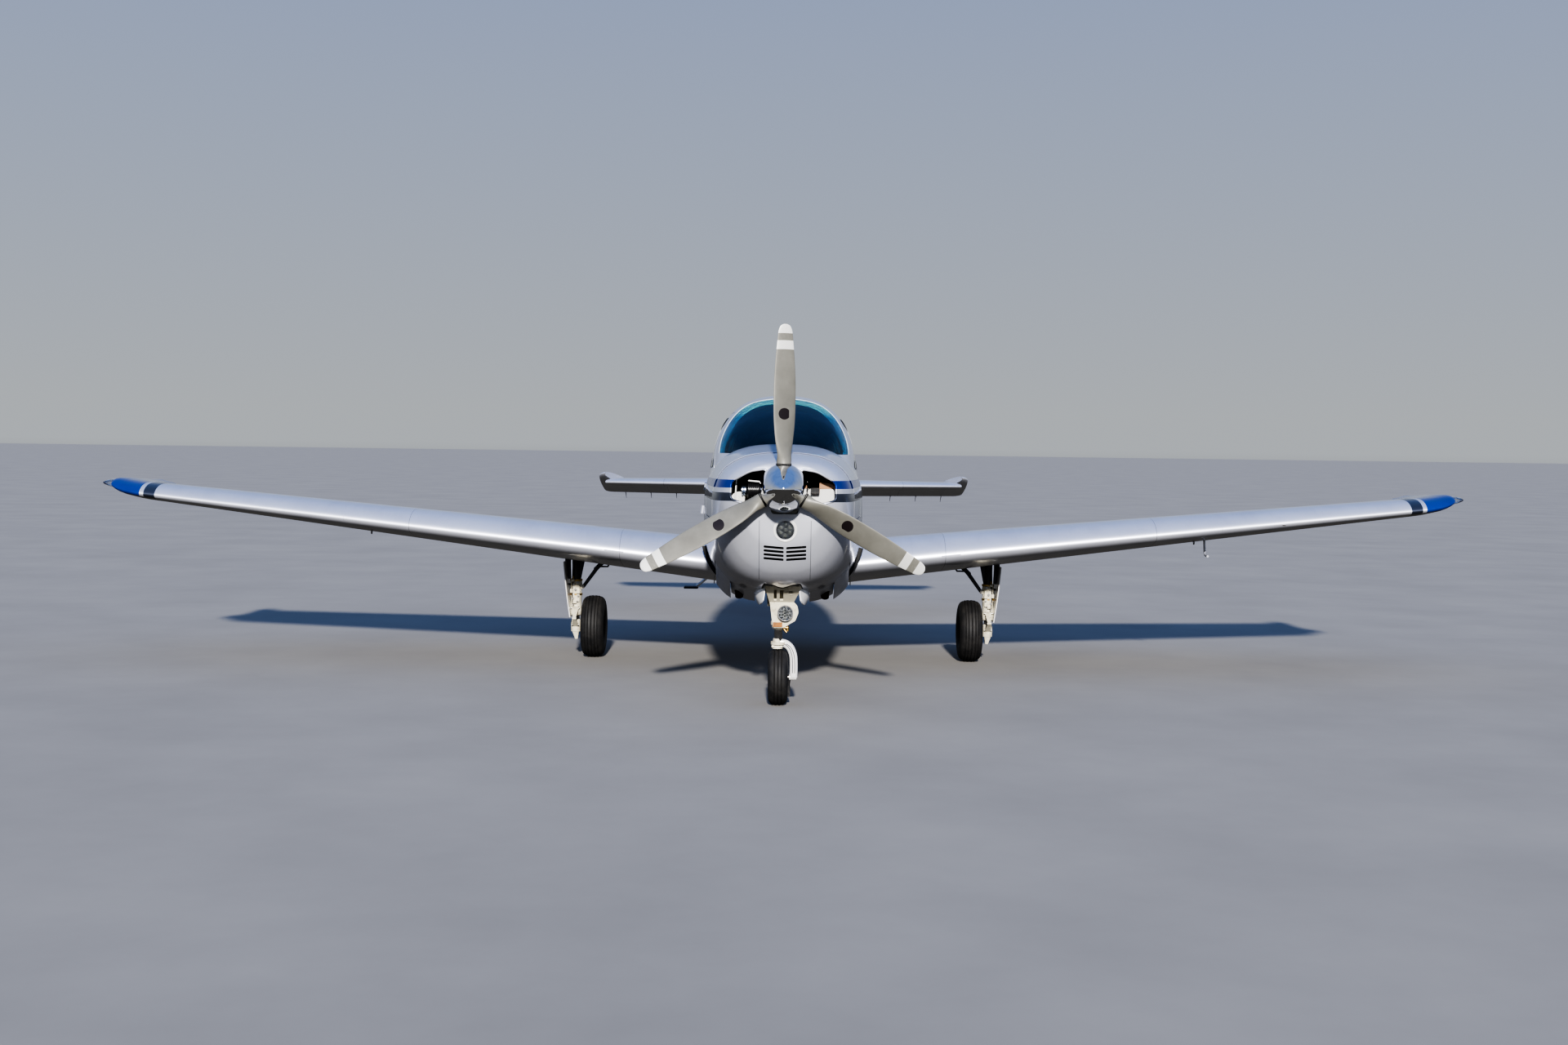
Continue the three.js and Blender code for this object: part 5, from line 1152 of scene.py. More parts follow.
TAIL_ROWS = [(x, 0) for x in steps(40, 1765, 160)]
TAIL_ROWS += [(1785, 4), (1805, 14), (1825, 35), (1840, 62), (1850, 92), (1855, 120)]
tail_block = loft(body_rings(steps(6500, 7780, 80), -1))
halves = []
for name, side in SIDES:
    tail_skin = loft([tail_ring(side, *row) for row in TAIL_ROWS])
    a, b = (np.array([side * x, float(ELEVATOR_S), float(TAIL_Z)]) for x in (183, 1660))
    radii = [nose_radius(tail_edges(x), ELEVATOR_S) for x in (190, 1620)]
    moving, room = split_surface(tail_skin, a, b, radii, (0, 0, 1))
    halves += [moving, common(tail_skin, [horn_block(side, GAP)])]
    piece(f"tailplane_{name}_skin", tail_skin, SURFACE_PAINT, nodes=f"tailplane_{name}", slot="white_paint",
          tools=room + [horn_block(side, 0), plate(0, side * 183, 7440, 8200, 1100, 1500, 1), tail_block])
elevator = merge(halves + [to_mesh("tube", rod(mm([-260, 260], ELEVATOR_S, TAIL_Z), 20, 32))])
turn_mesh(elevator, (0, ELEVATOR_S, TAIL_Z), -DROOP)
piece("elevator_skin", elevator, SURFACE_PAINT, "elevator", "elevator", "white_paint")

# %% [markdown]
# ## Fin and rudder
# The fin stands on the cone with a long dorsal fillet ahead of it. The rudder's horn tops it out.

# %% Fin and rudder
def fin_finish():
    f = pearl("fin_paint")
    f.base = f.mix(f.z > 2.36, f.mix(f.z.between(2.27, 2.33), f.base, SLATE), ROYAL)
    return painted(f, None, rivets(f.z.spaced(0.29), f.y))


def fin_horn(gap):
    return plate(-200, 200, 7000, 8500, 2400 + gap, 2670, 1)


FIN_PAINT = fin_finish()
FIN_ROWS = [(z, 0) for z in steps(1150, 2560, 110)] + [(2575, 6), (2590, 14), (2605, 30), (2614, 52), (2620, 90)]
DORSAL = [(5880, 1540), (5960, 1640), (6940, 1800), (7150, 1500)]
fin_skin = loft([fin_ring(*row) for row in FIN_ROWS])
a, b = (np.array([0, float(RUDDER_S), z]) for z in (float(RUDDER_FOOT), 2440.0))
rudder, room = split_surface(fin_skin, a, b, [nose_radius(fin_edges(z), RUDDER_S) for z in (1150, 2400)], (1, 0, 0))
piece("rudder_skin", merge([rudder, common(fin_skin, [fin_horn(GAP)])]), FIN_PAINT, "rudder", "rudder", "white_paint")
fin = cut(to_mesh("fin", fin_skin), [slab(DORSAL, 60, 8, -17, 17, "x")], "UNION")
piece("fin_skin", fin, FIN_PAINT, nodes="fin", slot="white_paint",
      tools=room + [fin_horn(0), loft(body_rings(steps(5700, 7780, 60), -1)),
                    plate(-200, 200, 7680, 8500, 1000, 1440, 1)])
print("tail height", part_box("fin")[1].z)

# %% [markdown]
# ## Propeller
# Three metal blades, warm grey, with white bands near the tips so that the turning disc can be seen. A blade is
# flat behind and curved in front, and twists from a steep pitch at its root to a fine one at its tip. Each ring
# is an ellipse whose rear half is flattened, turned by the pitch. The plain dark disc is a small painted mark.

# %% Blades
BLADE = table("station chord thick pitch", [
    [60.3, 90, 90, 0], [130, 90, 88, 0], [152, 92, 84, 14], [205, 112, 62, 46], [300, 142, 34, 40], [440, 155, 24, 33],
    [600, 148, 18, 27], [760, 128, 13, 22.5], [880, 104, 10, 20], [940, 90, 8, 18.5], [970, 72, 7, 18],
    [983, 52, 6, 18], [990, 22, 4, 18]])
BLADE_TURNS = [math.radians(a) for a in (0, 120, -120)]
BLADE_S, DECAL_AT, DECAL_RADIUS = 330, 0.45, 0.035
HUB = np.array([0, float(BLADE_S), float(SHAFT_Z)])


def about_shaft(points, turn):
    """x' = x cos t + z sin t, z' = z cos t - x sin t, about the shaft."""
    x, y, z = np.moveaxis(points - HUB, -1, 0)
    return mm(x * math.cos(turn) + z * math.sin(turn), y, z * math.cos(turn) - x * math.sin(turn)) + HUB


def blade_rings():
    radius = 60.3 + 929.7 * (1 - (1 - np.linspace(0, 1, 80)) ** 1.6)
    chord, thick, pitch = (values[:, None] for values in columns(BLADE, "chord thick pitch", radius))
    a = circle(40)[None, :]
    flat = np.where(np.sin(a) > 0, 1, 1 - 0.65 * np.clip(pitch / 40, 0, 1))
    u, v = -np.cos(a) * chord / 2, -np.sin(a) * flat * thick / 2
    turn = np.radians(pitch)
    return mm(u * np.cos(turn) - v * np.sin(turn), u * np.sin(turn) + v * np.cos(turn), radius[:, None]) + HUB


def blade_finish():
    f = Finish("blade_grey", (0.24, 0.235, 0.205), 0.42, 0.1, Coat_Weight=0.15, Coat_Roughness=0.3)
    far, edge = distance(f.x, f.z - SHAFT_Z / 1000), f.noise(90, 4, 0.7)
    grey = f.mix(f.noise(8, 4).ramp(0.35, 0.7), (0.24, 0.235, 0.205), (0.19, 0.185, 0.16))
    grey = f.mix((edge * far).ramp(0.50, 0.62) * 0.4, grey, (0.36, 0.35, 0.32))
    colour = f.mix(far.between(0.839, 0.892).most(far > 0.936), grey, (0.80, 0.80, 0.77))
    discs = [distance(f.x - DECAL_AT * math.sin(turn), f.z - (SHAFT_Z / 1000 + DECAL_AT * math.cos(turn)))
             < DECAL_RADIUS for turn in BLADE_TURNS]
    colour = f.mix(either(discs) * (f.y < station(BLADE_S + 5)), colour, (0.02, 0.014, 0.016))
    return f.done(colour, edge * 0.25 + 0.32, f.noise(300, 2), 0.0003, 0.4)


BLADE_GREY = blade_finish()
for i, turn in enumerate(BLADE_TURNS):
    piece(f"propeller_blade_{i + 1}", loft(about_shaft(blade_rings(), turn)), BLADE_GREY, "propeller",
          f"blade_{i + 1}", "blade_paint", sharp=60)

# %% [markdown]
# The spinner is polished: a smooth curve through the rows is spun, and round holes let the shanks out. A rubber
# ring closes each hole, and twelve small screws stand round the rim.

# %% Spinner
SPINNER = [(0, 0), (9, 1.1), (18, 4.2), (28, 10), (42, 22), (58, 40), (75, 70), (92, 105), (108, 147), (122, 190),
           (134, 240), (143, 290), (149, 338), (150, 370), (150, 390)]


def spinner_finish():
    f = Finish("spinner_polish", (0.82, 0.83, 0.86), 0.04, 1.0)
    seam = gap_lines(f.y, [station(362)], 0.0016)
    polish = f.mix(f.noise(24, 4).ramp(0.45, 0.8), (0.84, 0.85, 0.88), (0.70, 0.71, 0.74))
    return f.done(f.mix(seam, polish, (0.1, 0.1, 0.1)), f.noise(60, 4).ramp(0.3, 0.9) * 0.06 + 0.03,
                  f.noise(7, 2) - seam * 0.4, 0.0003, 0.6)


profile = np.vstack([through(SPINNER, 90)[1:], [(120, 390), (118, 386), (0.01, 386)]])
sockets = [rod(about_shaft(np.array([HUB + (0, 0, 58), HUB + (0, 0, 200)]), turn), 47.5, 48) for turn in BLADE_TURNS]
piece("spinner_shell", turned(profile, (0, 0, SHAFT_Z), sides=144), spinner_finish(), "propeller", "spinner",
      "polished_spinner", tools=sockets)
t = circle(40)
boot = mm(45.5 * np.cos(t), BLADE_S + 44.5 * np.sin(t), SHAFT_Z + 146)
piece("shank_boots", [closed_rod(about_shaft(boot, turn), 3.2) for turn in BLADE_TURNS], SEAL, "propeller")
SCREW = [(4.5, 0), (4.5, 1.6), (3, 2.4), (0.01, 2.4)]
screws = [turned(SCREW, (150 * math.sin(t), 376, SHAFT_Z + 150 * math.cos(t)), (math.sin(t), 0, math.cos(t)), 12)
          for t in np.arange(12) * math.pi / 6 + 0.26]
piece("spinner_screws", screws, STEEL, "propeller")

# %% [markdown]
# ## Wheels
# A tyre is a profile spun about its axle, from bead to bead. Grooves run round the tread: each takes a few
# millimetres off the radius where the distance across the tread is close to the groove's.

# %% Tyres and hubs
MAIN_X, MAIN_S, MAIN_Z = 1460, 3285, 238
NOSE_X, NOSE_S, NOSE_Z = -20, 890, 177.5
TYRE_ROWS = [(0, 0.66), (0.12, 0.84), (0.42, 1), (0.62, 0.985), (0.78, 0.92), (0.88, 0.8), (0.95, 0.6), (0.985, 0.42),
             (1, 0.22), (1, 0)]


def tyre_shape(x, s, radius, half, bead, grooves):
    curve = through(TYRE_ROWS, 66)
    r, w = bead + curve[:, 0] * (radius - bead), curve[:, 1] * half
    for groove in grooves:
        r = r - 7 * np.clip(1.6 - np.abs(w - groove * half) / 2.6, 0, 1) * (curve[:, 0] > 0.9)
    for ridge in (0.3, 0.55):
        w = w + 1.2 * np.exp(-((curve[:, 0] - ridge) / 0.02) ** 2)
    w = np.minimum(w, half)
    profile = np.concatenate([np.stack([r, -w], 1), np.stack([r, w], 1)[::-1][1:]])
    return turned(profile, (x, s, radius), (1, 0, 0), 96, closed=True)


def hub_shape(x, s, radius, half, bead):
    """A dished disc between two rim flanges, with a thicker boss round the axle."""
    rim = bead - 0.4
    rows = [(16.4, 0.58), (30, 0.58), (34, 0.42), (rim * 0.62, 0.3), (rim * 0.8, 0.34), (rim * 0.9, 0.6), (rim, 0.66)]
    rows = [(r, -w) for r, w in rows] + rows[::-1]
    return turned([(r, w * half) for r, w in rows], (x, s, radius), (1, 0, 0), 72, closed=True)


def wheel_rods(x0, x1, s, z, ring, count, radius, sides):
    """Rods across a wheel, spaced evenly on a circle: bolt heads have six sides, holes have more."""
    return [rod([(x, s + ring * math.sin(t), z + ring * math.cos(t)) for x in (x0, x1)], radius, sides)
            for t in circle(count)]


for name, side in SIDES:
    spot, x, body = (side * MAIN_X, MAIN_S, MAIN_Z, 88, 86), side * MAIN_X, f"main_wheel_{name}"
    piece(f"tyre_{name}", tyre_shape(*spot, (0.0, 0.3, 0.55)), TYRE, body, f"main_tyre_{name}", "tyre_rubber", 40)
    piece(f"hub_{name}", hub_shape(*spot), ALLOY, body, f"main_hub_{name}", "wheel_alloy",
          tools=wheel_rods(x - 80, x + 80, MAIN_S, MAIN_Z, 56, 6, 9, 24))
    disc = [(22, side * 51), (84, side * 51), (84, side * 59), (22, side * 59)]
    piece(f"brake_disc_{name}", turned(disc, spot[:3], (1, 0, 0), 96, closed=True), STEEL, body)
    cap = turned([(29, -51), (29, -56), (22, -62), (0.01, -63)], spot[:3], (side, 0, 0), 48)
    bolts = wheel_rods(x - side * 28, x - side * 35, MAIN_S, MAIN_Z, 42, 6, 6, 6)
    piece(f"wheel_cap_{name}", [cap] + bolts, ALLOY, body)
spot = (NOSE_X, NOSE_S, NOSE_Z, 63, 68)
piece("tyre_nose", tyre_shape(*spot, (0.0, 0.36)), TYRE, "nose_wheel", "nose_tyre", "tyre_rubber", 40)
piece("hub_nose", hub_shape(*spot), ALLOY, "nose_wheel", "nose_hub", "wheel_alloy")
bolts = [wheel_rods(NOSE_X + way * 26, NOSE_X + way * 32, NOSE_S, NOSE_Z, 40, 6, 5, 6) for way in (-1, 1)]
piece("hub_nose_bolts", bolts[0] + bolts[1], STEEL, "nose_wheel")

# %% [markdown]
# ## Main landing gear
# Each leg hangs from a trunnion in the wing: an upper casting, a cream housing and a chrome piston that
# slides in it. Two torque links keep the wheel straight, a jointed brace holds the leg down, a hose feeds the
# brake, and a thin door stands outboard. The upper casting, the brace and the door's stays are dark grey:
# this is painted shade, standing for the wing's shadow over them. Flat links are a squarish ring carried along a line.
# Places on a leg are given by at(outboard, aft, height), from the leg's own line.

# %% Links and housings
ACROSS, AFT, UP, DOWN = (1, 0, 0), (0, 1, 0), (0, 0, 1), (0, 0, -1)
LEG_X = 1600


def link(path, wides, deeps, wide_axis=ACROSS, n=5, count=24):
    """A superellipse ring along a path: centre + wide . sgn |cos|^(2/n) + deep . sgn |sin|^(2/n)."""
    path = np.asarray(path, float)
    along = unit(np.gradient(path, axis=0))
    wide_axis = unit(np.asarray(wide_axis, float) - along * (along @ np.asarray(wide_axis, float))[:, None])
    deep_axis = np.cross(along, wide_axis)
    a = circle(count)[None, :, None]
    w, d = (np.broadcast_to(v, len(path))[:, None, None] for v in (wides, deeps))
    return loft(path[:, None] + w * power(np.cos(a), n) * wide_axis[:, None]
                + d * power(np.sin(a), n) * deep_axis[:, None])


def sleeve(origin, inner, outer, half, sides=48):
    """An upright ring with a square section."""
    return turned([(inner, -half), (outer, -half), (outer, half), (inner, half)], origin, UP, sides, closed=True)


HOUSING = [(30, 250), (44, 262), (46, 285), (42, 292), (42, 352), (45, 358), (45, 382), (41, 390), (41, 470),
           (46, 478), (48, 500), (46, 522), (38, 528), (30, 530)]
for name, side in SIDES:
    S = MAIN_S
    at = lambda dx, ds, z: (side * (LEG_X + dx), S + ds, z)
    upper = [rod([at(0, -129.7, 872), at(0, 129.7, 872)], 32, 32),
             turned([(40, 0), (40, 30), (34, 60), (31, 180), (34, 280), (34, 300)], at(0, 0, 880), DOWN, 40),
             link([at(0, -30, 860), at(0, -34, 720), at(0, -40, 600)], (8, 7, 6), (16, 12, 9)),
             link([at(0, 34, 850), at(0, 36, 720), at(0, 38, 600)], (8, 7, 6), (14, 11, 9)),
             link([at(64, 0, 862), at(66, 0, 720), at(50, -8, 604)], (22, 22, 12), (14, 14, 10)),
             link([at(-44, 6, 862), at(-42, 4, 740), at(-24, 0, 604)], (24, 20, 12), (20, 18, 12))]
    lugs = [turned(HOUSING, at(0, 0, 850), DOWN, 48),
            link([at(-30, 0, 540), at(-62, 0, 548)], (22, 15), (20, 14), AFT),
            link([at(0, -30, 384), at(0, -48, 378)], (26, 22), (14, 12)),
            link([at(0, 30, 470), at(0, 54, 474)], (16, 12), (12, 9)),
            plate(side * 1570, side * 1630, S - 47, S - 36, 430, 556, 5)]
    foot = [turned([(20, -46), (38, -42), (40, 0), (38, 42), (30, 52), (0.01, 53)], at(0, 0, MAIN_Z), UP, 40),
            link([at(0, -28, 262), at(0, -50, 248)], (22, 18), (13, 11)),
            link([at(0, -6, 238), at(0, -10, 190), at(-6, -10, 138)], (33, 25, 11), (28, 22, 10))]
    torque = [link([at(0, -46, 378), at(0, -84, 346), at(0, -122, 306)], (27, 20, 11), (7, 6, 6)),
              link([at(0, -122, 306), at(0, -86, 276), at(0, -46, 248)], (11, 17, 24), (6, 6, 7)),
              rod([at(-16, -122, 306), at(16, -122, 306)], 9)]
    pins = [rod([at(-34, -46, 379), at(34, -46, 379)], 7), rod([at(-30, -46, 248), at(30, -46, 248)], 7),
            rod([at(-56, -26, 546), at(-56, 26, 546)], 8), rod([at(-20, 0, MAIN_Z), (side * 1514, S, MAIN_Z)], 16, 32),
            turned([(44, 0), (44, 9), (24, 14), (17, 14)], (side * 1545, S, MAIN_Z), (side, 0, 0), 40)]
    caliper = [plate(side * 1502, side * 1534, S + 40, S + 96, 250, 312, 8),
               plate(side * 1522, side * 1552, S + 20, S + 70, 222, 262, 6)]
    hose = bend([at(-20, 40, 600), at(-28, 60, 540), at(-10, 70, 460), at(6, 96, 390), at(-14, 84, 320),
                 at(-66, 68, 300)], 60, 8)
    line = bend([at(20, -40, 620), at(24, -52, 560), at(26, -50, 470), at(20, -44, 400)], 40)
    hoses = [rod(hose, 6.5, 14), rod(line, 4, 12)]
    clamps = [sleeve(at(0, 0, z), 40, 48, 7, 40) for z in (596, 486)]
    clamps += [rod([at(-20, 40, 612), at(-20, 40, 590)], 10, 6), rod([at(20, -40, 628), at(20, -40, 606)], 8, 6)]
    studs = [rod([at(dx, -34, z), at(dx, -58, z)], r, 8) for dx, z, r in (
        (-18, 578, 9), (12, 562, 7), (0, 524, 10), (-22, 474, 7), (20, 456, 9), (-14, 432, 6), (18, 406, 7))]
    boxes = [plate(at(dx, 0, 0)[0], at(dx + w, 0, 0)[0], S - 66, S - 40, z, z + h, 4)
             for dx, w, z, h in ((-34, 26, 496, 22), (8, 24, 586, 18), (-8, 26, 418, 16), (22, 18, 500, 30))]
    brace = [link([at(-56, 0, 546), (side * 1440, S, 690)], (9, 11), (13, 15), AFT),
             link([(side * 1452, S, 680), (side * 1330, S, 800)], (13, 20), (16, 19), AFT),
             rod([(side * 1446, S - 30, 685), (side * 1446, S + 30, 685)], 17, 24),
             rod([(side * 1436, S + 24, 700), (side * 1360, S + 24, 700), (side * 1310, S + 24, 775)], 7, 12)]
    t = np.linspace(0, 1, 24)
    door = link(mm(side * (1632 + 50 * t + 16 * t * (1 - t)), S + 8, 318 + 427 * t), 150, 4.5, AFT, 12, 40)
    stays = [rod([at(0, 0, z), at(52 + (z - 318) * 0.13, 0, z)], 9) for z in (390, 560)]
    # The upper casting's dark grey is painted shade from the wing above it.
    piece(f"leg_upper_{name}", upper, PAINTED_SHADE_GREY, nodes=f"main_gear_leg_{name}", slot="gear_paint")
    # The side brace and the door's stays take the same dark grey as painted shade.
    for part, shapes, finish, slot in (
            ("leg_housing", lugs + foot, GEAR_CREAM, "gear_paint"), ("leg_links", torque, GEAR_CREAM, "gear_paint"),
            ("leg_piston", rod([at(0, 0, 345), at(0, 0, 262)], 27, 40), CHROME, None), ("leg_pins", pins, STEEL, None),
            ("brake_caliper", caliper, STEEL, None), ("brake_hose", hoses, HOSE, None),
            ("leg_studs", studs, STEEL, None), ("leg_lugs", boxes, GEAR_CREAM, "gear_paint"),
            ("leg_fittings", clamps, BRASS, None), ("side_brace", brace, PAINTED_SHADE_GREY, None),
            ("leg_door", door, FORK_WHITE, "white_paint"), ("door_stays", stays, PAINTED_SHADE_GREY, None)):
        piece(f"{part}_{name}", shapes, finish, slot=slot)
print("main gear made")

# %% [markdown]
# ## Nose landing gear
# The nose leg is one large casting, wide at its trunnion and narrow at its foot, with two slots and a round
# hole. A chrome piston comes out of it, and a bent white arm reaches down on one side to the axle.

# %% Nose leg, fork and lights
CASTING = [(487, -20, 38, 38), (520, -20, 40, 40), (560, -20, 43, 44), (640, -17, 58, 47), (720, -12, 78, 50),
           (790, -6, 98, 52), (840, -3, 106, 51), (860, -2, 108, 50)]
LOWER_FRONT = [(-78, 668), (74, 668), (98, 642), (106, 600), (86, 545), (54, 528), (14, 500), (-56, 500)]
UPPER_FRONT = [(-78, 655), (-110, 848), (128, 848), (70, 655)]
ARM = [(-12, 890, 398), (16, 890, 395), (44, 890, 380), (66, 890, 348), (78, 890, 300), (80, 890, 240), (79, 890, 178)]


def casting_rings(rows):
    """Superellipse sections lying flat: x = middle + half . sgn |cos|^(2/3), station likewise by its depth."""
    z, middle, wide, deep = rows.T[:, :, None]
    a = circle(64)[None, :]
    return mm(middle + wide * power(np.cos(a), 3), NOSE_S + deep * power(np.sin(a), 3), z)


def casting_slots(low, high, hole_x, hole_z, radius):
    slots = [slab([(x0, low), (x1, low), (x1, high), (x0, high)], 6, 5, 780, 880)
             for x0, x1 in ((-52, -34), (-14, 8))]
    return slots + [rod([(hole_x, 780, hole_z), (hole_x, 880, hole_z)], radius, 32)]


piece("nose_casting", loft(casting_rings(through(CASTING, 40))), GEAR_CREAM, nodes="nose_gear_leg", slot="gear_paint",
      tools=casting_slots(676, 762, 52, 734, 14))
piece("casting_front", slab(LOWER_FRONT, 10, 5, 824, 846), GEAR_CREAM, slot="gear_paint")
leaning = piece("casting_upper", slab(UPPER_FRONT, 6, 4, 828, 842), GEAR_CREAM, slot="gear_paint",
                tools=casting_slots(690, 806, 56, 778, 17))
turn_mesh(leaning, (0, 835, 664), math.radians(50))
ribs = [rod([(-195, 890, 899), (175, 890, 899)], 28.5, 40),
        turned([(46, 0), (50, 6), (50, 26), (44, 34), (44, 44), (40, 50), (30, 54)], (NOSE_X, NOSE_S, 541), DOWN, 48)]
drag = [link([(NOSE_X + side * 60, 910, 640), (NOSE_X + side * 85, 1220, 905)], (12, 14), (14, 16))
        for _, side in SIDES]
piece("nose_trunnion", ribs + drag, GEAR_CREAM, slot="gear_paint")
piece("nose_piston", rod([(NOSE_X, NOSE_S, 500), (NOSE_X, NOSE_S, 410)], 25.8, 48), CHROME, "nose_fork")
arm = through(ARM, 40)
# Two dark rods down the fork arm's front stand for its grooves: painted shade.
piece("fork_groove_shade", [rod(arm[8:-3] + (off, -24, 0), 2.4, 10) for off in (-7.0, 7.0)], PAINTED_SHADE_GREY, "nose_fork")
piece("fork_arm", [link(arm, 24, 26, AFT, 2.6, 32), rod([(98, NOSE_S, NOSE_Z), (52, NOSE_S, NOSE_Z)], 18, 40)],
      FORK_WHITE, "nose_fork", "nose_fork", "white_paint")
piece("nose_axle", [rod([(98, NOSE_S, NOSE_Z), (-62, NOSE_S, NOSE_Z)], 16, 32),
                    turned([(20, 0), (20, 8), (12, 12), (0.01, 12)], (-60, NOSE_S, NOSE_Z), (-1, 0, 0), 6)],
      STEEL, "nose_fork")
piece("fork_collar", [sleeve((NOSE_X, NOSE_S, 397), 43, 49, 9), rod([(-62, 866, 376), (6, 866, 376)], 9, 16),
                      rod([(-26, 890, 426), (-26, 890, 362)], (27, 35), 48)], GEAR_CREAM, "nose_fork")
piece("steering_link", [rod([(-2, 846, 512), (32, 838, 470)], 7, 14), rod([(10, 842, 500), (40, 842, 500)], 9, 14),
                        rod([(38, 842, 512), (38, 842, 478)], 8, 14), rod([(26, 842, 545), (26, 842, 500)], 4, 12)],
      BRASS)
piece("amber_reflector", plate(-56, 4, 817, 826, 506, 536), AMBER)
print("nose gear made")

# %% [markdown]
# ## Lamps
# A lamp is a dish with a cluster of small domed lights behind clear glass. A wide white ring frames the landing
# light: it is a rod laid on the bowl round the opening, at the station where the bowl passes each of its points.

# %% Landing light and taxi light
def led_finish(name, colour, glow):
    f = Finish(name, colour, 0.15, 0.3, Emission_Color=(*colour, 1.0), Emission_Strength=glow)
    return f.done(f.mix(f.noise(300, 2).ramp(0.4, 0.7), colour, (0.34, 0.34, 0.32)))


LED = led_finish("led_white", (0.2, 0.21, 0.21), 0.02)


def lamp_unit(name, x, z, radius, front, depth, rings, finish):
    """A dish turned about the station axis, its lights on circles, and a domed glass in front."""
    spun = lambda rows, **more: turned([(radius * r, d) for r, d in rows], (x, front, z), **more)
    dish = spun([(0.9, 6), (1, 6), (1, depth), (0.5, depth), (0.5, depth - 4), (0.8, depth * 0.6)],
                sides=64, closed=True)
    seat = depth * 0.55
    back = spun([(0.86, seat), (0.55, seat + 3), (0.01 / radius, seat + 3)])
    leds = [turned([(size, 0), (size, -3), (size * 0.8, -7), (size * 0.45, -10), (0.01, -11)],
                   (x + r * math.sin(t), front + seat, z + r * math.cos(t)), sides=20)
            for r, count, size in rings for t in circle(count)]
    glass = [(0.01 / radius, 0.4), (0.5, 1.2), (0.8, 3), (0.97, 6), (0.97, 9), (0.01 / radius, 5)]
    piece(f"{name}_dish", [dish, back], finish, slot="lamp_glass")
    piece(f"{name}_leds", leds, LED)
    piece(f"{name}_glass", spun(glass, sides=64), LENS_GLASS, nodes=name, slot="lamp_glass")


lamp_unit("landing_light", MID, LAMP_Z, 56, 404, 44, ((0, 1, 12), (32, 6, 12)), DISH)
lamp_unit("taxi_light", 22, 596, 46, 795, 28, ((0, 1, 8), (18, 6, 8), (34, 10, 7)), BRIGHT_DISH)
bezel = []
for r, deep, thick in ((67, 3, 8), (61, 1, 5)):
    x, z = MID + r * np.cos(circle(72)), LAMP_Z + r * np.sin(circle(72))
    bezel.append(closed_rod(mm(x, bowl_station(x, z) + deep, z), thick))
piece("landing_light_bezel", bezel, FORK_WHITE)
rim = turned([(46.5, -2), (51, -2), (51, 26), (46.5, 26)], (22, 797, 596), sides=64, closed=True)
mount = link([(22, 820, 600), (14, 846, 620), (0, 852, 668)], (22, 20, 16), (6, 8, 8))
piece("taxi_light_mount", [rim, mount, plate(-12, 44, 822, 838, 544, 556)], STEEL)

# %% [markdown]
# ## Nose bay doors, cowl flaps, seals and the wing roots' dark strips
# The nose wheel's two doors stay open beside its leg, bulged like petals and drawn in at both ends. Behind them
# two hinged flaps on each side hang open to let the cooling air out. A rubber strip closes the joint behind the
# chin. Two more dark strips stand where the wings' noses meet the body: a flange at the root fairing's edge,
# whose black is painted shade.

# %% Petal doors, flaps, strips
FLAP_HINGE_S, EXHAUST_X = 1160, 285
PETAL_ROWS = np.concatenate([[720, 724, 732, 745, 765, 800, 840], steps(880, 1390, 60),
                             [1425, 1445, 1458, 1466, 1470]])
BAY_EDGE = [(-128, 800), (-120, 660), (-104, 598), (-60, 612), (0, 686), (60, 612), (104, 598), (120, 660), (128, 800)]


def petal_ring(side, s):
    """x = 127 + 22 t + 34 sin(pi t), z = 781 - 140 t; the lower end is drawn up near both ends of the door, and
    the front 200 mm curl in towards the leg."""
    t = np.linspace(0, 1, 20) * (1 - 0.22 * math.exp(-(s - 720) / 25) - 0.4 * math.exp(-(1470 - s) / 25))
    curl = max(0, (930 - s) / 210)
    x = 127 + 22 * t + 34 * np.sin(np.pi * t) - curl ** 2 * (15 + 9 * t + 40 * np.sin(np.pi * t))
    z = 781 - 140 * t + 12 * curl
    return mm(side * np.concatenate([x + 4, x[::-1] - 4]), s, np.concatenate([z, z[::-1]]))


def cowl_flap(name, side, start, x0, x1, hinge_z, drop):
    """A part of the cowl's sheet between two distances out, turned down by a drop over 260 mm."""
    shell, zones = skin(steps(start, 1408, 20), COWL_WALL)
    flap = piece(name, shell, [PLAIN_WHITE, PRIMER], zones=zones,
                 keep=[plate(side * x0, side * x1, 1100, 1450, 500, 960, 1)])
    turn_mesh(flap, (0, FLAP_HINGE_S, hinge_z), -math.asin(drop / 260))
    return flap


def belly(x, s):
    """The hull's lowest height at a distance out: widest - rise (1 - (|x| / half)^n)^(1 / n)."""
    bottom, widest, half, low = columns(HULL, "bottom widest half low", s)
    return widest - (widest - bottom) * (1 - (np.abs(x) / half) ** low) ** (1 / low)


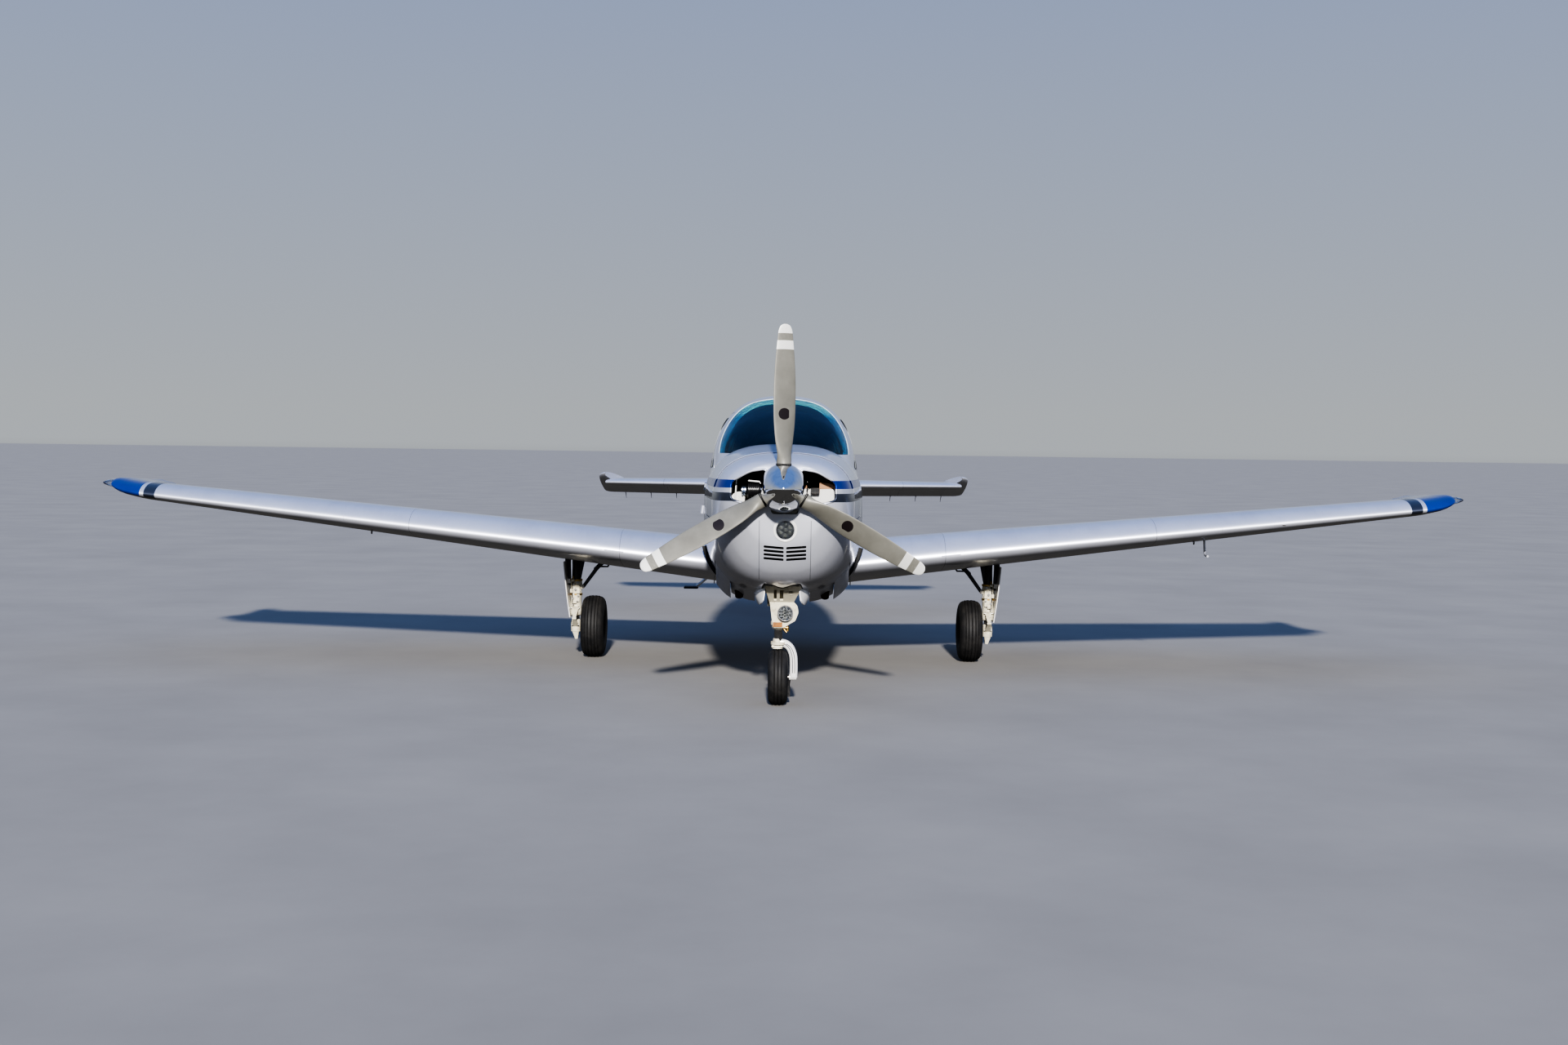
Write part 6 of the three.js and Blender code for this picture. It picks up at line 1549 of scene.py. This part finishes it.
x, s = through(BAY_EDGE, 60).T
edges = [rod(mm(x, s, belly(x, s) + 2), 5, 12)]
for name, side in SIDES:
    barrels = [rod([(side * 131, s - 26, 781), (side * 131, s + 26, 781)], 6, 16) for s in (860, 1135, 1410)]
    piece(f"nose_door_{name}", [loft([petal_ring(side, s) for s in PETAL_ROWS])] + barrels, FORK_WHITE)
    cowl_flap(f"cowl_flap_{name}", side, 1140, 341, 439, 840, 105)
    inner, x = cowl_flap(f"cowl_flap_inner_{name}", side, 1150, 182, 339, 730, 62), side * EXHAUST_X
    cut(inner, [rod([(x, 1196, 868), (x, 1330, 655), (x, 1420, 512)], 33, 32)])
    # The black flange at each wing root is painted shade along the fairing's edge.
    root = body_rings([2392], -14, 720)[0]
    root = root[(root[:, 0] * side > 0) & (root[:, 2] > 672) & (root[:, 2] < 940)]
    piece(f"root_shade_strip_{name}", link(root[np.argsort(root[:, 2])][::4], 13, 23, AFT, 4, 16), SEAL)
    s = steps(800, 1468, 60)
    edges.append(rod(mm(side * 129, s, belly(side * 129, s) + 3), 4, 12))
piece("bay_edge_seal", edges, SEAL)
arch = body_rings([703], -1, 720, hull_only=True)[0][24:337]
piece("cowl_front_lip", link(arch[::4], 24, 2.2, AFT, 3, 16), COWL_PAINT)

# %% [markdown]
# ## Engine
# A flat six: a crankcase with three finned cylinders on each side, rocker covers at their ends, an oil sump and
# intake pipes below. Through the inlets the alternator and the white baffles show, and from below the exhausts.
# A finned cylinder is a turned bar whose radius steps out at every pitch.

# %% Engine and its parts
CYLINDER_Z, CYLINDER_PITCH, ALTERNATOR = 1372, 190, (-138, 520, 1380)
BAFFLES = [[(-330, 1296), (-240, 1288), (-236, 1352), (-262, 1374), (-302, 1364), (-328, 1334)],
           [(150, 1272), (322, 1284), (346, 1330), (332, 1378), (300, 1394), (150, 1390)]]


def finned(origin, axis, inner, outer, end, pitch=9.0, sides=24):
    """Each pitch of the bar has a groove of the inner radius and a fin of the outer one."""
    d = (np.arange(0, end, pitch)[:, None] + pitch * np.array([0, 0.28, 0.5, 0.78])).ravel()
    r = np.tile([inner, outer, outer, inner], len(d) // 4)
    return turned(np.stack([r, d], axis=1), origin, axis, sides)


cases = [link(mm(0, [614, 640, 700, 1290, 1330], CYLINDER_Z), (70, 96, 108, 108, 90), (52, 72, 80, 80, 64), n=4),
         link(mm(0, [690, 720, 1250, 1290], 1180), (110, 140, 140, 110), (70, 90, 90, 70), n=4),
         turned([(42, 390.4), (42, 470), (62, 482), (92, 530), (98, 616)], (0, 0, SHAFT_Z)),
         link(mm(0, [1330, 1345, 1396, 1399], 1330), (80, 84, 84, 76), (90, 96, 96, 88), n=3)]
cylinders, covers = [], []
for name, side in SIDES:
    pipe_x, pipes = side * EXHAUST_X, []
    for i in range(3):
        s = 735 + CYLINDER_PITCH * i + (0 if side > 0 else 45)
        cylinders += [finned((side * 100, s, CYLINDER_Z), (side, 0, 0), 52, 70, 150),
                      finned((side * 250, s, CYLINDER_Z + 2), (side, 0, 0), 60, 76, 66, 8)]
        covers.append(link([(side * x, s, 1376) for x in (316, 340, 351)], (56, 54, 42), (42, 40, 30), AFT, 4))
        intake = [(side * 120, s + 30, 1170), (side * 240, s + 34, 1180), (side * 282, s + 20, 1310)]
        cases.append(rod(bend(intake, 60), 19))
        pipes.append(rod([(side * 300, s - 40, 1320), (side * 288, s - 40, 1130)], 20))
    tail_pipe = [(pipe_x, 690, 1126), (pipe_x, 1130, 1108), (pipe_x, 1196, 868), (pipe_x, 1330, 655)]
    pipes.append(rod(bend(tail_pipe, 70, 10), 26.8, 32))
    piece(f"exhaust_{name}", pipes, EXHAUST, slot="engine_casting",
          tools=[rod([(pipe_x, 1296, 709), (pipe_x, 1340, 637)], 23.5, 32)])
    x = side * 150
    mount = [rod([(x, 795, 1012), (x, 1499, 1030)], 15), rod([(x, 930, 1008), (x, 1499, 944)], 12),
             rod([(x, 820, 1012), (side * 132, 840, 1105)], 14)]
    piece(f"engine_mount_{name}", mount, PRIMER)
piece("engine_block", cases, CASE_GREY, nodes="engine", slot="engine_casting")
piece("engine_cylinders", cylinders, FIN_METAL, slot="engine_casting")
piece("rocker_covers", covers, BLACK_PART)
piece("alternator", [finned(ALTERNATOR, (-1, 0, 0), 44, 55, 84, 12, 40),
                     turned([(40, 84), (22, 92), (0.01, 92)], ALTERNATOR, (-1, 0, 0), 40),
                     rod([(-180, 540, 1380), (-120, 600, 1340)], 16)], BLACK_PART)
piece("alternator_pulley", turned([(14, 90), (31, 93), (31, 100), (25, 105), (31, 110), (31, 118), (12, 119)],
                                  ALTERNATOR, (-1, 0, 0), 40, closed=True), PULLEY)
piece("cooling_baffles", [slab(outline, 16, 5, 536, 541) for outline in BAFFLES] + [
    rod([(-290, 530, 1470), (-296, 530, 1310)], 5, 12), rod([(-120, 480, 1432), (-215, 480, 1440)], 5, 12),
    plate(-350, 350, 612, 616, 1250, 1296)], BAFFLE)
piece("oil_cooler", [slab([(222, 1394), (324, 1394), (302, 1424), (222, 1436)], 8, 4, 540, 600),
                     plate(176, 224, 500, 535, 1368, 1400, 4)], TAN_PART)
piece("relay_box", plate(168, 222, 486, 512, 1366, 1400, 4), BLACK_PART)
piece("recess_plate", [slab([(-86, 1292), (94, 1292), (80, 1244), (-66, 1244)], 12, 5, 426, 432),
                       turned([(12, 0), (12, -8), (7, -12), (0.01, -12)], (6, 427, 1252), AFT, 24),
                       rod([(-30, 424, 1252), (30, 424, 1252)], 4, 12)], PUTTY)
piece("firewall", loft(body_rings([1487, 1499.4], 15, hull_only=True)), PRIMER)
print("engine made,", len(cylinders), "finned bars")

# %% [markdown]
# ## Small outside fittings
# A step behind the wing lets people climb aboard. A bent air-speed tube hangs below the left wing. Short wicks
# trail from the elevator, a strip on each wing's nose makes the root stall first, and rings take the tie-downs.

# %% Step, tube, wicks, strips
STEP_S = 4700


def wing_under(side, x, s):
    """The height of the wing's lower skin at a distance out and a station, from its section there."""
    lower = wing_ring(x, side)[NOSE_POINT:]
    return float(np.interp(s, lower[:, 1], lower[:, 2]))


leg = bend([(-380, STEP_S, 860), (-620, STEP_S, 540), (-735, STEP_S, 442)], 90, 8)
tread = link(mm([-842, -838, -726, -722], STEP_S, 432), (54, 60, 60, 54), (6, 8, 8, 6), AFT, 8)
ridges = [rod([(x, STEP_S - 56, 440), (x, STEP_S + 56, 440)], 1.6, 6) for x in np.arange(-834, -728, 9.0)]
piece("boarding_step", rod(leg, 13, 24), FORK_WHITE, nodes="boarding_step", slot="gear_paint")
piece("step_tread", [tread] + ridges, SEAL)
z = wing_under(1, 3200, 2960)
mast = bend([(3200, 2990, z + 8), (3200, 2975, z - 70), (3200, 2960, z - 118), (3200, 2870, z - 122)], 30)
piece("air_speed_tube", [link(mast[:9], 22, 6, AFT, 3, 20), rod(mast[6:], 8.6)], PLAIN_WHITE)
wicks, small, strips = [], [], []
for _, side in SIDES:
    wicks += [rod([(side * x, 7965, 1149), (side * x, 8000, 1138), (side * x, 8060, 1092)], (5, 3.4, 1.6), 8)
              for x in (1120, 1386, 1650)]
    strips += [rod([wing_ring(out, side)[NOSE_POINT] + (0, 1, 2) for out in (x, x + 70)], 5, 6) for x in (1160, 1230)]
    a, under = circle(72), wing_under(side, 3100, 2900)
    small += [closed_rod(mm(side * 3100, 2900 + 15 * np.cos(a), under - 12 + 15 * np.sin(a)), 3.4),
              rod([(side * 505, 2700, 720), (side * 505, 2700, 628)], 4, 10),
              link([(side * 330, 3600, 605), (side * 330, 3600, 560)], (5, 4), (40, 26), ACROSS, 3, 20)]
_, s, z = wing_ring(3690, 1)[NOSE_POINT]
small.append(plate(3676, 3704, s - 9, s + 20, z - 8, z - 5, 1))
piece("static_wicks", wicks, SEAL, "elevator")
piece("stall_strips", strips, PLAIN_WHITE)
piece("small_fittings", small, STEEL)
piece("fork_stop", [plate(32, 60, 872, 908, 54, 118, 6), rod([(46, 890, 108), (52, 890, 160)], 9, 16)],
      BLACK_PART, "nose_fork")

# %% [markdown]
# ## Cabin floor, panel and controls
# The floor is carpeted. The panel is a padded shield over a face with round dials, a column of radios and two
# control yokes. The dials carry only a ring of marks and a pointer. The face leans: it falls 100 mm forward in
# its height of a metre.

# %% Floor, ends, panel
SHIELD = [(1780, 1560), (1900, 1612), (2110, 1612), (2120, 1600),
          (2090, 1590), (2060, 1290), (1985, 1290), (1960, 1560)]
PANEL_S, PANEL_TOP, FACE = 2090, 1590, np.array([0, 0.995, -0.0995])
BIG_DIAL, SMALL_DIAL = 39, 26
DIALS = [(x, z, BIG_DIAL) for x in (345, 252, 159) for z in (1530, 1440)]
DIALS += [(x, 1530, BIG_DIAL) for x in (-180, -272, -364)]
DIALS += [(x, 1372, SMALL_DIAL) for x in (340, 160, -170, -235, -300, -365)]
DIALS += [(x, 1450, SMALL_DIAL) for x in (-190, -255, -320, -385)]
RADIOS = (44, 52, 36, 36, 44)


def floor_ring(s):
    x = float(side_x(float(s), 800.0)) - 42
    return mm([-x, x, x, -x], s, [784, 784, 800, 800])


def face_s(z):
    return PANEL_S - 0.1 * (PANEL_TOP - z)


piece("cabin_floor", loft([floor_ring(s) for s in steps(1512, 4938, 100)]), CARPET)
piece("cabin_ends", [loft(body_rings(ends, 40)) for ends in ([1500.6, 1511], [4939, 4949.4])], LINING)
piece("instrument_panel_shield", slab(SHIELD, 12, 4, -600, 600, "x"), PANEL_BLACK, nodes="instrument_panel",
      slot="panel_plastic", keep=[loft(body_rings(steps(1520, 2420, 40), 39))])
frames, faces, marks, knobs = [], [], [], []
for x, z, r in DIALS:
    centre = np.array([x, face_s(z), z])
    frames.append(turned([(r, -2), (r, 5), (r - 4, 8), (r - 7, 4), (r - 7, -2)], centre, FACE, 32, closed=True))
    faces.append(turned([(r - 6.5, -1), (r - 6.5, 1.5), (0.01, 1.5)], centre, FACE, 32))
    for t in np.arange(8) * math.pi / 4 + 0.2:
        way = np.array([math.cos(t), 0.0995 * math.sin(t), math.sin(t)])
        marks.append(rod([centre + FACE * 2 + way * (r - 11), centre + FACE * 2 + way * (r - 8)], 0.9, 4))
    t = x * 0.05 + z * 0.03
    across, up = math.cos(t), math.sin(t)
    marks.append(rod([centre + FACE * 3 - 3 * np.array([across, 0, up]),
                      centre + FACE * 3 + (r - 13) * np.array([across, 0.1 * up, up])], (1.6, 0.7), 4))
for i, high in enumerate(RADIOS):
    z = 1572 - sum(RADIOS[:i]) - 4 * i - high
    s = face_s(z)
    frames.append(plate(-82, 82, s - 12, s + 14, z, z + high))
    faces.append(plate(-56, 56, s + 13, s + 15.5, z + 9, z + high - 9))
    knobs += [rod([(x, s + 12, z + high / 2), (x, s + 26, z + high / 2)], 7, 16) for x in (-69, 69)]
for x in (-34, 0, 34):
    knobs += [rod([(x, 2058, 1312), (x, 2120, 1306)], 4, 12), rod([(x, 2118, 1306), (x, 2144, 1303)], 12)]
for _, side in SIDES:
    x, hub = side * 250, np.array([side * 250.0, 2190, 1395])
    knobs += [rod([(x, 2040, 1395), (x, 2190, 1395)], 13, 24), rod([(x, 2178, 1395), (x, 2204, 1395)], 42, 40)]
    knobs += [rod(bend([hub, hub + (turn * 128, 0, 14), hub + (turn * 142, 10, 134)], 40, 8), np.linspace(12, 13, 10))
              for turn in (-1, 1)]
piece("dial_bezels", frames, PANEL_GREY)
piece("dial_faces", faces, DIAL_FACE)
piece("dial_marks", marks, MARK)
piece("control_yokes", knobs, BLACK_PART)
print("panel made,", len(DIALS), "dials")

# %% [markdown]
# ## Seats
# Six seats in three rows: a metal frame, a shell, and two cushions of pale leather each. A cushion starts as a
# block with rounded edges, a little too small. It is remeshed evenly and blown up as cloth, so that its sides
# crown and its corners hold back. One seat cushion and one backrest are blown up, and the six seats share them.
# Then the sewn channels are pressed in, and piping is laid where the cushion is widest.

# %% Cushions
CLOTH_FRAMES, VOXEL, PIPING, SEAT_FLOOR = 20, 0.0135, 4.2, 800.6


def pad_block(start, end, wide, deep):
    """A superellipse ring along a line, drawn in at both ends by (1 - |t|^6)^(1/4)."""
    t = np.linspace(-1, 1, 22)
    draw = np.maximum(1 - np.abs(t) ** 6, 0.05) ** 0.25
    path = np.asarray(start, float) + (np.asarray(end, float) - start) * (t[:, None] + 1) / 2
    return link(path, wide * draw, deep * draw, ACROSS, 5, 48)


def points_of(obj):
    return np.array([v.co for v in settled(obj).vertices])


def puffed(name, shape, cap):
    """Pressure blows the cloth up; then each point moves back until it is within the cap from its start."""
    obj = to_mesh(name, shape)
    modified(obj, "REMESH", mode="VOXEL", voxel_size=VOXEL, adaptivity=0)
    before = points_of(obj)
    cloth = modified(obj, "CLOTH")
    cloth.settings.use_pressure, cloth.settings.uniform_pressure_force = True, 4
    cloth.settings.effector_weights.gravity = 0
    cloth.point_cache.frame_end = CLOTH_FRAMES
    for number in range(1, CLOTH_FRAMES + 1):
        bpy.context.scene.frame_set(number)
    moved = points_of(obj) - before
    far = np.linalg.norm(moved, axis=1, keepdims=True)
    after = before + moved * np.minimum(1, cap / 1000 / np.maximum(far, 1e-9))
    obj.data.vertices.foreach_set("co", after.ravel())
    bpy.context.scene.frame_set(1)
    print(name, "moved by up to", round(float(far.max() * 1000), 1), "mm before its cap of", cap)
    modified(obj, "SUBSURF", levels=1, render_levels=1)
    points = points_of(obj) * 1000 + (0, LENGTH / 2, 0)
    quads = np.empty(len(obj.data.loops), np.int32)
    obj.data.loops.foreach_get("vertex_index", quads)
    bpy.data.objects.remove(obj)
    return points, quads.reshape(-1, 4), []


def press(shape, places, along, facing, level):
    """Sewn channels: a point sinks by 5 mm . exp(-(distance to the channel / 7 mm)^2) on the side that is seen."""
    points, quads, ends = shape
    points, side = points.copy(), points @ facing > level
    for place in places:
        points -= (5 * np.exp(-((points @ along - place) / 7) ** 2) * side)[:, None] * facing
    return points, quads, ends


def girth(points, level, up, u, v, count=160):
    """The outline of a pad at one level: in each direction the farthest point near that level, then smoothed."""
    near = points[np.abs(points @ up - level) < 9]
    middle = near.mean(axis=0)
    along, beside = (near - middle) @ u, (near - middle) @ v
    reach = np.zeros(count)
    turns = (np.arctan2(beside, along) + np.pi) / (2 * np.pi)
    np.maximum.at(reach, (turns * count).astype(int) % count, np.hypot(along, beside))
    for _ in range(2):
        reach = (reach + np.roll(reach, 1) + np.roll(reach, -1)) / 3
    a = (np.arange(count) + 0.5) / count * 2 * np.pi - np.pi
    return middle + reach[:, None] * (np.cos(a)[:, None] * u + np.sin(a)[:, None] * v)


def leather_finish():
    f = Finish("seat_leather_finish", (0.48, 0.43, 0.36), 0.5, Sheen_Weight=0.08)
    cell = f.tree.nodes.new("ShaderNodeTexVoronoi")
    cell.feature = "DISTANCE_TO_EDGE"
    cell.inputs["Scale"].default_value = 520
    f.tree.links.new(f.point, cell.inputs["Vector"])
    grain, wear = Field(f.tree, cell.outputs[0]), f.noise(5, 4)
    colour = f.mix(wear.ramp(0.4, 0.7), (0.50, 0.45, 0.38), (0.38, 0.33, 0.27))
    return f.done(colour, wear * 0.2 + 0.36, grain.ramp(0, 0.35) + wear * 0.3, 0.0006, 0.6)


LEATHER = leather_finish()
X_AXIS, S_AXIS, Z_AXIS = np.eye(3)
BACK_UP = unit([0, 105.0, 500.0])
BACK_FRONT = np.array([0, -BACK_UP[2], BACK_UP[1]])
cushion = puffed("cushion", pad_block((0, 16, 240), (0, 470, 226), 184, 54), 9)
backrest = puffed("backrest", pad_block((0, 506, 318), (0, 598, 838), 176, 38), 8)
cushion = press(cushion, (150, 250, 350), S_AXIS, Z_AXIS, 236)
back_level = lambda: float(backrest[0].mean(axis=0) @ BACK_FRONT)
backrest = press(backrest, (430, 560, 690, 800), BACK_UP, BACK_FRONT, back_level())
piping = [closed_rod(girth(cushion[0], 236, Z_AXIS, X_AXIS, S_AXIS), PIPING, 8),
          closed_rod(girth(backrest[0], back_level(), BACK_FRONT, X_AXIS, BACK_UP), PIPING, 8)]
frame_parts = [link(mm(0, [60, 74, 470, 486], 162), (150, 176, 176, 150), (20, 28, 28, 20)),
               link(mm(0, [548, 560, 640], [180, 260, 790]), (150, 165, 150), (6, 9, 8), ACROSS, 6),
               plate(-120, 120, 110, 450, 12, 134, 8)]
frame_parts += [plate(x - 10, x + 10, 90, 480, 0, 14, 2) for x in (-110, 110)]
for row, front, offset, scale in (("front", 2500, 228, 1), ("middle", 3220, 228, 1), ("rear", 3930, 205, 0.9)):
    for name, side in SIDES:
        def seated(points, quads, ends):
            return points * (scale, 1, scale) + (side * offset, front, SEAT_FLOOR), quads, ends
        for part, shape in (("cushion", cushion), ("backrest", backrest)):
            stands_for = f"{row}_seats" if (part, side) == ("cushion", 1) else ""
            pad = piece(f"{row}_{part}_{name}", seated(*shape), LEATHER, nodes=stands_for,
                        slot="seat_leather", sharp=80)
        piece(f"{row}_piping_{name}", seated(*together(*piping)), LEATHER)
        piece(f"{row}_seat_frame_{name}", seated(*together(*frame_parts)), PANEL_GREY)
print("seats made,", len(cushion[1]), "quads a cushion")

# %% [markdown]
# ## Floor, light and camera
# A plain pale floor, a low sun-like key light behind the camera, and a pale sky that is bluer overhead, so that
# chrome and glass have something to mirror. The floor throws no light back and isn't mirrored, so undersides stay
# as dark as over asphalt. The camera stands ahead of the aircraft at a person's eye height and looks at its nose.

# %% Stage, light, camera
FAR = 4e5
HORIZON, ZENITH, DARK_GROUND = (0.60, 0.63, 0.66), (0.22, 0.38, 0.82), (0.11, 0.105, 0.10)
floor = to_mesh("floor", (mm([-FAR, FAR, FAR, -FAR], [-FAR, -FAR, FAR, FAR], 0), np.array([[0, 1, 2, 3]]), []))
f = Finish("floor_finish", (0.33, 0.33, 0.33), 0.9)
worn = f.mix(f.noise(0.7, 6, 0.6).ramp(0.3, 0.75), (0.335, 0.32, 0.297), (0.28, 0.268, 0.25))
floor.data.materials.append(f.done(worn))
floor.visible_diffuse = floor.visible_glossy = False

world = bpy.data.worlds.new("pale_sky")
bpy.context.scene.world = world
world.use_nodes = True
sky = world.node_tree
direction, parts = sky.nodes.new("ShaderNodeTexCoord"), sky.nodes.new("ShaderNodeSeparateXYZ")
sky.links.new(direction.outputs["Generated"], parts.inputs[0])
height = Field(sky, parts.outputs[2])
upper = mix(sky, height.ramp(0.02, 0.55), HORIZON, ZENITH)
fill(sky, sky.nodes["Background"].inputs["Color"], mix(sky, height.ramp(-0.06, 0.0), DARK_GROUND, upper))
sky.nodes["Background"].inputs["Strength"].default_value = 0.62

sun = bpy.data.objects.new("low_key", bpy.data.lights.new("low_key", "SUN"))
sun.data.energy, sun.data.color, sun.data.angle = 5.2, (1.0, 0.955, 0.90), math.radians(2.5)
sun.location, sun.rotation_euler = (0, -20, 9), (math.radians(66.5), 0, math.radians(1.7))
bpy.context.scene.view_settings.look = "AgX - High Contrast"

camera = bpy.data.objects.new("camera", bpy.data.cameras.new("camera"))
camera.location = (0, -14.30, 1.652)
camera.rotation_euler = (math.radians(90 - 2.52), math.radians(-0.75), 0)
camera.data.lens, camera.data.sensor_width = 39.66, 36
for obj in (sun, camera):
    bpy.context.scene.collection.objects.link(obj)
bpy.context.scene.camera = camera
